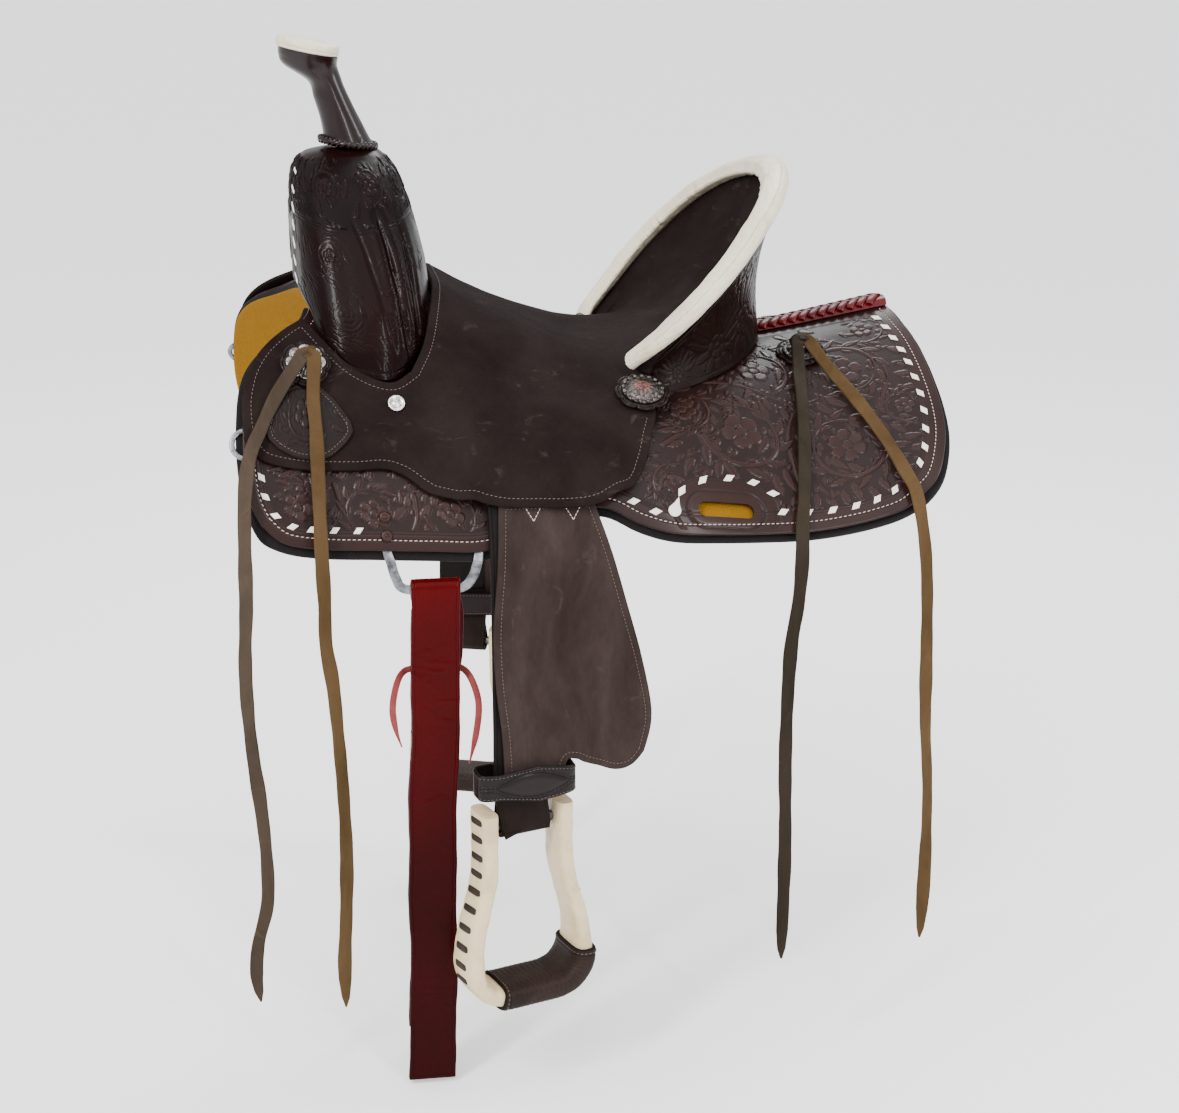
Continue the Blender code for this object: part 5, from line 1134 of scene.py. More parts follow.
REAR_BUCKS = ((0.3586, 0.0327), (0.3635, 0.0500), (0.3666, 0.0675), (0.3700, 0.0845), (0.3726, 0.1012), (0.3742, 0.1200), (0.3745, 0.1389),
              (0.3730, 0.1580), (0.3695, 0.1771), (0.3640, 0.1949), (0.3555, 0.2090), (0.3430, 0.2205), (0.3265, 0.2285), (0.3085, 0.2335),
              (0.2880, 0.2358), (0.2655, 0.2368), (0.2420, 0.2374), (0.2184, 0.2376))
OVAL_BUCKS = ((0.2112, 0.2262), (0.1934, 0.2215), (0.1700, 0.2222), (0.1448, 0.2262), (0.1240, 0.2335))
LOW_BUCKS = ((0.0982, 0.2436), (0.0787, 0.2385))
FRONT_BUCKS = ((-0.2545, 0.2120), (-0.2545, 0.2225), (-0.2520, 0.2300), (-0.2435, 0.2368), (-0.2290, 0.2402), (-0.2120, 0.2407),
               (-0.1920, 0.2406), (-0.1710, 0.2403))


def buck_row(name, places, side, body="saddle", **kw):
    P = np.array(places)
    A = np.gradient(P, axis=0) if len(P) > 2 else np.repeat((P[-1:] - P[:1]), len(P), 0)
    s = 1.0 if side > 0 else -1.0
    at = lay(hide, P[:, 0], P[:, 1], 0.00005, side)
    nxt = lay(hide, P[:, 0] + A[:, 0] * 0.05, P[:, 1] + A[:, 1] * 0.05, 0.00005, side)
    return diamonds(name, at, surface_normal(hide, P[:, 0], P[:, 1], side), unit(nxt - at), body, **kw)


def teardrop(name, x, w, side):
    at = lay(hide, np.array([x]), np.array([w]), 0.00005, side)[0]
    n = surface_normal(hide, np.array([x]), np.array([w]), side)[0]
    tip = lay(hide, np.array([x + 0.006]), np.array([w - 0.008]), 0.0, side)[0] - at
    X = tip - n * (tip @ n)
    X /= np.linalg.norm(X)
    Y = np.cross(n, X)
    rings = []
    for high, k in ((0.0, 1.0), (0.0008, 0.96), (0.0011, 0.75)):
        ring = []
        for m in range(20):
            a = 2 * math.pi * m / 20
            rr = 0.0060 * k
            u = rr * math.cos(a) + (0.0072 * k * max(math.cos(a), 0) ** 6)
            v = rr * math.sin(a) * (1 - 0.55 * max(math.cos(a), 0) ** 3)
            ring.append(at + X * u + Y * v + n * high)
        rings.append(ring)
    V, F = loft(rings)
    return piece(name, V, F, M_BUCK, "saddle", sharp=40)


for side, s in SIDES:
    top = lay(hide, PX2, PW2, 0.0, s)
    V, F, N, rim, k = shell_grid(top, SKIRT_T, top + np.array([0, s * 0.02, 0.05]), r=0.0010, keep=keep, lift=relief)
    attr = np.full(len(V), 0.42)
    attr[:top.shape[0] * top.shape[1]] = tones.ravel()
    piece(f"skirt_leather_{side}", V, [F], M_SKIRT, "saddle", attr=attr, stands=(f"skirt_{side}",), slot="tooled_leather")
    # stitching inside the front, hem and rear edges
    n_col = top.shape[0]
    P, Mn = inset(rim, 0.0086, 0, n_col + top.shape[1] + n_col - 2)
    P, Mn = cleaned(P, Mn, rim[0], 0.0086)
    P = P + Mn * 0.00002
    stitches(f"skirt_stitching_{side}", even(P, 900), even(Mn, 900), M_STITCH, "saddle", pitch=0.0046, length=0.0034, width=0.0009,
             skip=lambda C: (np.abs(C[:, 0] - 0.0) < 0.045))
    buck_row(f"skirt_lozenges_rear_{side}", REAR_BUCKS, s)
    buck_row(f"skirt_lozenges_slot_{side}", OVAL_BUCKS, s, length=0.0118)
    buck_row(f"skirt_lozenges_low_{side}", LOW_BUCKS, s)
    buck_row(f"skirt_lozenges_front_{side}", FRONT_BUCKS, s, length=0.0096, wide=0.0056)
    teardrop(f"skirt_teardrop_{side}", 0.1160, 0.2430, s)

# lining: felt that shows past the leather all round, black at its cut edge
lu, lv = (160, 60)
lt, lh = by_index(SKIRT_TOP, lu), by_index(SKIRT_HEM, lu)
lf, lr_ = polyline(SKIRT_FRONT, lv), polyline(SKIRT_REAR, lv)
LPLAN = coons(lt, lh, lf, lr_)


def grown(plan, by, by_hem):
    """The plan with its front, rear and hem edges carried outwards in rings."""
    G = plan
    path = np.concatenate([G[:, 0], G[-1, 1:], G[::-1, -1][1:]])
    c1, c2 = len(G) - 1, len(G) - 1 + G.shape[1] - 1
    t = unit(np.gradient(path, axis=0))
    out = np.stack([-t[:, 1], t[:, 0]], axis=1)
    amount = np.full(len(path), float(by))
    amount[c1 + 6:c2 - 5] = by_hem
    for _ in range(14):
        out[1:-1] = 0.25 * out[:-2] + 0.5 * out[1:-1] + 0.25 * out[2:]
        amount[1:-1] = 0.25 * amount[:-2] + 0.5 * amount[1:-1] + 0.25 * amount[2:]
    out = unit(out) * amount[:, None]
    full, mid = path + out, path + 0.5 * out
    for _ in range(6):
        full[1:-1] = 0.25 * full[:-2] + 0.5 * full[1:-1] + 0.25 * full[2:]

    def between(line, at):
        i = int(math.floor(at))
        return line[i] * (1 - (at - i)) + line[min(i + 1, len(line) - 1)] * (at - i)

    fl, ml = full[:c1 + 1].copy(), mid[:c1 + 1].copy()
    fr, mr = full[c2:][::-1].copy(), mid[c2:][::-1].copy()
    fl[-1], fr[-1] = between(full, c1 - 0.5), between(full, c2 + 0.5)
    body_rows = np.concatenate([fl[:, None], ml[:, None], G, mr[:, None], fr[:, None]], axis=1)
    hem, hem_mid = full[c1:c2 + 1].copy(), mid[c1:c2 + 1].copy()
    hem[0], hem[-1] = between(full, c1 + 0.5), between(full, c2 - 0.5)
    row1 = [between(full, c1 - 0.25), mid[c1] * 0.7 + full[c1] * 0.3] + list(hem_mid) + [mid[c2] * 0.7 + full[c2] * 0.3, between(full, c2 + 0.25)]
    row2 = [full[c1], between(full, c1 + 0.25)] + list(hem) + [between(full, c2 - 0.25), full[c2]]
    return np.concatenate([body_rows, np.array(row1)[None], np.array(row2)[None]])


LG = grown(LPLAN, LINING_PROUD, LINING_PROUD / 2)
for side, s in SIDES:
    d = SKIRT_T + PLUG_GAP
    x, w = LG[..., 0], LG[..., 1]
    top = lay(hide, x, w, -d, s)
    wob = 0.00035 * np.sin(x * 900 + w * 400) * np.sin(w * 1300 - x * 300)
    V, F, N, rim, k = shell_grid(top, LINING_T, top + np.array([0, s * 0.02, 0.05]), r=0.0012, lift=wob)
    rc = top.shape[0] * top.shape[1]
    lining = piece(f"lining_felt_{side}", V, [F], M_FELT, "saddle", stands=(f"skirt_lining_{side}",), slot="felt")
    # the outer lip and the cut edge are dark
    lining.data.materials.append(M_FELT_EDGE)
    edge_v = np.zeros(len(V), bool)
    lip = np.zeros(top.shape[:2], bool)
    lip[:, :6] = lip[:, -6:] = lip[-6:] = True
    edge_v[:rc] = lip.ravel()
    edge_v[2 * rc:] = True
    poly = lining.data.polygons
    starts = np.empty(len(poly), np.int32)
    poly.foreach_get("loop_start", starts)
    loops = np.empty(len(lining.data.loops), np.int32)
    lining.data.loops.foreach_get("vertex_index", loops)
    quad = loops.reshape(-1, 4) if len(loops) == 4 * len(poly) else None
    if quad is not None:
        idx = (edge_v[quad].sum(1) >= 4).astype(np.int32)
        poly.foreach_set("material_index", idx)
    rng = np.random.default_rng(7)


def sheet(V, quads, N, thick, r=0.0008, lift=None):
    """Closed sheet with rounded edges below a patch of quads that are wound to face outwards.
    Gives points, faces and the edge loops as (points, normals, outward directions)."""
    V, N = np.asarray(V, float), np.asarray(N, float)
    used = np.unique(quads)
    back = np.full(len(V), -1)
    back[used] = np.arange(len(used))
    V, N, Q = V[used], N[used], back[quads]
    L = None if lift is None else np.asarray(lift, float)[used]
    k = len(V)
    e = np.concatenate([Q[:, [0, 1]], Q[:, [1, 2]], Q[:, [2, 3]], Q[:, [3, 0]]])
    code, rev = e[:, 0] * k + e[:, 1], e[:, 1] * k + e[:, 0]
    edge = e[~np.isin(code, rev)]
    follow = dict(zip(edge[:, 0].tolist(), edge[:, 1].tolist()))
    loops = []
    while follow:
        a = next(iter(follow))
        loop = []
        while a in follow:
            loop.append(a)
            a = follow.pop(a)
        loops.append(np.array(loop))
    outer = V if L is None else V + N * L[:, None]
    pts, faces = [outer, V - N * thick], [Q, Q[:, ::-1] + k]
    count = 2 * k
    edges = []
    for loop in loops:
        P, M = V[loop], N[loop]
        T = unit(np.roll(P, -1, 0) - np.roll(P, 1, 0))
        O = unit(np.cross(T, M))
        edges.append((P, M, O))
        lf = 0.0 if L is None else L[loop][:, None]
        rings = [loop]
        for phi in (50, 18, -18, -50):
            f = math.radians(phi)
            pts.append(P + O * (r * math.cos(f)) - M * (thick / 2 * (1 - math.sin(f))) + M * lf * (0.5 + 0.5 * math.sin(f)))
            rings.append(np.arange(len(loop)) + count)
            count += len(loop)
        rings.append(loop + k)
        for a, b in zip(rings[:-1], rings[1:]):
            faces.append(np.stack([np.roll(a, -1), a, b, np.roll(b, -1)], axis=1))
    return np.concatenate(pts), [np.concatenate(faces)], edges, back


def vertex_normals(V, Q):
    n = np.cross(V[Q[:, 2]] - V[Q[:, 0]], V[Q[:, 3]] - V[Q[:, 1]])
    out = np.zeros_like(V)
    for c in range(4):
        np.add.at(out, Q[:, c], n)
    return unit(out)


def edge_line(edge, d, keep=None, surface=None):
    """Line d inside a sheet's edge, with its normals."""
    P, M, O = edge
    Q, Mn = cleaned(P - O * d, M, P, d)
    if keep is not None:
        ok = keep(Q)
        Q, Mn = Q[ok], Mn[ok]
    return Q, Mn


def runs_of(Q, M, gap=0.012):
    """Splits a line where it jumps."""
    jump = np.where(np.linalg.norm(np.diff(Q, axis=0), axis=1) > gap)[0] + 1
    return [(q, m) for q, m in zip(np.split(Q, jump), np.split(M, jump)) if len(q) > 6]


def settle(Q, side, surface):
    """Points put on the surface straight below or above themselves, with their normals."""
    x, w = Q[:, 0], np.abs(Q[:, 1])
    return lay(surface, x, w, 0.0, side), surface_normal(surface, x, w, side)


# --------------------------------------------------------------------- seat
SEAT_INNER = ((-0.211, 0.131), (-0.192, 0.1500), (-0.172, 0.1655), (-0.150, 0.1735), (-0.131, 0.1745), (-0.114, 0.165),
              (-0.098, 0.134), (-0.086, 0.074), (-0.0840, 0.0))
SEAT_FRONT = ((-0.211, 0.131), (-0.230, 0.1430), (-0.248, 0.1580), (-0.2605, 0.174), (-0.267, 0.190), (-0.268, 0.201),
              (-0.266, 0.212), (-0.259, 0.218))
SEAT_HEM = ((-0.259, 0.218), (-0.248, 0.2215), (-0.218, 0.2232), (-0.171, 0.2225), (-0.146, 0.2212), (-0.129, 0.2233),
            (-0.114, 0.2281), (-0.096, 0.2345), (-0.078, 0.2430), (-0.060, 0.2480), (-0.040, 0.2505), (-0.010, 0.2530),
            (0.016, 0.2555), (0.040, 0.2565), (0.058, 0.2535), (0.075, 0.2430), (0.0865, 0.2317), (0.094, 0.220),
            (0.100, 0.206), (0.106, 0.192), (0.109, 0.176))
RIM = ((0.099, 0.134, 0.021), (0.125, 0.152, 0.047), (0.151, 0.163, 0.075), (0.180, 0.161, 0.106), (0.209, 0.139, 0.137),
       (0.233, 0.103, 0.160), (0.249, 0.054, 0.174), (0.255, 0.0, 0.179))
MID_X = (-0.084, -0.054, -0.022, 0.010, 0.042, 0.071, 0.098, 0.123, 0.146)
SHARES = (0, 0.14, 0.28, 0.42, 0.55, 0.67, 0.79, 0.90, 1.0)
fine = 1 if QUICK else 2
NR = 64 * fine
NW, NT, NRE, ND = 36 * fine, 18 * fine, 60 * fine, 46 * fine


def seat_half():
    """Plan columns from the front of the jockey to the rear, each from the inner edge to the hem, then the dish."""
    cols = []
    f_line = polyline(SEAT_FRONT, NR)
    g = np.linspace(0, 1, NR + 1)
    inner, outer = polyline(SEAT_INNER[0:6], NW), polyline(SEAT_HEM[0:7], NW)
    for c in range(NW + 1):
        f = c / NW
        straight = inner[c] + (outer[c] - inner[c]) * g[:, None]
        fix = f_line - (f_line[0] + (f_line[-1] - f_line[0]) * g[:, None])
        cols.append(straight + fix * (1 - f) ** 2)
    a, b = polyline(SEAT_INNER[5:9], NT), polyline(SEAT_HEM[6:10], NT)
    for c in range(1, NT + 1):
        cols.append(a[c] + (b[c] - a[c]) * g[:, None])
    mid = by_index([(x, 0.0) for x in MID_X], NRE)
    hem = polyline(SEAT_HEM[9:], NRE)
    share = smooth_through(np.linspace(0, 1, 9), np.array(SHARES), g)
    for c in range(1, NRE + 1):
        f = c / NRE
        t = g + (share - g) * f
        p = mid[c] + (hem[c] - mid[c]) * t[:, None]
        p[:, 0] -= 0.010 * smoothstep(0.5, 1.0, np.array(f)) * np.sin(math.pi * t)
        cols.append(p)
    return np.array(cols)  # columns, rows, 2


SC = seat_half()
flat_cols = SC.shape[0]
dish_rows = NR * 6 // 8
V0 = lay(seat_surface, SC[..., 0], SC[..., 1], 0.0, -1.0)
rim_line = even(spline([(x, -w, z) for x, w, z in reversed(RIM)]), dish_rows)
lean = np.stack([0.100 - rim_line[:, 0], -rim_line[:, 1], np.zeros(len(rim_line))], axis=1)
lean[0, 1] = 0.0
dish_end = rim_line + unit(lean) * 0.0042 - np.array([0, 0, 0.0012])
dish_start = V0[-1, :dish_rows + 1]
kk = np.linspace(0, 6, dish_rows + 1)[None, :]
ff = (np.arange(1, ND + 1) / ND)[:, None]
rise = ff ** (1.9 - 0.7 * kk / 6)
dish = np.empty((ND, dish_rows + 1, 3))
dish[..., 0] = dish_start[None, :, 0] + (dish_end[None, :, 0] - dish_start[None, :, 0]) * ff
dish[..., 1] = dish_start[None, :, 1] + (dish_end[None, :, 1] - dish_start[None, :, 1]) * ff
dish[..., 2] = dish_start[None, :, 2] + (dish_end[None, :, 2] - dish_start[None, :, 2]) * rise
# the bend between seat and dish is eased
full = np.full((flat_cols + ND, NR + 1, 3), np.nan)
full[:flat_cols] = V0
full[flat_cols:, :dish_rows + 1] = dish
for _ in range(10 * fine):
    a, b = flat_cols - 8 * fine, flat_cols + 8 * fine
    blockz = full[a:b, :dish_rows - 2 * fine]
    blockz[1:-1] = 0.25 * blockz[:-2] + 0.5 * blockz[1:-1] + 0.25 * blockz[2:]
C2, R2 = full.shape[:2]
idn = np.arange(C2 * R2).reshape(C2, R2)
okc = np.ones((C2 - 1, R2 - 1), bool)
okc[flat_cols - 1:, dish_rows:] = False
near_q = np.stack([idn[:-1, :-1], idn[:-1, 1:], idn[1:, 1:], idn[1:, :-1]], axis=-1)[okc]
flatV = np.nan_to_num(full.reshape(-1, 3))
offV = flatV * np.array([1, -1, 1])
on_line = np.zeros((C2, R2), bool)
on_line[NW + NT:, 0] = True
far = np.arange(C2 * R2) + C2 * R2
far[on_line.ravel()] = np.arange(C2 * R2)[on_line.ravel()]
flatV[on_line.ravel(), 1] = 0.0
SV = np.vstack([flatV, offV])
q0 = near_q[len(near_q) // 3]
n0 = np.cross(SV[q0[1]] - SV[q0[0]], SV[q0[3]] - SV[q0[0]])
if n0[2] < 0:
    near_q = near_q[:, ::-1]
SQ = np.concatenate([near_q, far[near_q][:, ::-1]])
SN = vertex_normals(SV, SQ)
swave = (0.00022 * np.sin(SV[:, 0] * 61 + SV[:, 1] * 23) * np.sin(SV[:, 1] * 47 - SV[:, 0] * 19)
         + 0.00012 * np.sin(SV[:, 0] * 190 + 2 * np.sin(SV[:, 1] * 90)) * np.sin(SV[:, 1] * 170))
V, F, seat_edges, _ = sheet(SV, SQ, SN, SEAT_T, r=0.0009, lift=swave)
seat = piece("seat_and_jockeys", V, F, M_SEAT, "saddle", stands=("seat_leather",), slot="roughout_leather")
seat_edge = max(seat_edges, key=lambda e: len(e[0]))
for label, d, gap in (("outer", 0.0072, 0.0),):
    Q, Mn = edge_line(seat_edge, d, keep=lambda q: ~((q[:, 0] > 0.088) & (q[:, 2] > -0.075) & (np.abs(q[:, 1]) < 0.19)))
    for k, (q, m) in enumerate(runs_of(Q, Mn)):
        side = -1.0 if q[:, 1].mean() < 0 else 1.0
        if np.ptp(q[:, 1]) > 0.3 and q[:, 0].max() < -0.05:
            pass
        near_side = q[:, 1] <= 0
        on = np.where(near_side[:, None], lay(seat_surface, q[:, 0], np.abs(q[:, 1]), 0.00015, -1.0),
                      lay(seat_surface, q[:, 0], np.abs(q[:, 1]), 0.00015, 1.0))
        stitches(f"seat_stitching_{label}_{k}", on, m, M_STITCH_SEAT, "saddle", pitch=0.0040, length=0.0029, width=0.0008, high=0.0006)
for k, e in enumerate([seat_edge]):
    pass


def on_sheet(surface, plan, off, side):
    return lay(surface, plan[..., 0], plan[..., 1], off, side)


# patch sewn on the lower front corner of each jockey
P_TOP = [(-0.2485, 0.2065), (-0.237, 0.187), (-0.214, 0.178), (-0.191, 0.1870), (-0.174, 0.2005)]
P_BOT = [(-0.238, 0.2155), (-0.220, 0.2190), (-0.196, 0.2180), (-0.179, 0.2110)]
P_LEFT = [(-0.2485, 0.2065), (-0.246, 0.2115), (-0.238, 0.2155)]
P_RIGHT = [(-0.174, 0.2005), (-0.173, 0.2060), (-0.179, 0.2110)]
pn = 70 * fine
pm = 36 * fine
plan = coons(by_index(P_TOP, pn), by_index(P_BOT, pn), by_index(P_LEFT, pm), by_index(P_RIGHT, pm))
pc = Canvas(-0.26, -0.16, 0.0, 0.075, 0.0005)
_cy, _cx = np.mgrid[0:pc.ny, 0:pc.nx]
pX, pY = pc.x0 + _cx * pc.res, pc.y0 + _cy * pc.res
swirl(pc, -0.2130, 0.036, 0.0165, 0.6, 5.0, size=0.55, petals=5, bloom=0.55)
for k, (x, y, a) in enumerate(((-0.2400, 0.030, 2.6), (-0.1905, 0.040, 0.3), (-0.2330, 0.050, 2.2), (-0.1880, 0.028, -0.4), (-0.214, 0.0590, 1.6))):
    leaf(pc, x, y, a, 0.014, 0.0070, curve=0.2 * (-1) ** k, lobes=4)
patch_y = np.linspace(0.014, 0.062, pm + 1)[:, None] * np.ones(pn + 1)[None]
ew = np.minimum(np.minimum(np.arange(pn + 1), pn - np.arange(pn + 1))[None] * 0.075 / pn, np.minimum(np.arange(pm + 1), pm - np.arange(pm + 1))[:, None] * 0.045 / pm)
hx = pc.sample(plan[..., 0], patch_y)
busy = np.abs(hx) > 1e-4
ph = np.where(busy, hx, -0.35 + matting(plan[..., 0], patch_y)) * smoothstep(0.0062, 0.0075, ew)
ph -= 0.5 * np.exp(-((ew - 0.0062) / 0.0006) ** 2)
for side, s in SIDES:
    top = on_sheet(seat_surface, plan, 0.0036, s)
    V, F, N, rim, k = shell_grid(top, 0.0028, top + np.array([0, s * 0.02, 0.05]), r=0.0010, lift=ph * 0.0006)
    attr = np.full(len(V), 0.45)
    attr[:ph.size] = np.clip(0.5 + 0.62 * ph, 0, 1).ravel()
    piece(f"corner_patch_{side}", V, [F], M_BACK, "saddle", attr=attr, stands=(f"jockey_corner_patch_{side}",), slot="tooled_leather")
    Q, Mn = edge_line(rim, 0.0036)
    stitches(f"corner_patch_stitching_{side}", Q, Mn, M_STITCH_SEAT, "saddle", pitch=0.0034, length=0.0024, width=0.0007, closed=True)


# -------------------------------------------------------------------- swell
FORK = np.array(((0.008, -0.2060, -0.0940, 0.1705), (0.048, -0.2110, -0.0865, 0.1620), (0.082, -0.2150, -0.0865, 0.1480),
                 (0.114, -0.2165, -0.0900, 0.1290), (0.146, -0.2165, -0.0970, 0.1110), (0.174, -0.2155, -0.1050, 0.0890),
                 (0.194, -0.2130, -0.1130, 0.0640), (0.205, -0.2075, -0.1210, 0.0430), (0.2115, -0.1990, -0.1290, 0.0270)))


def fork_point(a, z):
    fx, rx, hw = (np.interp(z, FORK[:, 0], FORK[:, k]) for k in (1, 2, 3))
    sm = [smooth_through(FORK[:, 0], FORK[:, k], np.minimum(z, 0.2115)) for k in (1, 2, 3)]
    fx, rx, hw = (0.5 * u + 0.5 * v for u, v in zip((fx, rx, hw), sm))
    c, s = np.cos(a), np.sin(a)
    e = np.where(c < 0, 0.62, 0.80)
    x = (fx + rx) / 2 + np.sign(c) * np.abs(c) ** e * (rx - fx) / 2
    y = np.sign(s) * np.abs(s) ** 0.62 * hw
    return x, y


NA, NZ = (300, 110) if QUICK else (900, 330)
# columns are spread evenly over the girth, not over the angle
_aa = (np.arange(4001)) / 4000 * 2 * math.pi
_fx, _fy = fork_point(_aa, np.full(_aa.shape, 0.11))
_gs = arc(np.stack([_fx, _fy], axis=1))
ang = np.interp(np.linspace(0, _gs[-1], NA + 1)[:-1], _gs, _aa)
zf = np.linspace(0.008, 0.2115, 500)
AX, AZ = np.meshgrid(ang, zf, indexing="ij")
bx, by = fork_point(AX, AZ)
low = hide(bx, by) + 0.0070 + 0.0100 * (1 - smoothstep(0.118, 0.140, np.abs(by)))
arch = np.where(np.abs(by) < 0.062, 0.040 + 0.100 * np.clip(1 - (by / 0.062) ** 2, 0, 1) ** 0.36, -1.0)
limit = np.maximum(low, arch)
good = AZ > limit
# the lowest height from which the column stays above its limit
cut = np.array([zf[len(zf) - 1 - np.argmax(~good[i, ::-1])] if (~good[i]).any() else zf[0] for i in range(NA)])
for _ in range(3):
    cut = 0.25 * np.roll(cut, 1) + 0.5 * cut + 0.25 * np.roll(cut, -1)
t = np.linspace(0, 1, NZ + 1)
ZZ = cut[:, None] + (0.2115 - cut[:, None]) * t[None]
GX, GY = fork_point(np.repeat(ang[:, None], NZ + 1, 1), ZZ)
G = np.stack([GX, GY, ZZ], axis=-1)
top_rows = []
for k in range(1, 9):
    f = k / 8
    ring = G[:, -1].copy()
    ring[:, 0] = ring[:, 0] * (1 - f) + (-0.1568 + 0.0158 * np.cos(ang)) * f
    ring[:, 1] = ring[:, 1] * (1 - f) + 0.0158 * np.sin(ang) * f
    ring[:, 2] = 0.2115 + 0.0044 * math.sin(f * math.pi / 2)
    top_rows.append(ring[:, None])
G = np.concatenate([G] + top_rows, axis=1)
for _ in range(3 * fine):  # eases the shoulder
    G[:, NZ - 12 * fine:NZ + 6] = 0.25 * G[:, NZ - 12 * fine - 1:NZ + 5] + 0.5 * G[:, NZ - 12 * fine:NZ + 6] + 0.25 * G[:, NZ - 12 * fine + 1:NZ + 7]
nrow = G.shape[1]
idg = np.arange(NA * nrow).reshape(NA, nrow)
nxt = np.roll(idg, -1, 0)
fq = np.stack([idg[:, :-1], nxt[:, :-1], nxt[:, 1:], idg[:, 1:]], axis=-1).reshape(-1, 4)
gv = G.reshape(-1, 3)
q0 = fq[(NA // 2) * (nrow - 1) + 5]
n0 = np.cross(gv[q0[1]] - gv[q0[0]], gv[q0[3]] - gv[q0[0]])
if n0 @ (gv[q0[0]] - np.array([-0.15, 0, gv[q0[0]][2]])) < 0:
    fq = fq[:, ::-1]
gn = vertex_normals(gv, fq)
# carving runs round the top, folds run down the sides
girth = np.interp(ang, _aa, _gs)
U = np.repeat(girth[:, None], nrow, 1)
Zg = G[..., 2]
sc_ = Canvas(-0.01, _gs[-1] + 0.01, 0.005, 0.235, 0.0006)
for k in range(13):
    u0 = _gs[-1] * (k + 0.25) / 13
    swirl(sc_, u0, 0.186, 0.0150, 1.1 * k, 4.6 * (-1) ** k, size=0.62, petals=5 + k % 2, bloom=0.52)
for k in range(150):
    u0, z0 = _gs[-1] * ((k * 0.61803398875) % 1.0), 0.160 + 0.052 * ((k * 0.75487766625) % 1.0)
    i, j = int((u0 - sc_.x0) / sc_.res), int((z0 - sc_.y0) / sc_.res)
    if 0 <= i < sc_.nx and 0 <= j < sc_.ny and not sc_.busy[j, i]:
        leaf(sc_, u0, z0, (k * 2.39996) % 6.28, 0.015, 0.0075, curve=0.3 * (-1) ** k, lobes=4)
for k in range(12):
    u0 = _gs[-1] * (k + 0.5) / 12
    swirl(sc_, u0, 0.122 + 0.008 * (-1) ** k, 0.0135, 1.7 * k, 4.4 * (-1) ** k, size=0.60, petals=5, bloom=0.48)
    swirl(sc_, u0 + 0.010, 0.070 + 0.010 * (-1) ** k, 0.0140, 2.3 * k, -4.4 * (-1) ** k, size=0.60, petals=5, bloom=0.48)
for k in range(520):
    u0, z0 = _gs[-1] * ((k * 0.61803398875) % 1.0), 0.020 + 0.138 * ((k * 0.75487766625) % 1.0)
    i, j = int((u0 - sc_.x0) / sc_.res), int((z0 - sc_.y0) / sc_.res)
    if 0 <= i < sc_.nx and 0 <= j < sc_.ny and not sc_.busy[j, i]:
        leaf(sc_, u0, z0, 1.57 + 0.7 * math.sin(k * 2.39996), 0.015, 0.0052, curve=0.3 * (-1) ** k, lobes=4)
Hs = sc_.sample(U, np.clip(Zg, 0.015, 0.2115))
bz = sc_.busy[np.clip(((np.clip(Zg, 0.015, 0.2115) - sc_.y0) / sc_.res).astype(int), 0, sc_.ny - 1), np.clip(((U - sc_.x0) / sc_.res).astype(int), 0, sc_.nx - 1)]
line = 0.157 + 0.006 * np.sin(U * 34)
ph = np.where(bz, Hs, -0.40 + matting(U, Zg)) * smoothstep(0, 0.002, Zg - line) * (1 - smoothstep(0.2060, 0.2095, Zg))
ph -= 0.55 * np.exp(-((Zg - line) / 0.0007) ** 2) + 0.35 * np.exp(-((Zg - line + 0.0030) / 0.0006) ** 2)
upper = smoothstep(-0.001, 0.001, Zg - line)
worn = 0.35 + 0.65 * smoothstep(-0.2, 0.6, np.sin(U * 61 + 1.5 * np.sin(Zg * 90)) + 0.4 * np.sin(Zg * 170 + U * 23))
low_ph = np.where(bz, Hs, 0.0) * worn * (1 - upper)
lift = ph * 0.00115 + low_ph * 0.00055
ph = ph + low_ph * 0.10
# the leather is gathered into long folds a little behind the middle of each side
xf = np.interp(Zg, (0.03, 0.06, 0.10, 0.135, 0.165), (-0.1130, -0.1155, -0.1215, -0.1290, -0.1380))
dx = G[..., 0] - xf
on_side = smoothstep(0.020, 0.045, np.abs(G[..., 1]))
run_ = (1 - smoothstep(0.146, 0.172, Zg)) * smoothstep(0.024, 0.070, Zg) * on_side
fold = (0.0019 * np.exp(-((dx + 0.0085) / 0.0046) ** 2) - 0.0024 * np.exp(-((dx + 0.0014) / 0.0019) ** 2) + 0.0022 * np.exp(-((dx - 0.0052) / 0.0040) ** 2)
        - 0.0014 * np.exp(-((dx - 0.0128 - 0.05 * (Zg - 0.1)) / 0.0018) ** 2) + 0.0012 * np.exp(-((dx - 0.0180 - 0.08 * (Zg - 0.1)) / 0.0034) ** 2)
        - 0.0009 * np.exp(-((dx + 0.0190 + 0.10 * (Zg - 0.1)) / 0.0022) ** 2))
lift = lift + 1.25 * fold * run_ * (0.85 + 0.15 * np.sin(Zg * 120))
rng = np.random.default_rng(11)
for k in range(34):
    u0 = _gs[-1] * rng.random()
    w0 = 0.004 + 0.008 * rng.random()
    amp = (0.00035 + 0.0009 * rng.random()) * (1 if k % 3 else -0.7)
    z1 = 0.03 + 0.06 * rng.random()
    drift = 0.10 * (rng.random() - 0.5)
    du = (U - u0 - drift * (Zg - 0.1) + _gs[-1] / 2) % _gs[-1] - _gs[-1] / 2
    lift = lift + amp * np.exp(-(du / w0) ** 2) * (1 - smoothstep(0.120, 0.158, Zg)) * smoothstep(0.0, z1, Zg)
row_d = np.concatenate([np.zeros((NA, 1)), np.cumsum(np.linalg.norm(np.diff(G, axis=1), axis=2), axis=1)], axis=1)
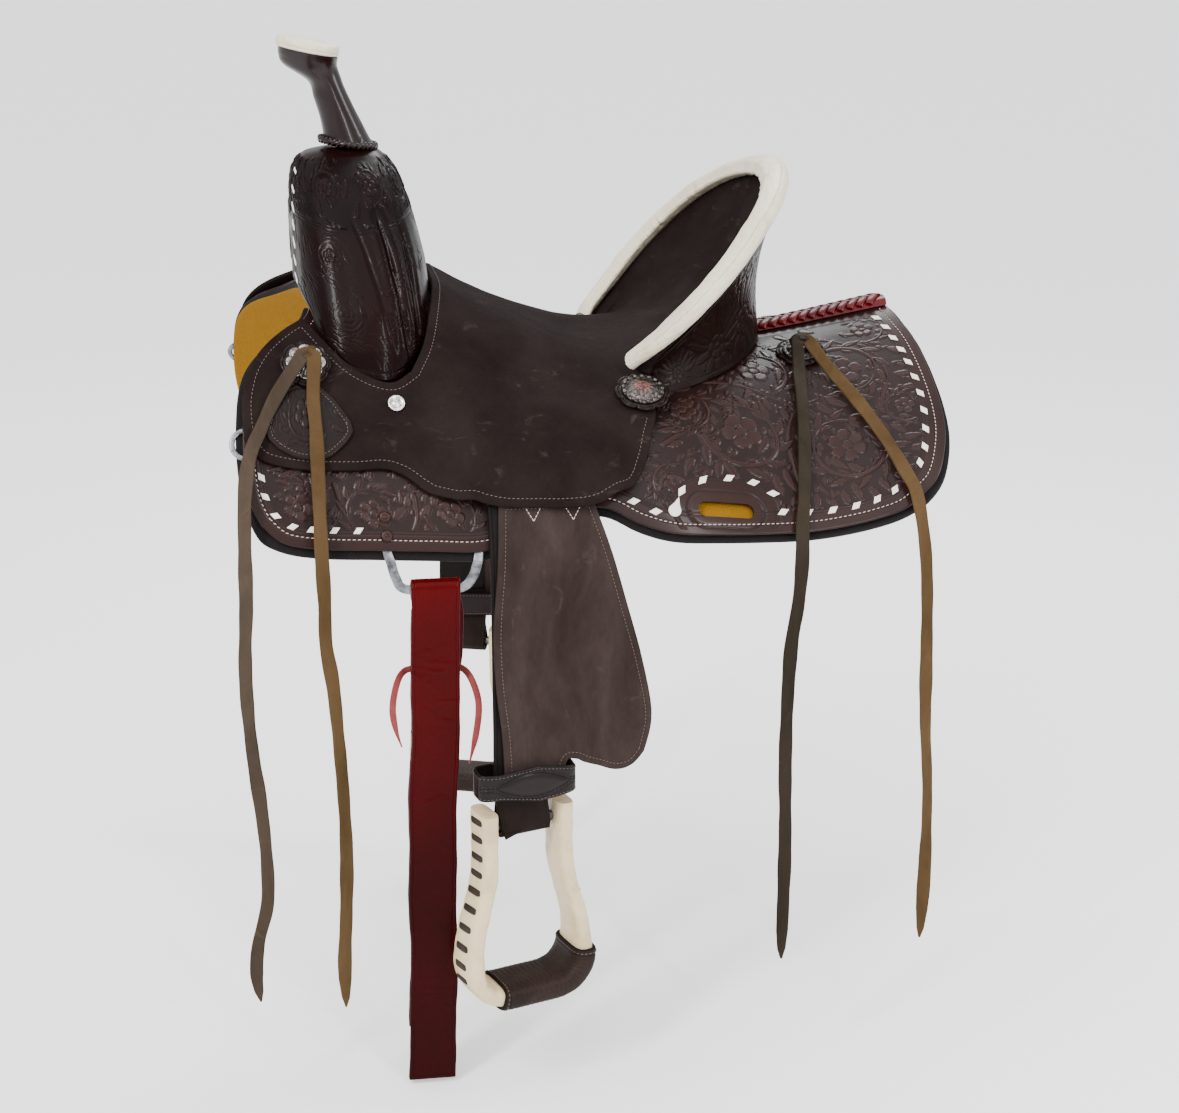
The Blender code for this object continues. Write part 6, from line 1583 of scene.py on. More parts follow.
lift = lift * smoothstep(0.0, 0.004, row_d) - 0.0004 * np.exp(-((row_d - 0.0058) / 0.0010) ** 2)
V, F, sw_edges, _ = sheet(gv, fq, gn, 0.0036, r=0.0011, lift=lift.ravel())
attr = np.full(len(V), 0.45)
attr[:ph.size] = np.clip(0.5 + 0.60 * ph, 0, 1).ravel()
piece("swell_leather", V, F, M_SWELL, "saddle", attr=attr, stands=("swell_cover",), slot="oxblood_leather")
# rows of flat lacing on the front corner of each side
inw = int(np.argmin(np.abs(ang - math.pi)))
for side, s in SIDES:
    at, nn, tt = [], [], []
    a = math.pi + (0.40 if s < 0 else -0.40)
    lowest = float(np.interp(a, ang, cut)) + 0.007
    for z in np.arange(0.197, lowest, -0.0155):
        e = 1e-3
        def fp(a_, z_):
            X_, Y_ = fork_point(np.array(a_), np.array(z_))
            return np.array([float(X_), float(Y_), float(z_)])
        p = fp(a, z)
        n = np.cross(fp(a + e, z) - p, fp(a, z + e) - p)
        n /= np.linalg.norm(n)
        if n @ np.array([-1, s, 0]) < 0:
            n = -n
        at.append(p + n * 0.0002)
        nn.append(n)
        tt.append(fp(a, z + e) - p)
    diamonds(f"swell_lozenges_{side}", np.array(at), np.array(nn), unit(np.array(tt)), "saddle", length=0.0128, wide=0.0068, slant=0.75)


# --------------------------------------------------------------------- horn
TILTED = math.radians(12.0)
CAP_N = np.array((math.sin(TILTED), 0, math.cos(TILTED)))
CAP_U = np.array((math.cos(TILTED), 0, -math.sin(TILTED)))
UNDER = np.array((-0.1920, 0.0, 0.3150)) - CAP_N * 0.0109
NECK = ((0.2162, -0.1835, -0.1300, 0.0235), (0.2245, -0.1815, -0.1365, 0.0210), (0.2410, -0.1840, -0.1450, 0.0185),
        (0.2590, -0.1890, -0.1535, 0.0172), (0.2750, -0.1940, -0.1605, 0.0172))
ctrl = [((f + r) / 2, z, 0.12, (r - f) / 2, h) for z, f, r, h in NECK]
for drop, hx, hy in ((0.016, 0.0230, 0.0200), (0.0075, 0.0262, 0.0245), (0.0, 0.0285, 0.0285)):
    more = {0.016: 0.0040, 0.0075: 0.0016, 0.0: 0.0}[drop]
    c = UNDER - CAP_N * drop + CAP_U * ((0.0015 if drop == 0 else 0.004 - 0.003 * (drop < 0.01)) + more)
    ctrl.append((c[0], c[2], TILTED, hx + more, hy))
NHR, NHA = 90 * fine, 96 * fine
prof = by_index(ctrl, NHR)
th = 2 * math.pi * np.arange(NHA) / NHA
tt = np.linspace(0, 1, NHR + 1)
outer, inner = [], []
for k, (cx, cz, tilt, hx, hy) in enumerate(prof):
    u = np.array((math.cos(tilt), 0, -math.sin(tilt)))
    # a strip wound upwards, each turn lapping the one below, with a glued seam
    phase = (th / (2 * math.pi) - tt[k] * 0.85 + 0.30) % 1.0
    lap = 0.0003 * smoothstep(0.0, 0.030, phase) * (1 - phase) ** 0.8 * math.sin(math.pi * min(max(tt[k], 0.0), 1.0)) ** 0.4
    lap += 0.00006 * np.sin(7 * th + 9 * tt[k]) * math.sin(math.pi * tt[k])
    c = np.array((cx, 0, cz))
    outer.append(c + u * ((hx + lap) * np.cos(th))[:, None] + np.array((0, 1, 0)) * ((hy + lap) * np.sin(th))[:, None])
    c2 = np.array((cx, 0, cz))
    inner.append(c2 + u * (0.0100 * np.cos(th))[:, None] + np.array((0, 1, 0)) * (0.0100 * np.sin(th))[:, None])
V, F = loft(outer + inner[::-1], loop=True)
piece("horn_wrapping", V, F, M_HORN, "saddle", stands=("horn_wrap",), slot="oxblood_leather", sharp=40)


def lathe(profile, centre, n, x, seg=64, shape=None, closed_axis=True):
    """Body of revolution. profile: (radius, height); shape(r, theta) gives (radius factor, height to add)."""
    n = np.asarray(n, float) / np.linalg.norm(n)
    x = np.asarray(x, float) - n * np.dot(x, n)
    x = x / np.linalg.norm(x)
    y = np.cross(n, x)
    a = 2 * math.pi * np.arange(seg) / seg
    rings = []
    for r, h in profile:
        fr, fh = (1.0, 0.0) if shape is None else shape(r, h, a)
        rr = r * fr * np.ones(seg)
        rings.append(centre + np.outer(rr * np.cos(a), x) + np.outer(rr * np.sin(a), y) + np.outer(h + fh * np.ones(seg), n))
    return loft(rings)


def cap_shape(r, h, a):
    edge = smoothstep(0.020, 0.030, np.array(r))
    return 1 + 0.006 * np.sin(5 * a + 1.0) * edge + 0.004 * np.sin(11 * a) * edge, 0.0002 * np.sin(3 * a + 0.7) * (h > 0.009)


CAP_PROFILE = ((0.0255, 0.0061), (0.0262, 0.0052), (0.0264, 0.0012), (0.0270, 0.0004), (0.0285, 0.0003), (0.0294, 0.0008), (0.0299, 0.0018),
               (0.0300, 0.0024), (0.0296, 0.0028), (0.0293, 0.0031), (0.0297, 0.0035), (0.0302, 0.0042), (0.0303, 0.0058), (0.0302, 0.0076),
               (0.0298, 0.0090), (0.0288, 0.0101), (0.0272, 0.0107), (0.0240, 0.0110), (0.0180, 0.0113), (0.0100, 0.0115), (0.0030, 0.0116))
V, F = lathe(CAP_PROFILE, UNDER, CAP_N, CAP_U, 96 * fine, cap_shape)
piece("horn_cap_rawhide", V, F, M_RAWHIDE, "saddle", stands=("horn_cap",), slot="rawhide", sharp=60)

# laced collar round the foot of the horn
nc_ = 260 * fine
a = 2 * math.pi * np.arange(nc_) / nc_
ring_c = np.stack([-0.1580 + 0.0268 * np.cos(a), 0.0252 * np.sin(a), 0.2192 - 0.0040 * np.cos(a)], axis=1)
T, W, Hd = frames(ring_c, (0, 0, 1), closed=True)
b = 2 * math.pi * np.arange(18) / 18
knob = 1 + 0.26 * np.abs(np.cos((b[None] * 2 + 20 * a[:, None]) / 2)) - 0.10 + 0.10 * np.abs(np.sin(10 * a))[:, None]
rings = ring_c[:, None] + W[:, None] * (0.0020 * knob * np.cos(b))[..., None] + Hd[:, None] * (0.0017 * knob * np.sin(b))[..., None]
V, F = loft(rings, loop=True)
piece("horn_collar_lacing", V, F, M_HORN, "saddle", stands=("horn_collar",), slot="oxblood_leather")

na_ = 34
a = 2 * math.pi * (np.arange(na_) + 0.5) / na_
kc = np.stack([-0.1580 + 0.0270 * np.cos(a), 0.0254 * np.sin(a), 0.2192 - 0.0040 * np.cos(a)], axis=1)
kx = unit(np.stack([-0.0310 * np.sin(a), 0.0280 * np.cos(a), 0.0035 * np.sin(a)], axis=1))
kz = unit(np.array((0.0, 0, 1.0)) + kx * 0.45)
kz = unit(kz - 0 * kx)
ky = unit(np.cross(kz, kx))
Vk, Fk = scatter(BALL[0] * np.array((0.0023, 0.0019, 0.0042)), BALL[1], kc, kx, ky, kz)
piece("horn_collar_knobs", Vk, Fk, M_HORN, "saddle", sharp=None)

# ------------------------------------------------------------------- cantle
CANTLE_FOOT = ((0.106, 0.146), (0.132, 0.143), (0.162, 0.130), (0.192, 0.108), (0.216, 0.080), (0.233, 0.051), (0.2405, 0.026),
               (0.2425, 0.0))
NB = 26 * (10 if QUICK else 20)


def both(half):
    """Near half and its mirror image as one even line."""
    P = np.asarray(half, float)
    P = np.vstack([P, (P * np.array([1, -1, 1]))[::-1][1:]])
    return even(spline(P, sub=40), NB)


rim_l = both([(x, -w, z) for x, w, z in RIM])
foot_l = both([(x, -w, float(hide(x, w))) for x, w in CANTLE_FOOT])
t = unit(np.gradient(rim_l, axis=0))
out_d = np.stack([rim_l[:, 0] - 0.150, rim_l[:, 1], 0.55 * (rim_l[:, 2] - 0.060)], axis=1)
out_d = unit(out_d - t * np.einsum("ij,ij->i", t, out_d)[:, None])
up_d = np.cross(t, out_d)
up_d *= np.where(up_d[:, 2:3] < 0, -1, 1)
BA, BB = unit(out_d * 0.985 - up_d * 0.17), unit(out_d * 0.17 + up_d * 0.985)
i26 = np.linspace(0, 26, NB + 1)
taper = 0.80 + 0.20 * smoothstep(0, 3, np.minimum(i26, 26 - i26))
s_rim = arc(rim_l)
rng = np.random.default_rng(5)
rag = np.interp(s_rim, np.linspace(0, s_rim[-1], 150), rng.normal(0, 1, 150))
rag2 = np.interp(s_rim, np.linspace(0, s_rim[-1], 420), rng.normal(0, 1, 420))
NG = 96
g = 2 * math.pi * (np.arange(NG) + 0.5) / NG
cg, sg = np.cos(g), np.sin(g)
ex, ey = np.sign(cg) * np.abs(cg) ** 0.80, np.sign(sg) * np.abs(sg) ** 0.86
inner_side = (cg < -0.55)
hw = 0.0134 * taper[:, None] * np.ones(NG)[None] + np.where(inner_side[None], (0.00055 * rag + 0.00030 * rag2)[:, None], 0.0)
ht = 0.00825 * taper[:, None] * (1 + 0.03 * np.sin(s_rim * 120)[:, None] * (sg > 0)[None])
# the inner flap of the rolled hide lies thin against the seat
thin = np.where(cg < -0.35, 1 - 0.45 * smoothstep(-0.35, -0.95, cg), 1.0)[None]
rings = (rim_l + BB * 0.0084)[:, None] + BA[:, None] * (hw * ex[None])[..., None] + BB[:, None] * (ht * ey[None] * thin - (1 - thin) * 0.0030)[..., None]
lap_at = 0.62 + 0.05 * rag[:, None] + 0.035 * rag2[:, None]
gg_ = (g[None] + math.pi) % (2 * math.pi) - math.pi
lap_ = 0.0014 * smoothstep(lap_at + 0.05, lap_at - 0.02, gg_) * smoothstep(-1.9, -1.5, gg_) - 0.0009 * np.exp(-((gg_ - lap_at - 0.06) / 0.050) ** 2)
crump = 0.00018 * np.sin(s_rim[:, None] * 260 + 4 * np.sin(gg_ * 2)) * np.sin(gg_ * 5 + s_rim[:, None] * 40)
rings = rings + (BA[:, None] * np.cos(g)[None, :, None] + BB[:, None] * np.sin(g)[None, :, None]) * ((lap_ + crump) * taper[:, None])[..., None]
off_end = -1 if rim_l[-1, 1] > rim_l[0, 1] else 0
out_of = unit(rings[off_end].mean(0) - rings[off_end - 4 if off_end else 4].mean(0)) + np.array((0, 0, -0.35))
extra = np.stack([rings[off_end] + unit(out_of) * 0.0012 * q for q in range(1, 11)])
rings = np.concatenate([rings, extra]) if off_end else np.concatenate([extra[::-1], rings])
inner_pts = []
for lo, hi in ((0.0010, 0.0), (0.0010, -0.0190)):
    inner_pts.append(rim_l + BA * hi + BB * lo)
inner_top = rim_l - BA * 0.0136 - BB * 0.0080
strip_a, strip_b = inner_pts[0], inner_top
Vf, Ff = loft(np.stack([strip_a, strip_b, strip_b - BB * 0.0022, strip_a - BB * 0.0022], axis=1))
piece("dish_edge_leather", Vf, Ff, M_SEAT, "saddle", sharp=50)
V, F = loft(rings)
piece("cantle_rawhide_binding", V, F, M_RAWHIDE, "saddle", stands=("cantle_binding",), slot="rawhide", sharp=60)

# leather over the back, carved with fans of leaves
k0, k1 = int(0.7 * NB / 26), NB - int(0.7 * NB / 26)
rr, fo = rim_l[k0:k1 + 1], foot_l[k0:k1 + 1]
NV = 70 * fine
share = np.linspace(0, 0.975, NV + 1)
top_v = 0.0120 / np.linalg.norm(rr - fo, axis=1)
vv = top_v[None] + (1 - top_v[None]) * share[:, None]
off = np.interp(share, (0.0, 0.24, 0.60, 0.92, 0.975), (0.0030, 0.0012, 0.0, 0.0, 0.0))
Pb = rr[None] + (fo - rr)[None] * vv[..., None]
away = np.stack([Pb[..., 0] - 0.110, Pb[..., 1], np.zeros_like(vv)], axis=-1)
away = unit(away)
Pb = Pb + away * (-0.010 * np.sin(math.pi * vv) + off[:, None])[..., None]
Pb[..., 2] = np.maximum(Pb[..., 2], hide(Pb[..., 0], np.abs(Pb[..., 1])) + 0.0010)
mid_s = arc(Pb[NV // 2])
uu = np.repeat(mid_s[None], NV + 1, 0)
hh = np.concatenate([np.zeros((1, Pb.shape[1])), np.cumsum(np.linalg.norm(np.diff(Pb[::-1], axis=0), axis=2), axis=0)])[::-1]
bc = Canvas(-0.005, mid_s[-1] + 0.005, -0.005, float(hh.max()) + 0.01, 0.0006)
nfan = 9
for k in range(nfan):
    u0 = mid_s[-1] * (k + 0.5) / nfan
    tall = float(np.interp(u0, mid_s, hh[0]))
    size = min(0.050, tall * 0.42)
    flower(bc, u0, tall * 0.30, size * 0.30, 5, 0.6 * k)
    for m in range(9):
        ang_ = math.radians(8 + 164 * m / 8)
        leaf(bc, u0 + 0.3 * size * math.cos(ang_), tall * 0.30 + 0.3 * size * math.sin(ang_), ang_, size * (0.75 + 0.25 * math.sin(ang_)),
             size * 0.24, curve=0.25 * math.cos(ang_), lobes=5)
    for m in range(5):
        ang_ = math.radians(200 + 140 * m / 4)
        leaf(bc, u0 + 0.3 * size * math.cos(ang_), tall * 0.30 + 0.3 * size * math.sin(ang_), ang_, size * 0.5, size * 0.2, lobes=3)
for k in range(nfan + 1):
    u0 = mid_s[-1] * k / nfan
    tall = float(np.interp(u0, mid_s, hh[0]))
    if tall > 0.05:
        flower(bc, u0, tall * 0.72, 0.0125, 6, 0.4 * k)
        for m in range(8):
            ang_ = 2 * math.pi * m / 8 + 0.3
            leaf(bc, u0 + 0.012 * math.cos(ang_), tall * 0.72 + 0.012 * math.sin(ang_), ang_, 0.019, 0.0085, curve=0.2, lobes=3)
for k in range(260):
    u0, v0 = mid_s[-1] * ((k * 0.61803398875) % 1.0), 0.004 + 0.13 * ((k * 0.75487766625) % 1.0)
    i, j = int((u0 - bc.x0) / bc.res), int((v0 - bc.y0) / bc.res)
    if 0 <= i < bc.nx and 0 <= j < bc.ny and not bc.busy[j, i]:
        leaf(bc, u0, v0, (k * 2.39996) % 6.28, 0.016, 0.0080, curve=0.3 * (-1) ** k, lobes=4)
bi = np.clip(((uu - bc.x0) / bc.res).astype(int), 0, bc.nx - 1)
bj = np.clip(((hh - bc.y0) / bc.res).astype(int), 0, bc.ny - 1)
ew = np.minimum(np.minimum(hh, hh[0][None] - hh), np.minimum(uu, mid_s[-1] - uu))
ph = np.where(bc.busy[bj, bi], bc.sample(uu, hh), -0.40 + matting(uu, hh)) * smoothstep(0.0050, 0.0066, ew)
ph -= 0.55 * np.exp(-((ew - 0.0050) / 0.0006) ** 2)
V, F, N, rim, k = shell_grid(Pb, 0.0030, Pb + away * 0.05, r=0.0008, lift=ph * 0.00060)
attr = np.full(len(V), 0.45)
attr[:ph.size] = np.clip(0.5 + 0.62 * ph, 0, 1).ravel()
piece("cantle_back_leather", V, [F], M_BACK, "saddle", attr=attr, stands=("cantle_back_cover",), slot="oxblood_leather")

# --------------------------------------------------- braid between the skirts
xs = np.linspace(0.243, 0.374, 60 * fine + 1)
sec = ((-0.0150, 0.0006), (-0.0142, 0.0020), (-0.0120, 0.0030), (-0.0080, 0.0042), (-0.0040, 0.0050), (0.0, 0.0052), (0.0040, 0.0050),
       (0.0080, 0.0042), (0.0120, 0.0030), (0.0142, 0.0020), (0.0150, 0.0006), (0.0130, 0.0004), (0.0062, -0.0004), (0.0055, -0.0085),
       (-0.0055, -0.0085), (-0.0062, -0.0004), (-0.0130, 0.0004))
rings = []
for x in xs:
    z0 = float(hide(np.array(x), np.array(0.0))) + 0.0010
    rings.append([(x, dy, z0 + dz + (float(hide(np.array(x), np.array(abs(dy)))) - z0 + 0.0012 if abs(dy) > 0.012 else 0.0)) for dy, dz in sec])
V, F = loft(rings)
piece("skirt_braid_core", V, F, M_BRAID, "saddle", stands=("skirt_lacing",), slot="lace", sharp=60)
# chevrons: flat thongs laid over each other from both sides
Vs, Fs, cnt = [], [], 0
for k in range(13):
    for s in (-1, 1):
        x0 = 0.2475 + k * 0.0099 + (0.0025 if s > 0 else 0.0)
        f = np.linspace(0, 1, 15)
        P = np.stack([x0 - 0.0105 * f, s * (-0.0015 + 0.0160 * f), np.zeros(15)], axis=1)
        base = hide(P[:, 0], np.abs(P[:, 1])) + 0.0010
        crest = np.interp(np.abs(P[:, 1]), (0, 0.008, 0.012, 0.0145, 0.016), (0.0060, 0.0052, 0.0040, 0.0024, 0.0012))
        P[:, 2] = hide(P[:, 0], P[:, 0] * 0) + 0.0010 + crest + 0.0012 * np.sin(math.pi * f) ** 0.5 * 0.6
        T = unit(np.gradient(P, axis=0))
        Wd = unit(np.cross(np.array([0, 0, 1.0]), T))
        Hd = np.cross(T, Wd)
        Hd *= np.sign(Hd[:, 2:3])
        sc2 = np.array([(-0.0037, 0), (-0.0034, 0.0010), (-0.0020, 0.0017), (0, 0.0019), (0.0020, 0.0017), (0.0034, 0.0010), (0.0037, 0), (0, -0.0006)])
        R = P[:, None] + Wd[:, None] * sc2[None, :, 0:1] + Hd[:, None] * sc2[None, :, 1:2]
        V, F = loft(R)
        if volume(V - V.mean(0), F) < 0:
            F = [q[:, ::-1] for q in F]
        Vs.append(V)
        Fs.append([q + cnt for q in F])
        cnt += len(V)
piece("skirt_braid", np.concatenate(Vs), [np.concatenate([f[0] for f in Fs]), np.concatenate([f[1] for f in Fs])], M_BRAID, "saddle")


# -------------------------------------------------- dees, rivets and conchos
DEE_PATH = ((-0.0415, 0.0130), (-0.0425, 0.0000), (-0.0395, -0.0110), (-0.0350, -0.0260), (-0.0265, -0.0372), (0.0060, -0.0385),
            (0.0250, -0.0380), (0.0340, -0.0290), (0.0385, -0.0110), (0.0400, 0.0000), (0.0390, 0.0130), (0.0300, 0.0165),
            (0.0, 0.0170), (-0.0320, 0.0165))
DEE_AT, DEE_SET = (-0.1035, 0.2465), 0.0100
BAR_SECTION = np.array([(0.0043, 0.0004), (0.0040, 0.0008), (0.0033, 0.0010), (0, 0.0011), (-0.0033, 0.0010), (-0.0040, 0.0008), (-0.0043, 0.0004),
                        (-0.0043, -0.0004), (-0.0040, -0.0008), (-0.0033, -0.0010), (0, -0.0010), (0.0033, -0.0010), (0.0040, -0.0008), (0.0043, -0.0004)])


def one(surface, x, w, off, s):
    return lay(surface, np.array([x]), np.array([w]), off, s)[0]


def dee(side, s):
    depth = -SKIRT_T - 0.0012
    middle = one(hide, *DEE_AT, depth, s)
    knee = -0.0110
    path = even(spline(DEE_PATH, closed=True), 220, closed=True)

    def place(a, b):
        foot = one(hide, DEE_AT[0] + a, DEE_AT[1], depth, s)
        rise_ = one(hide, DEE_AT[0] + a, DEE_AT[1] - 0.0120, depth, s) - foot
        rise_ = rise_ / np.linalg.norm(rise_)
        if b >= knee:
            return foot + rise_ * b
        share_ = min((knee - b) / 0.02, 1.0)
        return foot + rise_ * knee + np.array((0, -s * DEE_SET * share_, b - knee + (middle[2] - foot[2]) * share_))
    C = np.array([place(a_, b_) for a_, b_ in path])
    tangent = one(hide, DEE_AT[0], DEE_AT[1] - 0.0120, depth, s) - middle
    tangent /= np.linalg.norm(tangent)
    n = np.array((0, tangent[2] * s, -tangent[1] * s))
    w_ = smoothstep(knee - 0.004, knee + 0.004, path[:, 1])[:, None]
    face = unit(n * w_ + np.array((0, s, 0)) * (1 - w_))
    T_ = unit(np.roll(C, -1, 0) - np.roll(C, 1, 0))
    out = unit(np.cross(face, T_))
    face2 = np.cross(T_, out)
    R = C[:, None] + out[:, None] * BAR_SECTION[None, :, 0:1] + face2[:, None] * (BAR_SECTION[None, :, 1:2] * 0.9)
    V, F = loft(R, loop=True)
    piece(f"rigging_dee_steel_{side}", V, F, M_STEEL, "saddle", stands=(f"rigging_dee_{side}",), slot="steel", sharp=45)


RIVET = ((0.0030, 0.0), (0.0052, 0.0), (0.00545, 0.0003), (0.0054, 0.0008), (0.0050, 0.0013), (0.0042, 0.0017), (0.0030, 0.0019), (0.0022, 0.0018),
         (0.0019, 0.0022), (0.0012, 0.0025), (0.0004, 0.0026))


def rose(lobes, deep, r0, r1, scallop=0.0):
    def shape(r, h, a_):
        w_ = smoothstep(r0 * 0.5, r0, np.array(r)) * (1 - smoothstep(r1, r1 * 1.1, np.array(r)) * (scallop == 0))
        petal = np.abs(np.cos(lobes * a_ / 2))
        return 1.0 - scallop * smoothstep(r0, r1 * 1.2, np.array(r)) * (1 - petal ** 0.55), deep * w_ * (petal ** 0.7 - 0.5) * (h > 0.0009)
    return shape


def rosette(name, centre, n, r, body, stands):
    def shape(rad, h, a_):
        k = smoothstep(0.55 * r, r, np.array(rad))
        crimp = np.sqrt(np.abs(np.cos(4 * a_)))
        return 1 + k * (0.105 * crimp - 0.070), -0.0004 * k * (1 - crimp) * (h > 0.0012)
    prof_ = ((0.0020, 0.0), (r * 0.9, 0.0), (r * 0.985, 0.0003), (r, 0.0010), (r * 0.99, 0.0018), (r * 0.965, 0.0024), (r * 0.93, 0.0026),
             (r * 0.90, 0.0021), (r * 0.88, 0.0019), (r * 0.86, 0.0024), (r * 0.80, 0.0026), (r * 0.5, 0.0026), (0.0010, 0.0026))
    V, F = lathe(prof_, centre, n, (1, 0, 0), 96 * fine, shape)
    attr_ = np.full(len(V), 0.45)
    return piece(name, V, F, M_BACK, body, attr=attr_, stands=stands, slot="tooled_leather", sharp=45)


def concho(name, centre, n, r, dome, plate_mat, dome_mat, stands, berries=34, lobes=10, scallop=0.0):
    prof_ = [(0.0008, 0.0), (r * 0.96, 0.0), (r, 0.0003), (r, 0.0010), (r * 0.985, 0.0014), (r * 0.95, 0.0016), (r * 0.84, 0.0014),
             (r * 0.80, 0.0012)]
    for f in np.linspace(0.78, 0.0, 20):
        prof_.append((max(r * f, 0.0005), 0.0012 + (dome + 0.0006) * (1 - (f / 0.78) ** 2.2) ** 0.8))
    V, F = lathe(prof_, centre, n, (1, 0, 0), 120 * fine, rose(lobes, 0.0013 if scallop else 0.0007, r * 0.34, r * 0.70, scallop))
    ob = piece(name, V, F, plate_mat, "saddle", stands=stands, slot="silver", sharp=50)
    if dome_mat is not plate_mat:
        ob.data.materials.append(dome_mat)
        P_ = V - centre
        rad_ = np.linalg.norm(P_ - np.outer(P_ @ n, n), axis=1)
        high_ = P_ @ n
        for p in ob.data.polygons:
            vs = list(p.vertices)
            if rad_[vs].mean() < r * 0.40 and high_[vs].mean() > 0.0011:
                p.material_index = 1
    x_ = np.array((1.0, 0, 0)) - n * n[0]
    x_ /= np.linalg.norm(x_)
    y_ = np.cross(n, x_)
    for label, count, rad_, size in (("rim", berries if not scallop else lobes, r * 0.93, r * (0.122 if berries < 20 else 0.070)), ("inner", lobes * 2, r * 0.30, r * 0.045)):
        a_ = 2 * math.pi * np.arange(count) / count
        hgt = 0.0015 if label == "rim" else 0.0012 + (dome + 0.0006) * (1 - (0.30 / 0.78) ** 2.2) ** 0.8
        C_ = centre + np.outer(rad_ * np.cos(a_), x_) + np.outer(rad_ * np.sin(a_), y_) + n * hgt
        ones = np.ones((count, 1))
        Vb, Fb = scatter(BALL[0] * size, BALL[1], C_, ones * x_, ones * y_, ones * n)
        piece(f"{name}_{label}_beads", Vb, Fb, plate_mat if label == "rim" else dome_mat, "saddle", sharp=None)
    return ob


for side, s in SIDES:
    dee(side, s)
    for k, (x, w) in enumerate(((-0.1467, 0.2350), (-0.1458, 0.2418))):
        n = surface_normal(hide, np.array([x]), np.array([w]), s)[0]
        V, F = lathe(RIVET, one(hide, x, w, 0.0004, s), n, (1, 0, 0), 40)
        piece(f"rivet_{side}_{k + 1}", V, F, M_COPPER, "saddle", stands=(f"rigging_rivet_{side}_{k + 1}",), slot="copper", sharp=40)
    n = surface_normal(hide, np.array([-0.2660]), np.array([0.2080]), s)[0]
    c = one(hide, -0.2660, 0.2080, -SKIRT_T - 0.0017, s)
    x_ = np.array((1.0, 0, 0)) - n * n[0]
    x_ /= np.linalg.norm(x_)
    y_ = np.cross(n, x_)
    a = 2 * math.pi * np.arange(90) / 90
    b = 2 * math.pi * np.arange(14) / 14
    rad = np.outer(np.cos(a), x_) + np.outer(np.sin(a), y_)
    R = c + rad[:, None] * (0.0130 + 0.0025 * np.sign(np.cos(b)) * np.abs(np.cos(b)) ** 0.7)[None, :, None] + n * (0.00085 * np.sin(b))[None, :, None]
    V, F = loft(R, loop=True)
    piece(f"breast_dee_{side}", V, F, M_STEEL, "saddle", stands=(f"breast_collar_dee_{side}",), slot="steel")
    # seat screw in its cup washer
    n = surface_normal(seat_surface, np.array([-0.131]), np.array([0.1880]), s)[0]
    V, F = lathe(((0.0010, 0.0), (0.0074, 0.0), (0.0079, 0.0004), (0.0079, 0.0010), (0.0075, 0.0016), (0.0068, 0.0019), (0.0060, 0.0018),
                  (0.0052, 0.0013), (0.0048, 0.0012), (0.0046, 0.0016), (0.0043, 0.0022), (0.0034, 0.0028), (0.0020, 0.0031), (0.0004, 0.0032)),
                 one(seat_surface, -0.131, 0.1880, 0.0011, s), n, (1, 0, 0), 56)
    piece(f"screw_{side}", V, F, M_SCREW, "saddle", stands=(f"seat_screw_{side}",), slot="silver", sharp=40)
    for label, surf, x, w, rr_, rc_, lift_, dome in (("front", seat_surface, -0.2110, 0.1690, 0.0225, 0.0180, 0.0046, 0.0030),
                                                     ("corner", seat_surface, 0.0985, 0.1660, 0.0255, 0.0195, 0.0030, 0.0050),
                                                     ("rear", hide, 0.2725, 0.0715, 0.0240, 0.0185, 0.0006, 0.0036)):
        n = surface_normal(surf, np.array([x]), np.array([w]), s)[0]
        c = one(surf, x, w, lift_, s)
        rosette(f"{label}_rosette_leather_{side}", c, n, rr_, "saddle", (f"{label}_rosette_{side}",))
        plate = M_SILVER if label == "front" else M_SILVER_DARK
        concho(f"{label}_concho_metal_{side}", c + n * 0.0030, n, rc_, dome * 0.8, plate, M_ROSE if label == "corner" else plate,
               (f"{label}_concho_{side}",), lobes=10 if label == "corner" else 8, berries=17 if label == "corner" else 22,
               scallop=0.17 if label == "front" else 0.0)


# ------------------------------------------------------ fenders and leathers
YAW, FOOT_TURN, BOLT_Z = math.radians(19.0), math.radians(10.0), -0.378
E1 = np.array((math.cos(YAW), math.sin(YAW), 0))
E2 = np.array((-math.sin(YAW), math.cos(YAW), 0))
BOLT = np.array((-0.0290, -0.2612, BOLT_Z))
FENDER_TOP = ((-0.0445, -0.076), (-0.022, -0.076), (0.016, -0.076), (0.040, -0.076))
FENDER_FRONT = ((-0.0445, -0.076), (-0.048, -0.130), (-0.053, -0.190), (-0.052, -0.240), (-0.047, -0.290), (-0.045, -0.345))
FENDER_REAR = ((0.040, -0.076), (0.053, -0.115), (0.068, -0.170), (0.083, -0.225), (0.094, -0.280), (0.088, -0.317))
FENDER_HEM = ((-0.045, -0.345), (-0.026, -0.346), (-0.008, -0.346), (0.007, -0.344), (0.0095, -0.330), (0.0135, -0.3165),
              (0.0225, -0.3165), (0.031, -0.321), (0.043, -0.3255), (0.061, -0.3320), (0.077, -0.329), (0.088, -0.317))
MIRROR = np.array((1.0, -1.0, 1.0))


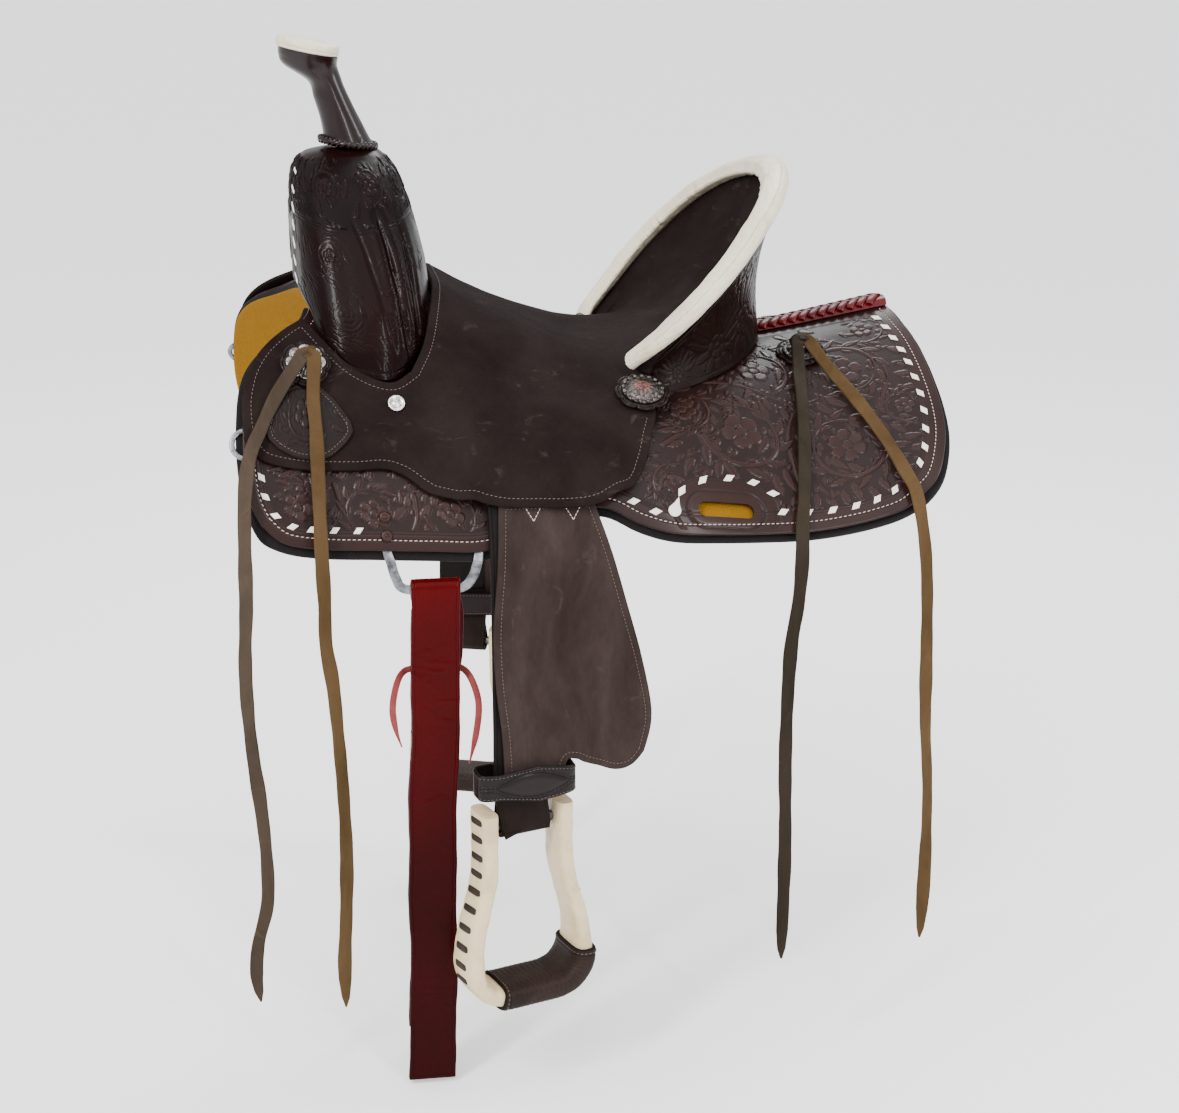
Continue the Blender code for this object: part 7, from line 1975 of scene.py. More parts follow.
def fender_surface(x, z, depth=0.0):
    x, z = np.asarray(x, float), np.asarray(z, float)
    above = z + 0.125
    y = -0.2675 + 0.035 * above + 0.42 * (above + np.sqrt(above * above + 0.0004)) / 2
    ta = FOOT_TURN * smoothstep(0.150, 0.345, -z)
    u = np.stack([np.cos(ta), np.sin(ta), 0 * ta], axis=-1)
    v = np.stack([-np.sin(ta), np.cos(ta), 0 * ta], axis=-1)
    base = np.stack([np.full_like(y, -0.020), y, z], axis=-1)
    return base + u * (x + 0.020)[..., None] + v * np.asarray(depth)[..., None] if np.ndim(depth) else base + u * (x + 0.020)[..., None] + v * depth


def at_side(P, s):
    return P if s < 0 else P * MIRROR


fu, fv = 90 * fine, 130 * fine
f_plan = coons(polyline(FENDER_TOP, fu), polyline(FENDER_HEM, fu), polyline(FENDER_FRONT, fv), polyline(FENDER_REAR, fv))
f_top = fender_surface(f_plan[..., 0], f_plan[..., 1])
fx, fz = f_plan[..., 0], f_plan[..., 1]
f_lift = (0.00055 * np.sin(fx * 70 + fz * 18) * np.sin(fz * 37 + 1.0) + 0.00030 * np.sin(fx * 160 - fz * 60) * np.sin(fz * 120)
          + 0.00018 * np.sin(fx * 420 + 3 * np.sin(fz * 140)))
f_lift -= 0.0006 * np.exp(-((fx + 0.018 + 0.01 * np.sin(fz * 12)) / 0.004) ** 2) * smoothstep(-0.10, -0.16, fz) * smoothstep(-0.34, -0.30, fz)
bow_pts = [(-0.0385, -0.3610), (-0.0385, -0.3900), (-0.0395, -0.4240), (-0.0455, -0.4520), (-0.0525, -0.4770),
           (-0.0560, -0.5020), (-0.0545, -0.5250), (-0.0440, -0.5400), (-0.0310, -0.5455), (-0.0210, -0.5465), (-0.0105, -0.5465), (0.0, -0.5465)]
bow_full = bow_pts + [(-u, z) for u, z in reversed(bow_pts[:-1])]
NBW = 200 * fine
bow = even(spline(bow_full), NBW)
bow_t = unit(np.gradient(bow, axis=0))
bow_n = np.stack([-bow_t[:, 1], bow_t[:, 0]], axis=1)
bow_f = smoothstep(0.46, 0.53, -bow[:, 1])


def bow_ring(sel, grow, nseg, lift=None, e_a=0.55, e_b=0.62):
    a_ = 2 * math.pi * (np.arange(nseg) + 0.5) / nseg
    ca, sa = np.sign(np.cos(a_)) * np.abs(np.cos(a_)) ** e_a, np.sign(np.sin(a_)) * np.abs(np.sin(a_)) ** e_b
    dep = (0.0190 + 0.0055 * bow_f[sel] + grow)[:, None] * ca[None]
    thk = (0.0082 + 0.0006 * bow_f[sel] + grow)[:, None] * sa[None]
    if lift is not None:
        thk = thk + lift * np.sign(sa)[None] * np.abs(sa)[None]
        dep = dep + lift * np.sign(ca)[None] * (np.abs(ca)[None] > 0.8)
    q = bow[sel]
    nn = bow_n[sel]
    base = np.array((BOLT[0], BOLT[1], 0.0))
    return (base + E1 * (q[:, 0][:, None] + nn[:, 0][:, None] * thk)[..., None] + E2 * dep[..., None]
            + np.array((0, 0, 1.0)) * (q[:, 1][:, None] + nn[:, 1][:, None] * thk)[..., None])


def path_with(P, D, n):
    """Smooth even path carrying a width direction along with it."""
    S = spline(np.hstack([np.asarray(P, float), np.asarray(D, float)]), sub=16)
    s_ = arc(S[:, :3])
    at = np.linspace(0, s_[-1], n + 1)
    out = np.stack([np.interp(at, s_, S[:, k]) for k in range(6)], axis=1)
    return out[:, :3], out[:, 3:], at


for side, s in SIDES:
    body_f, body_s = f"fender_{side}", f"stirrup_{side}"
    top = at_side(f_top, s)
    V, F, N, rim, k = shell_grid(top, FENDER_T, top + np.array([0, s * 0.1, 0.0]), r=0.0009, lift=f_lift)
    piece(f"fender_leather_{side}", V, [F], M_FENDER, body_f, stands=(f"fender_{side}",), slot="roughout_leather")
    lookup = N
    for d in (0.0056,):
        Q, Mn = edge_line(rim, d, keep=lambda q: q[:, 2] < -0.0765 - 0.001)
        for j, (q, m) in enumerate(runs_of(Q, Mn)):
            stitches(f"fender_stitching_{side}_{int(d * 1e4)}_{j}", q + m * 0.0003, m, M_STITCH_FENDER, body_f, pitch=0.0036, length=0.0026, width=0.0008,
                     high=0.0010)
    # tacking stitches in a V where the fender is sewn to its leather
    marks = []
    for x0 in (-0.0145, 0.0215):
        for sign in (-1, 1):
            for f in np.linspace(0.0, 1.0, 4):
                marks.append((x0 + sign * (0.0008 + 0.0052 * f), -0.0905 + 0.0085 * f, sign))
    mk = np.array(marks)
    C_ = at_side(fender_surface(mk[:, 0], mk[:, 1], -0.0002), s)
    up_ = at_side(fender_surface(mk[:, 0] + 0.0005 * mk[:, 2], mk[:, 1] + 0.0009, -0.0002), s) - C_
    nn = unit(np.cross(unit(at_side(fender_surface(mk[:, 0] + 1e-3, mk[:, 1]), s) - at_side(fender_surface(mk[:, 0], mk[:, 1]), s)), unit(up_)))
    nn *= np.sign(nn[:, 1:2]) * s
    X_ = unit(up_)
    V, F = scatter(BALL[0] * np.array((0.0017, 0.00055, 0.0006)), BALL[1], C_, X_, np.cross(nn, X_), nn)
    piece(f"fender_tacks_{side}", V, F, M_STITCH, body_f, sharp=None)

    # stirrup leather
    path, dirs = [], []
    behind = FENDER_T + 0.0015 + LEATHER_T / 2
    for z in (-0.080, -0.100, -0.122, -0.145, -0.185, -0.230, -0.285, -0.340):
        turn_by = FOOT_TURN * float(smoothstep(0.150, 0.345, -z))
        path.append(fender_surface(np.array(-0.0300), np.array(z), behind))
        dirs.append((math.cos(turn_by), math.sin(turn_by), 0))
    for k in range(13):
        a_ = math.radians(-170 + 160 * k / 12)
        path.append(BOLT + E2 * (0.0092 * math.cos(a_)) + np.array((0, 0, 0.0092 * math.sin(a_))))
        dirs.append(tuple(E1))
    for z, turn_by, o in ((-0.354, 0.70, 0.0025), (-0.340, 0.55, -0.0008), (-0.318, 0.53, -0.0012)):
        path.append(np.array((BOLT[0], BOLT[1], z)) + E2 * o)
        dirs.append((math.cos(turn_by * YAW), math.sin(turn_by * YAW), 0))
    P_, D_, at_ = path_with(path, dirs, 300)
    T, W, Hd = frames(P_, D_)
    sec = strap_section(0.0500, LEATHER_T, 0.0004, crease_at=0.0040)
    R = sweep(P_, W, Hd, sec)
    V, F = loft(R)
    V = at_side(V, s)
    # the strap is painted near-black shade down to its loop, and the loop below keeps its brown leather
    sl = piece(f"stirrup_leather_strap_{side}", V, F, M_STRAP_PAINTED_SHADE, body_f, stands=(f"stirrup_leather_{side}",), slot="black_leather", sharp=40)
    sl.data.materials.append(M_LOOP)
    cz = np.array([V[list(p.vertices)].mean(0)[2] for p in sl.data.polygons])
    sl.data.polygons.foreach_set("material_index", (cz < -0.338).astype(np.int32))
    for e_, d_ in ((0.0212, 1), (-0.0212, 1)):
        sel = (at_ > at_[-1] - 0.075)
        side_of = Hd[sel]
        # the outward face of the turned end
        outw = np.sign(side_of @ np.array((0, -1.0, 0)) + 1e-9)[:, None]
        outw = np.where(np.abs(P_[sel, 2:3] + 0.385) > 0.02, outw, outw)
        Pm = P_[sel] + W[sel] * e_ - Hd[sel] * (LEATHER_T / 2) * (-1 if (Hd[sel][-1] @ np.array((0, -1.0, 0))) > 0 else 1)
        Nm = Hd[sel] * (1 if (Hd[sel][-1] @ np.array((0, -1.0, 0))) > 0 else -1)
        stitches(f"loop_stitching_{side}_{'f' if e_ > 0 else 'r'}", at_side(Pm, s), at_side(Nm, s), M_STITCH, body_f, pitch=0.0040, length=0.0028,
                 width=0.0008, high=0.0010)

    # hobble strap with an eye-shaped stamped panel
    NHB, NHH = 240 * fine, 26
    a_ = 2 * math.pi * (np.arange(NHB) + 0.5) / NHB
    c_, s_ = np.cos(a_), np.sin(a_)
    ex_, ey_ = np.sign(c_) * np.abs(c_) ** 0.40, np.sign(s_) * np.abs(s_) ** 0.40
    hu = np.array((math.cos(FOOT_TURN), math.sin(FOOT_TURN), 0))
    hv = np.array((-math.sin(FOOT_TURN), math.cos(FOOT_TURN), 0))
    mid = np.array((-0.0270, -0.2680, -0.3335))
    girth_ = even(np.stack([0.0470 * ex_, 0.0162 * ey_], axis=1), NHB, closed=True)
    ux, uy = girth_[:, 0], girth_[:, 1]
    tx = np.roll(girth_, -1, 0) - np.roll(girth_, 1, 0)
    no = unit(np.stack([tx[:, 1], -tx[:, 0]], axis=1))
    no *= np.sign(np.einsum("ij,ij->i", no, girth_))[:, None]
    tall = np.where(uy > 0, 0.0130, 0.0125 + 0.0050 * np.maximum(0, 1 - np.abs(ux / 0.047 - 0.2) * 1.3) * smoothstep(0.0, -0.008, uy))
    hs = np.linspace(1, -1, NHH * 2)
    Hh = tall[:, None] * hs[None]
    eye = np.abs(Hh) - 0.0112 * np.clip(1 - ((ux - 0.004) / 0.036) ** 2, 0, 1)[:, None]
    front = (uy < -0.010)[:, None]
    rel = np.where(front, -0.00035 * np.exp(-(eye / 0.0008) ** 2) - 0.00025 * np.exp(-((eye - 0.0026) / 0.0006) ** 2)
                   + 0.00030 * np.exp(-((eye - 0.0013) / 0.0008) ** 2) * (0.5 + 0.5 * np.cos(ux * 2 * math.pi / 0.0034))[:, None]
                   + 0.0005 * smoothstep(0.0, -0.006, eye), 0.0) * 1.9
    edge_h = tall[:, None] - np.abs(Hh)
    rel = rel - 0.00035 * np.exp(-((edge_h - 0.0024) / 0.0006) ** 2) - 0.0010 * smoothstep(0.0012, 0.0, edge_h)
    outer_ = (mid + hu * ux[:, None, None] + hv * uy[:, None, None] + (hu * no[:, 0, None] + hv * no[:, 1, None])[:, None] * rel[..., None]
              + np.array((0, 0, 1.0)) * Hh[..., None])
    inner_ = (mid + hu * (ux - no[:, 0] * 0.0027)[:, None, None] + hv * (uy - no[:, 1] * 0.0027)[:, None, None]
              + np.array((0, 0, 1.0)) * (tall[:, None] * np.linspace(-0.98, 0.98, 5)[None])[..., None])
    R = np.concatenate([outer_, inner_], axis=1)
    V, F = loft(R, loop=True)
    attr = np.full(R.shape[:2], 0.45)
    attr[:, :NHH * 2] = np.clip(0.48 + rel * 700, 0, 1)
    piece(f"hobble_{side}", at_side(V, s), F, M_HOBBLE, body_f, attr=attr.ravel(), stands=(f"hobble_strap_{side}",), slot="oxblood_leather", sharp=45)
    stp = outer_[:, NHH - 1]
    for up_dn in (1, -1):
        off_h = (tall - 0.0024) * up_dn
        Pm = mid + hu * ux[:, None] + hv * uy[:, None] + np.array((0, 0, 1.0)) * off_h[:, None]
        Nm = hu * no[:, 0, None] + hv * no[:, 1, None]
        stitches(f"hobble_stitching_{side}_{'top' if up_dn > 0 else 'low'}", at_side(Pm, s), at_side(Nm, s), M_STITCH_FENDER, body_f, pitch=0.0036,
                 length=0.0025, width=0.0007, high=0.0007, closed=True)

    # rawhide bow of the stirrup
    nseg = 48
    sb = arc(bow)
    wave = 0.00022 * np.sin(sb * 130)[:, None] * np.ones(nseg)[None] + 0.00015 * np.sin(sb[:, None] * 310 + 2 * math.pi * np.arange(nseg)[None] / nseg * 3)
    V, F = loft(bow_ring(slice(None), 0.0, nseg, wave))
    piece(f"stirrup_bow_{side}", at_side(V, s), F, M_RAWHIDE_BOW, body_s, stands=(f"stirrup_{side}",), slot="rawhide", sharp=60)
    # the hide is drawn together with flat thongs on the outer face of each leg
    Vs, Fs, cnt = [], [], 0
    for leg in (-1, 1):
        marks_at = [-0.3690 - 0.0178 * q for q in range(9)]
        for z0 in marks_at + ([-0.5235] if leg < 0 else []):
            half = slice(0, NBW // 2) if leg < 0 else slice(NBW // 2, NBW + 1)
            zz = bow[half, 1]
            j = int(np.argmin(np.abs(zz - z0))) + (0 if leg < 0 else NBW // 2)
            nvec = bow_n[j] * (1 if bow_n[j][0] * leg > 0 else -1)
            thick_ = 0.0082 + 0.0006 * bow_f[j]
            tv = bow_t[j] * (1 if bow_t[j][1] > 0 else -1)
            f_ = np.linspace(-1, 1, 15)
            half_w = 0.0120
            P2 = (np.array((BOLT[0], BOLT[1], 0.0)) + E1 * (bow[j][0] + nvec[0] * (thick_ + 0.0003 - 0.0016 * np.abs(f_) ** 6) + tv[0] * -0.0012 * f_)[:, None]
                  + E2 * (half_w * f_)[:, None] + np.array((0, 0, 1.0)) * (bow[j][1] + nvec[1] * thick_ + tv[1] * -0.0012 * f_)[:, None])
            T_ = unit(np.gradient(P2, axis=0))
            Nn = E1 * nvec[0] + np.array((0, 0, 1.0)) * nvec[1]
            W_ = unit(np.cross(T_, np.broadcast_to(Nn, T_.shape)))
            sc2 = np.array([(-0.0034, -0.0006), (-0.0032, 0.0004), (-0.0020, 0.0009), (0.0, 0.0010), (0.0020, 0.0009), (0.0032, 0.0004), (0.0034, -0.0006)])
            grow_ = np.interp(np.abs(f_), (0, 0.8, 1.0), (1.0, 0.95, 0.70))[:, None, None]
            R = P2[:, None] + W_[:, None] * sc2[None, :, 0:1] * grow_ + Nn * sc2[None, :, 1:2]
            v_, fc = loft(R)
            if volume(v_ - v_.mean(0), fc) < 0:
                fc = [q[:, ::-1] for q in fc]
            Vs.append(v_)
            Fs.append([q + cnt for q in fc])
            cnt += len(v_)
    V = at_side(np.concatenate(Vs), s)
    F = [np.concatenate([f[0] for f in Fs]), np.concatenate([f[1] for f in Fs])]
    piece(f"bow_lacing_{side}", V, F, M_LACING, body_s, sharp=50)

    # leather sewn round the tread
    sel = np.where((-bow[:, 1] > 0.5110) & (bow[:, 0] > -0.0330))[0]
    ar = sb[sel] - sb[sel][0]
    total = ar[-1]
    ea = np.minimum(ar, total - ar)
    gi = np.arange(nseg)[None]
    pattern = 0.00020 * np.sin(ar * 2 * math.pi / 0.0052)[:, None] * np.sin(gi * 2 * math.pi * 6 / nseg)
    pattern = pattern * smoothstep(0.006, 0.009, ea)[:, None] - 0.0004 * np.exp(-((ea - 0.0055) / 0.0008) ** 2)[:, None]
    pattern = pattern - 0.0014 * smoothstep(0.0016, 0.0, ea)[:, None]
    Ro = bow_ring(sel, 0.0036, nseg, pattern)
    Ri = bow_ring(sel, 0.0005, nseg)[::-1]
    V, F = loft(np.concatenate([Ro, Ri]), loop=True)
    attr = np.full((len(sel) * 2, nseg), 0.45)
    attr[:len(sel)] = np.clip(0.47 + pattern * 900, 0, 1)
    piece(f"tread_leather_{side}", at_side(V, s), F, M_TREAD, body_s, attr=attr.ravel(), stands=(f"tread_cover_{side}",), slot="oxblood_leather", sharp=55)
    for label, j in (("fore", int(np.argmin(np.abs(ar - 0.0034)))), ("aft", int(np.argmin(np.abs(ar - total + 0.0034))))):
        ring_ = bow_ring(np.array([sel[j]]), 0.0037, 120)[0]
        cen = ring_.mean(0)
        tn = E1 * bow_t[sel[j]][0] + np.array((0, 0, 1.0)) * bow_t[sel[j]][1]
        T_ = np.roll(ring_, -1, 0) - np.roll(ring_, 1, 0)
        nn = unit(np.cross(T_, tn))
        nn *= np.sign(np.einsum("ij,ij->i", nn, ring_ - cen))[:, None]
        stitches(f"tread_stitching_{side}_{label}", at_side(ring_, s), at_side(nn, s), M_STITCH_FENDER, body_s, pitch=0.0042, length=0.0030, width=0.0009,
                 high=0.0009, closed=True)
    me = frame["nodes"][f"stirrup_bolt_{side}"].data
    me.materials.clear()
    me.materials.append(M_IRON)

# ------------------------------------------------------------------- latigo
LY, PITCH, HALF, LEAN, BAR_Z = -0.2348, 0.0042, 0.0025, 0.026, -0.1562
RUNS = (LY - PITCH - HALF, LY - HALF, LY + HALF, LY + PITCH + HALF)


def strap_point(y, z):
    return (-0.1030 - LEAN * (BAR_Z - z), y, z)


pts = [strap_point(RUNS[3], z) for z in (-0.600, -0.500, -0.380, -0.260, BAR_Z - 0.010)]
for k in range(1, 16):
    a_ = math.pi * k / 16
    r_ = PITCH + HALF
    pts.append(strap_point(LY + r_ * math.cos(a_), BAR_Z + 0.0005 + (r_ + 0.001) * math.sin(a_)))
pts += [strap_point(RUNS[0], z) for z in (BAR_Z - 0.010, -0.260, -0.380, -0.500, -0.648)]
for k in range(1, 8):
    a_ = math.pi * k / 8
    c_, r_ = (RUNS[0] + RUNS[1]) / 2, (RUNS[1] - RUNS[0]) / 2
    pts.append(strap_point(c_ - r_ * math.cos(a_), -0.648 - r_ * math.sin(a_)))
pts += [strap_point(RUNS[1], z) for z in (-0.646, -0.500, -0.380, -0.260, BAR_Z - 0.022)]
for k in range(1, 8):
    a_ = math.pi * k / 8
    c_, r_ = (RUNS[1] + RUNS[2]) / 2, (RUNS[2] - RUNS[1]) / 2
    pts.append(strap_point(c_ - r_ * math.cos(a_), BAR_Z - 0.022 + r_ * math.sin(a_)))
pts += [strap_point(RUNS[2], z) for z in (BAR_Z - 0.024, -0.300, -0.420, -0.585)]
NL = 1500 * fine
P_ = even(np.array(pts), NL)
sl_ = arc(P_)
z_ = P_[:, 2]
sway = 0.0011 * np.sin(z_ * 21 + 0.6) + 0.0006 * np.sin(z_ * 57)
P_[:, 0] += sway * smoothstep(-0.20, -0.26, z_)
# the rearmost ply stands a little proud at its rear edge, above the tie
P_[:, 0] += 0.0046 * smoothstep(BAR_Z - 0.002, BAR_Z - 0.028, z_) * smoothstep(-0.250, -0.212, z_) * smoothstep(LY + 0.0035, LY + 0.0060, P_[:, 1])
T, W, Hd = frames(P_, (1, 0, 0))
sec = strap_section(0.0445, 0.0031, 0.00035, crease_at=0.0034)
R = sweep(P_, W, Hd, sec, scale=1 + 0.010 * np.sin(sl_ * 60) + 0.006 * np.sin(sl_ * 190))
# cross wrinkles on the outer run, pressed in by the tie
outer_run = (P_[:, 1] < LY - PITCH) & (z_ < BAR_Z)
uu_ = sec[:, 0][None]
wr = np.zeros((len(P_), len(sec)))
rng = np.random.default_rng(3)
for k in range(26):
    z0 = -0.205 - 0.22 * rng.random() ** 1.3
    sl0, cv = rng.normal(0, 0.25), rng.normal(0, 3.0)
    uc, uw = rng.normal(0, 0.010), 0.012 + 0.016 * rng.random()
    wr += (0.00025 + 0.00045 * rng.random()) * np.exp(-((z_[:, None] - z0 - sl0 * uu_ - cv * uu_ ** 2) / (0.0013 + 0.002 * rng.random())) ** 2) \
        * np.exp(-((uu_ - uc) / uw) ** 2) * (1 if k % 2 else -0.8)
for k in range(22):
    z0 = -0.42 - 0.22 * rng.random()
    wr += 0.00022 * np.exp(-((z_[:, None] - z0 - rng.normal(0, 0.3) * uu_) / 0.0016) ** 2) * np.exp(-((uu_ - rng.normal(0, 0.012)) / 0.014) ** 2)
wr *= outer_run[:, None]
face_up = np.sign(Hd @ np.array((0, -1.0, 0)))
sel_face = (sec[:, 1][None] * face_up[:, None]) > 0.0009
R = R + np.array((0, -1.0, 0)) * (wr * sel_face)[..., None]
V, F = loft(R)
# the tool attribute here paints light and shade: lighter near the top of the strap, darker towards the bottom
attr = np.repeat(np.interp(z_, (-0.66, -0.44, -0.30, -0.20, -0.14), (0.02, 0.06, 0.20, 0.36, 0.52))[:, None], len(sec), 1)
attr = np.append(attr.ravel(), [0.1, 0.1])
piece("latigo_strap", V, F, M_LATIGO, "latigo", attr=attr, stands=("latigo",), slot="latigo_leather", sharp=40)
LACE_Y = RUNS[3] + 0.0046
lace_pts = [(-0.1380, LY - 0.0155, -0.302), (-0.1430, LY - 0.0145, -0.285), (-0.1450, LY - 0.0095, -0.266), (-0.1400, LY, -0.246),
            (-0.1320, LACE_Y, -0.238), (-0.1200, LACE_Y, -0.236), (-0.1060, LACE_Y, -0.236), (-0.0920, LACE_Y, -0.236), (-0.0790, LACE_Y, -0.238),
            (-0.0710, LY, -0.246), (-0.0660, LY - 0.0095, -0.266), (-0.0690, LY - 0.0145, -0.292), (-0.0760, LY - 0.0155, -0.322)]
P_ = polyline(lace_pts, 200)
T = unit(np.gradient(P_, axis=0))
T, W, Hd = frames(P_, np.stack([-T[:, 2], 0 * T[:, 1], T[:, 0]], axis=1))
lsec = np.array([(-0.0025, 0), (-0.0023, 0.0008), (-0.0014, 0.0011), (0, 0.0011), (0.0014, 0.0011), (0.0023, 0.0008), (0.0025, 0),
                 (0.0023, -0.0008), (0.0014, -0.0011), (0, -0.0011), (-0.0014, -0.0011), (-0.0023, -0.0008)])
ends = np.minimum(np.arange(201), 200 - np.arange(201))
V, F = loft(sweep(P_, W, Hd, lsec, scale=0.30 + 0.95 * smoothstep(0, 26, ends)))
piece("latigo_tie", V, F, M_LACE, "latigo", stands=("latigo_lace",), slot="lace", sharp=50)

# ------------------------------------------------------------ saddle strings
STRINGS = {
    "front_string_fore": (seat_surface, (-0.2110, 0.1690), -0.0085,
                          ((-0.238, 0.190), (-0.2535, 0.208), (-0.2645, 0.221)),
                          ((-0.270, -0.2470, -0.0600), (-0.272, -0.2600, -0.1050), (-0.273, -0.2610, -0.1550), (-0.276, -0.2600, -0.2050),
                           (-0.276, -0.2600, -0.2500), (-0.273, -0.2600, -0.3000), (-0.268, -0.2600, -0.3500), (-0.265, -0.2600, -0.4000),
                           (-0.266, -0.2600, -0.4450), (-0.276, -0.2600, -0.4860), (-0.279, -0.2600, -0.5180), (-0.276, -0.2600, -0.5450))),
    "front_string_aft": (seat_surface, (-0.2110, 0.1690), 0.0085,
                         ((-0.206, 0.190), (-0.205, 0.206), (-0.205, 0.220)),
                         ((-0.205, -0.2500, -0.0700), (-0.205, -0.2620, -0.1100), (-0.204, -0.2630, -0.1550), (-0.204, -0.2610, -0.1950),
                          (-0.199, -0.2600, -0.2350), (-0.196, -0.2600, -0.2800), (-0.193, -0.2600, -0.3400), (-0.192, -0.2600, -0.4000),
                          (-0.194, -0.2600, -0.4600), (-0.197, -0.2600, -0.5100), (-0.197, -0.2600, -0.5570))),
    "rear_string_fore": (hide, (0.2725, 0.0715), -0.0085,
                         ((0.262, 0.105), (0.255, 0.145), (0.247, 0.190), (0.238, 0.230), (0.233, 0.248)),
                         ((0.230, -0.2680, -0.1350), (0.227, -0.2700, -0.1750), (0.221, -0.2690, -0.2250), (0.219, -0.2680, -0.3200),
                          (0.221, -0.2680, -0.4200), (0.220, -0.2680, -0.5350))),
    "rear_string_aft": (hide, (0.2725, 0.0715), 0.0085,
                        ((0.292, 0.105), (0.310, 0.145), (0.327, 0.185), (0.339, 0.220), (0.344, 0.240)),
                        ((0.347, -0.2620, -0.1250), (0.350, -0.2660, -0.1700), (0.352, -0.2660, -0.2300), (0.354, -0.2660, -0.3000),
                         (0.359, -0.2660, -0.3700), (0.360, -0.2660, -0.4500), (0.358, -0.2660, -0.5240))),
}
rng = np.random.default_rng(21)
for name, (surface, tie, aside, laid, hung) in STRINGS.items():
    n = surface_normal(surface, np.array([tie[0]]), np.array([tie[1]]), -1.0)[0]
    head = one(surface, tie[0], tie[1], 0.0, -1.0)
    high = 0.0140 if surface is hide else 0.0175
    lower = np.array((0, -0.008, -0.0006))
    route = [head + n * high + np.array((aside * 0.45, 0, 0)), head + n * (high + (0.001 if aside < 0 else 0)) + np.array((aside * 0.75, 0, 0)) + lower]
    route += [one(surface, x, w, 0.0078, -1.0) for x, w in laid]
    route += [np.array(p) for p in hung]
    NP = 420
    P_ = polyline(route, NP)
    T = unit(np.gradient(P_, axis=0))
    out_n = unit(np.array((0, -1, 0.25)))
    D = unit(np.cross(T, out_n))
    Hd = np.cross(T, D)
    # the thong turns a little about its own line as it hangs
    f_ = np.linspace(0, 1, NP + 1)
    tw = np.zeros(NP + 1)
    for k in range(4):
        tw += rng.normal(0, 0.20) * np.sin(math.pi * (k + 1) * f_ * 1.4 + rng.random() * 6)
    tw *= smoothstep(0.30, 0.48, f_)
    D2 = D * np.cos(tw)[:, None] + Hd * np.sin(tw)[:, None]
    H2 = np.cross(T, D2)
    sca = 1 + 0.05 * np.sin(f_ * 41 + rng.random() * 6) + 0.03 * np.sin(f_ * 97)
    sca = sca * np.interp(f_, (0.0, 0.01, 0.955, 0.985, 1.0), (0.85, 1.0, 1.0, 0.62, 0.14))
    sec = strap_section(0.0125, 0.0029, 0.0)
    V, F = loft(sweep(P_, D2, H2, sec, scale=sca))
    mat = {"front_string_fore": M_THONG_GREY, "rear_string_fore": M_THONG_DARK}.get(name, M_THONG_TAN)
    ob = piece(name + "_thong", V, F, mat, "saddle", stands=(name,), slot="thong", sharp=45)
    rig.cord(ob, exit=tuple(float(c) for c in P_[0]), length=float(arc(P_)[-1]), diameter=0.0125, far_end="bare", stiffness="medium", lay="hanging",
            path=[tuple(float(c) for c in p) for p in P_[::6]])
# each pair is tied through its concho: the standing parts pass under a snug turn of thong
for label, surface, tie, mat in (("front", seat_surface, (-0.2110, 0.1690), M_THONG_TAN), ("rear", hide, (0.2725, 0.0715), M_THONG_DARK)):
    n = surface_normal(surface, np.array([tie[0]]), np.array([tie[1]]), -1.0)[0]
    head = one(surface, tie[0], tie[1], 0.0, -1.0)
    high = 0.0140 if surface is hide else 0.0175
    x_ = np.array((1.0, 0, 0)) - n * n[0]
    x_ /= np.linalg.norm(x_)
    y_ = np.cross(n, x_)
    y_ *= -1 if y_[2] > 0 else 1
    base = head + n * (high - 0.0040)
    for turn, (wide_, off_, lean_) in enumerate(((0.0100, 0.0010, 0.0016), (0.0082, -0.0052, -0.0020))):
        loop_ = []
        for a_ in np.linspace(0, 2 * math.pi, 161)[:-1]:
            ca_, sa_ = math.cos(a_), math.sin(a_)
            loop_.append(base + x_ * (wide_ * math.copysign(abs(ca_) ** 0.8, ca_)) + n * ((0.0056 - 0.0012 * turn) * math.copysign(abs(sa_) ** 0.8, sa_) + 0.0024)
                         + y_ * (off_ + lean_ * ca_))
        P_ = np.array(loop_)
        T, W, Hd = frames(P_, y_, closed=True)
        V, F = loft(sweep(P_, W, Hd, strap_section(0.0078, 0.0022, 0.0)), loop=True)
        piece(f"{label}_string_knot_{turn + 1}", V, F, mat, "saddle", sharp=45)

# ------------------------------------------------------------- floor, light
FLOOR_Z = -0.6560
floor_me = new_mesh("floor", np.array([(-300, -300, FLOOR_Z), (300, -300, FLOOR_Z), (300, 300, FLOOR_Z), (-300, 300, FLOOR_Z)]), [np.array([(0, 1, 2, 3)])])
m, nt, nd, ln, b = nodes_of("floor_paper")
b.inputs["Base Color"].default_value = (0.93, 0.93, 0.93, 1.0)
b.inputs["Roughness"].default_value = 0.9
b.inputs["Specular IOR Level"].default_value = 0.1
floor_me.materials.append(m)
floor = bpy.data.objects.new("floor", floor_me)
bpy.context.scene.collection.objects.link(floor)
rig.stage(floor)
world = bpy.data.worlds.new("studio")
bpy.context.scene.world = world
world.use_nodes = True
bg = world.node_tree.nodes["Background"]
bg.inputs[0].default_value = (0.97, 0.98, 1.0, 1.0)
sky_nodes = world.node_tree
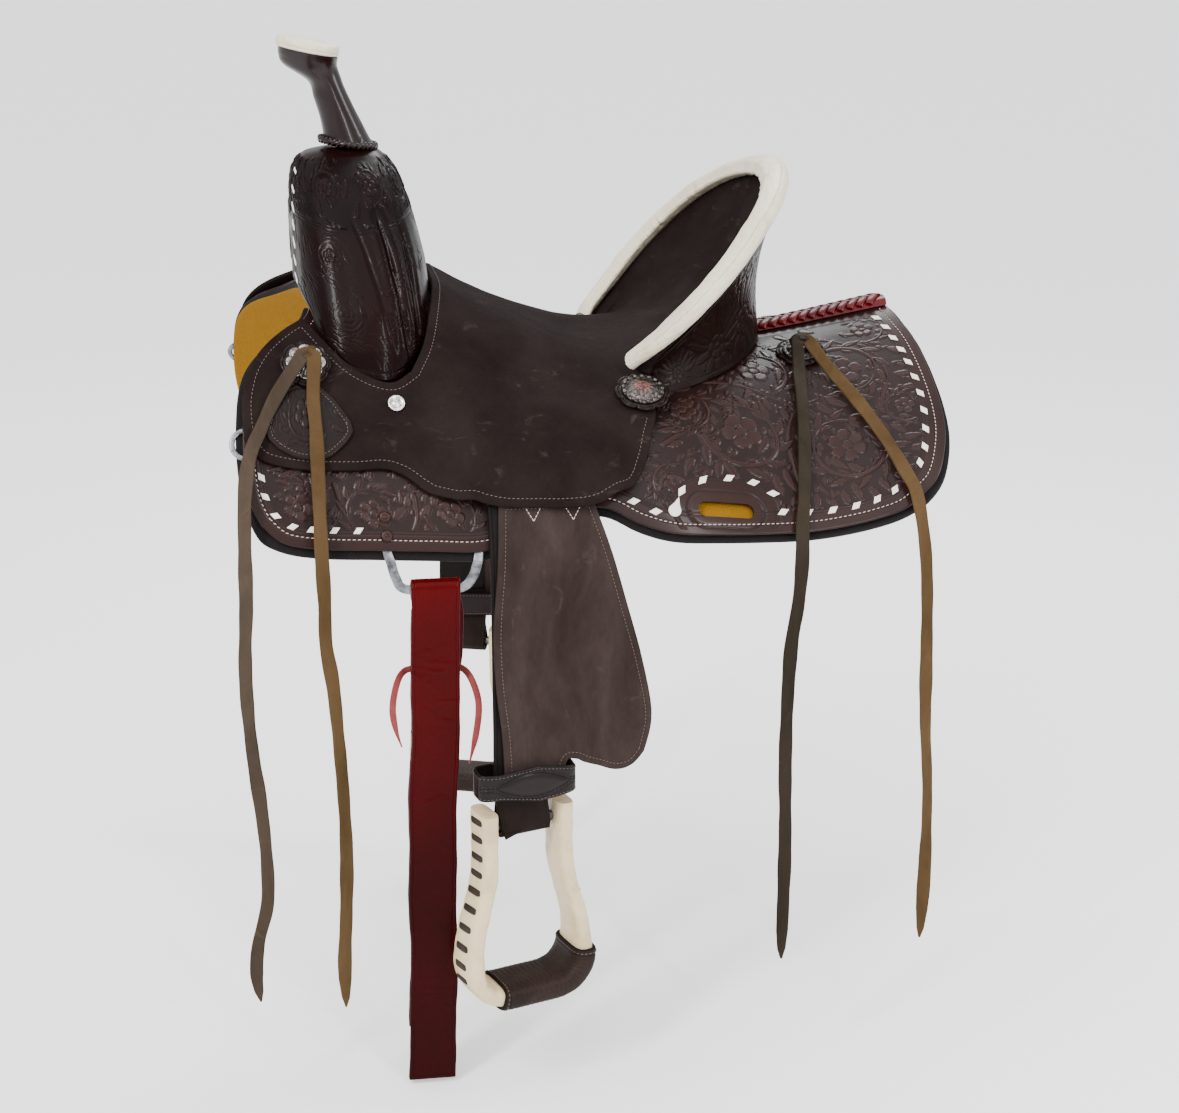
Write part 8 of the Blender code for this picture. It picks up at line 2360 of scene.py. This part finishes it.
way = sky_nodes.nodes.new("ShaderNodeTexCoord")
split = sky_nodes.nodes.new("ShaderNodeSeparateXYZ")
fade = sky_nodes.nodes.new("ShaderNodeMapRange")
fade.interpolation_type = "SMOOTHSTEP"
for key, value in (("From Min", 0.05), ("From Max", 0.75), ("To Min", 1.05), ("To Max", 1.60)):
    fade.inputs[key].default_value = value
sky_nodes.links.new(way.outputs["Generated"], split.inputs[0])
sky_nodes.links.new(split.outputs["Z"], fade.inputs["Value"])
sky_nodes.links.new(fade.outputs["Result"], bg.inputs["Strength"])


def softbox(name, at, aim, size, size_y, energy, colour=(1, 1, 1)):
    data = bpy.data.lights.new(name, "AREA")
    data.shape = "RECTANGLE"
    data.size, data.size_y, data.energy, data.color = size, size_y, energy, colour
    ob = bpy.data.objects.new(name, data)
    ob.location = at
    ob.rotation_euler = (Vector(aim) - Vector(at)).to_track_quat("-Z", "Y").to_euler()
    bpy.context.scene.collection.objects.link(ob)


softbox("key", (-1.45, -1.7, 1.5), (0.0, 0.0, -0.05), 0.32, 1.2, 60.0, (1.0, 0.985, 0.96))
softbox("strip", (0.75, -2.1, 0.85), (0.05, 0.0, -0.05), 0.14, 1.3, 20.0)
softbox("back", (0.6, 1.9, 1.8), (0.0, 0.0, 0.1), 1.2, 0.8, 34.0, (0.96, 0.98, 1.0))
softbox("right", (2.2, -0.4, 0.9), (0.1, 0.0, -0.1), 0.4, 1.2, 26.0)
sky = bpy.data.lights.new("ceiling", "SUN")
sky.energy, sky.angle = 1.9, math.radians(70.0)
sky_ob = bpy.data.objects.new("ceiling", sky)
sky_ob.rotation_euler = Vector((-0.30, -0.42, 1.0)).to_track_quat("Z", "Y").to_euler()
bpy.context.scene.collection.objects.link(sky_ob)

lo_, hi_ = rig.bounds()
size_lines = {"cad_box": [[float(c) for c in v] for v in CAD_BOX], "model_box": [[float(c) for c in v] for v in (lo_, hi_)]}
with open("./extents.json", "w") as out_file:
    out_file.write(json.dumps(size_lines, indent=1))
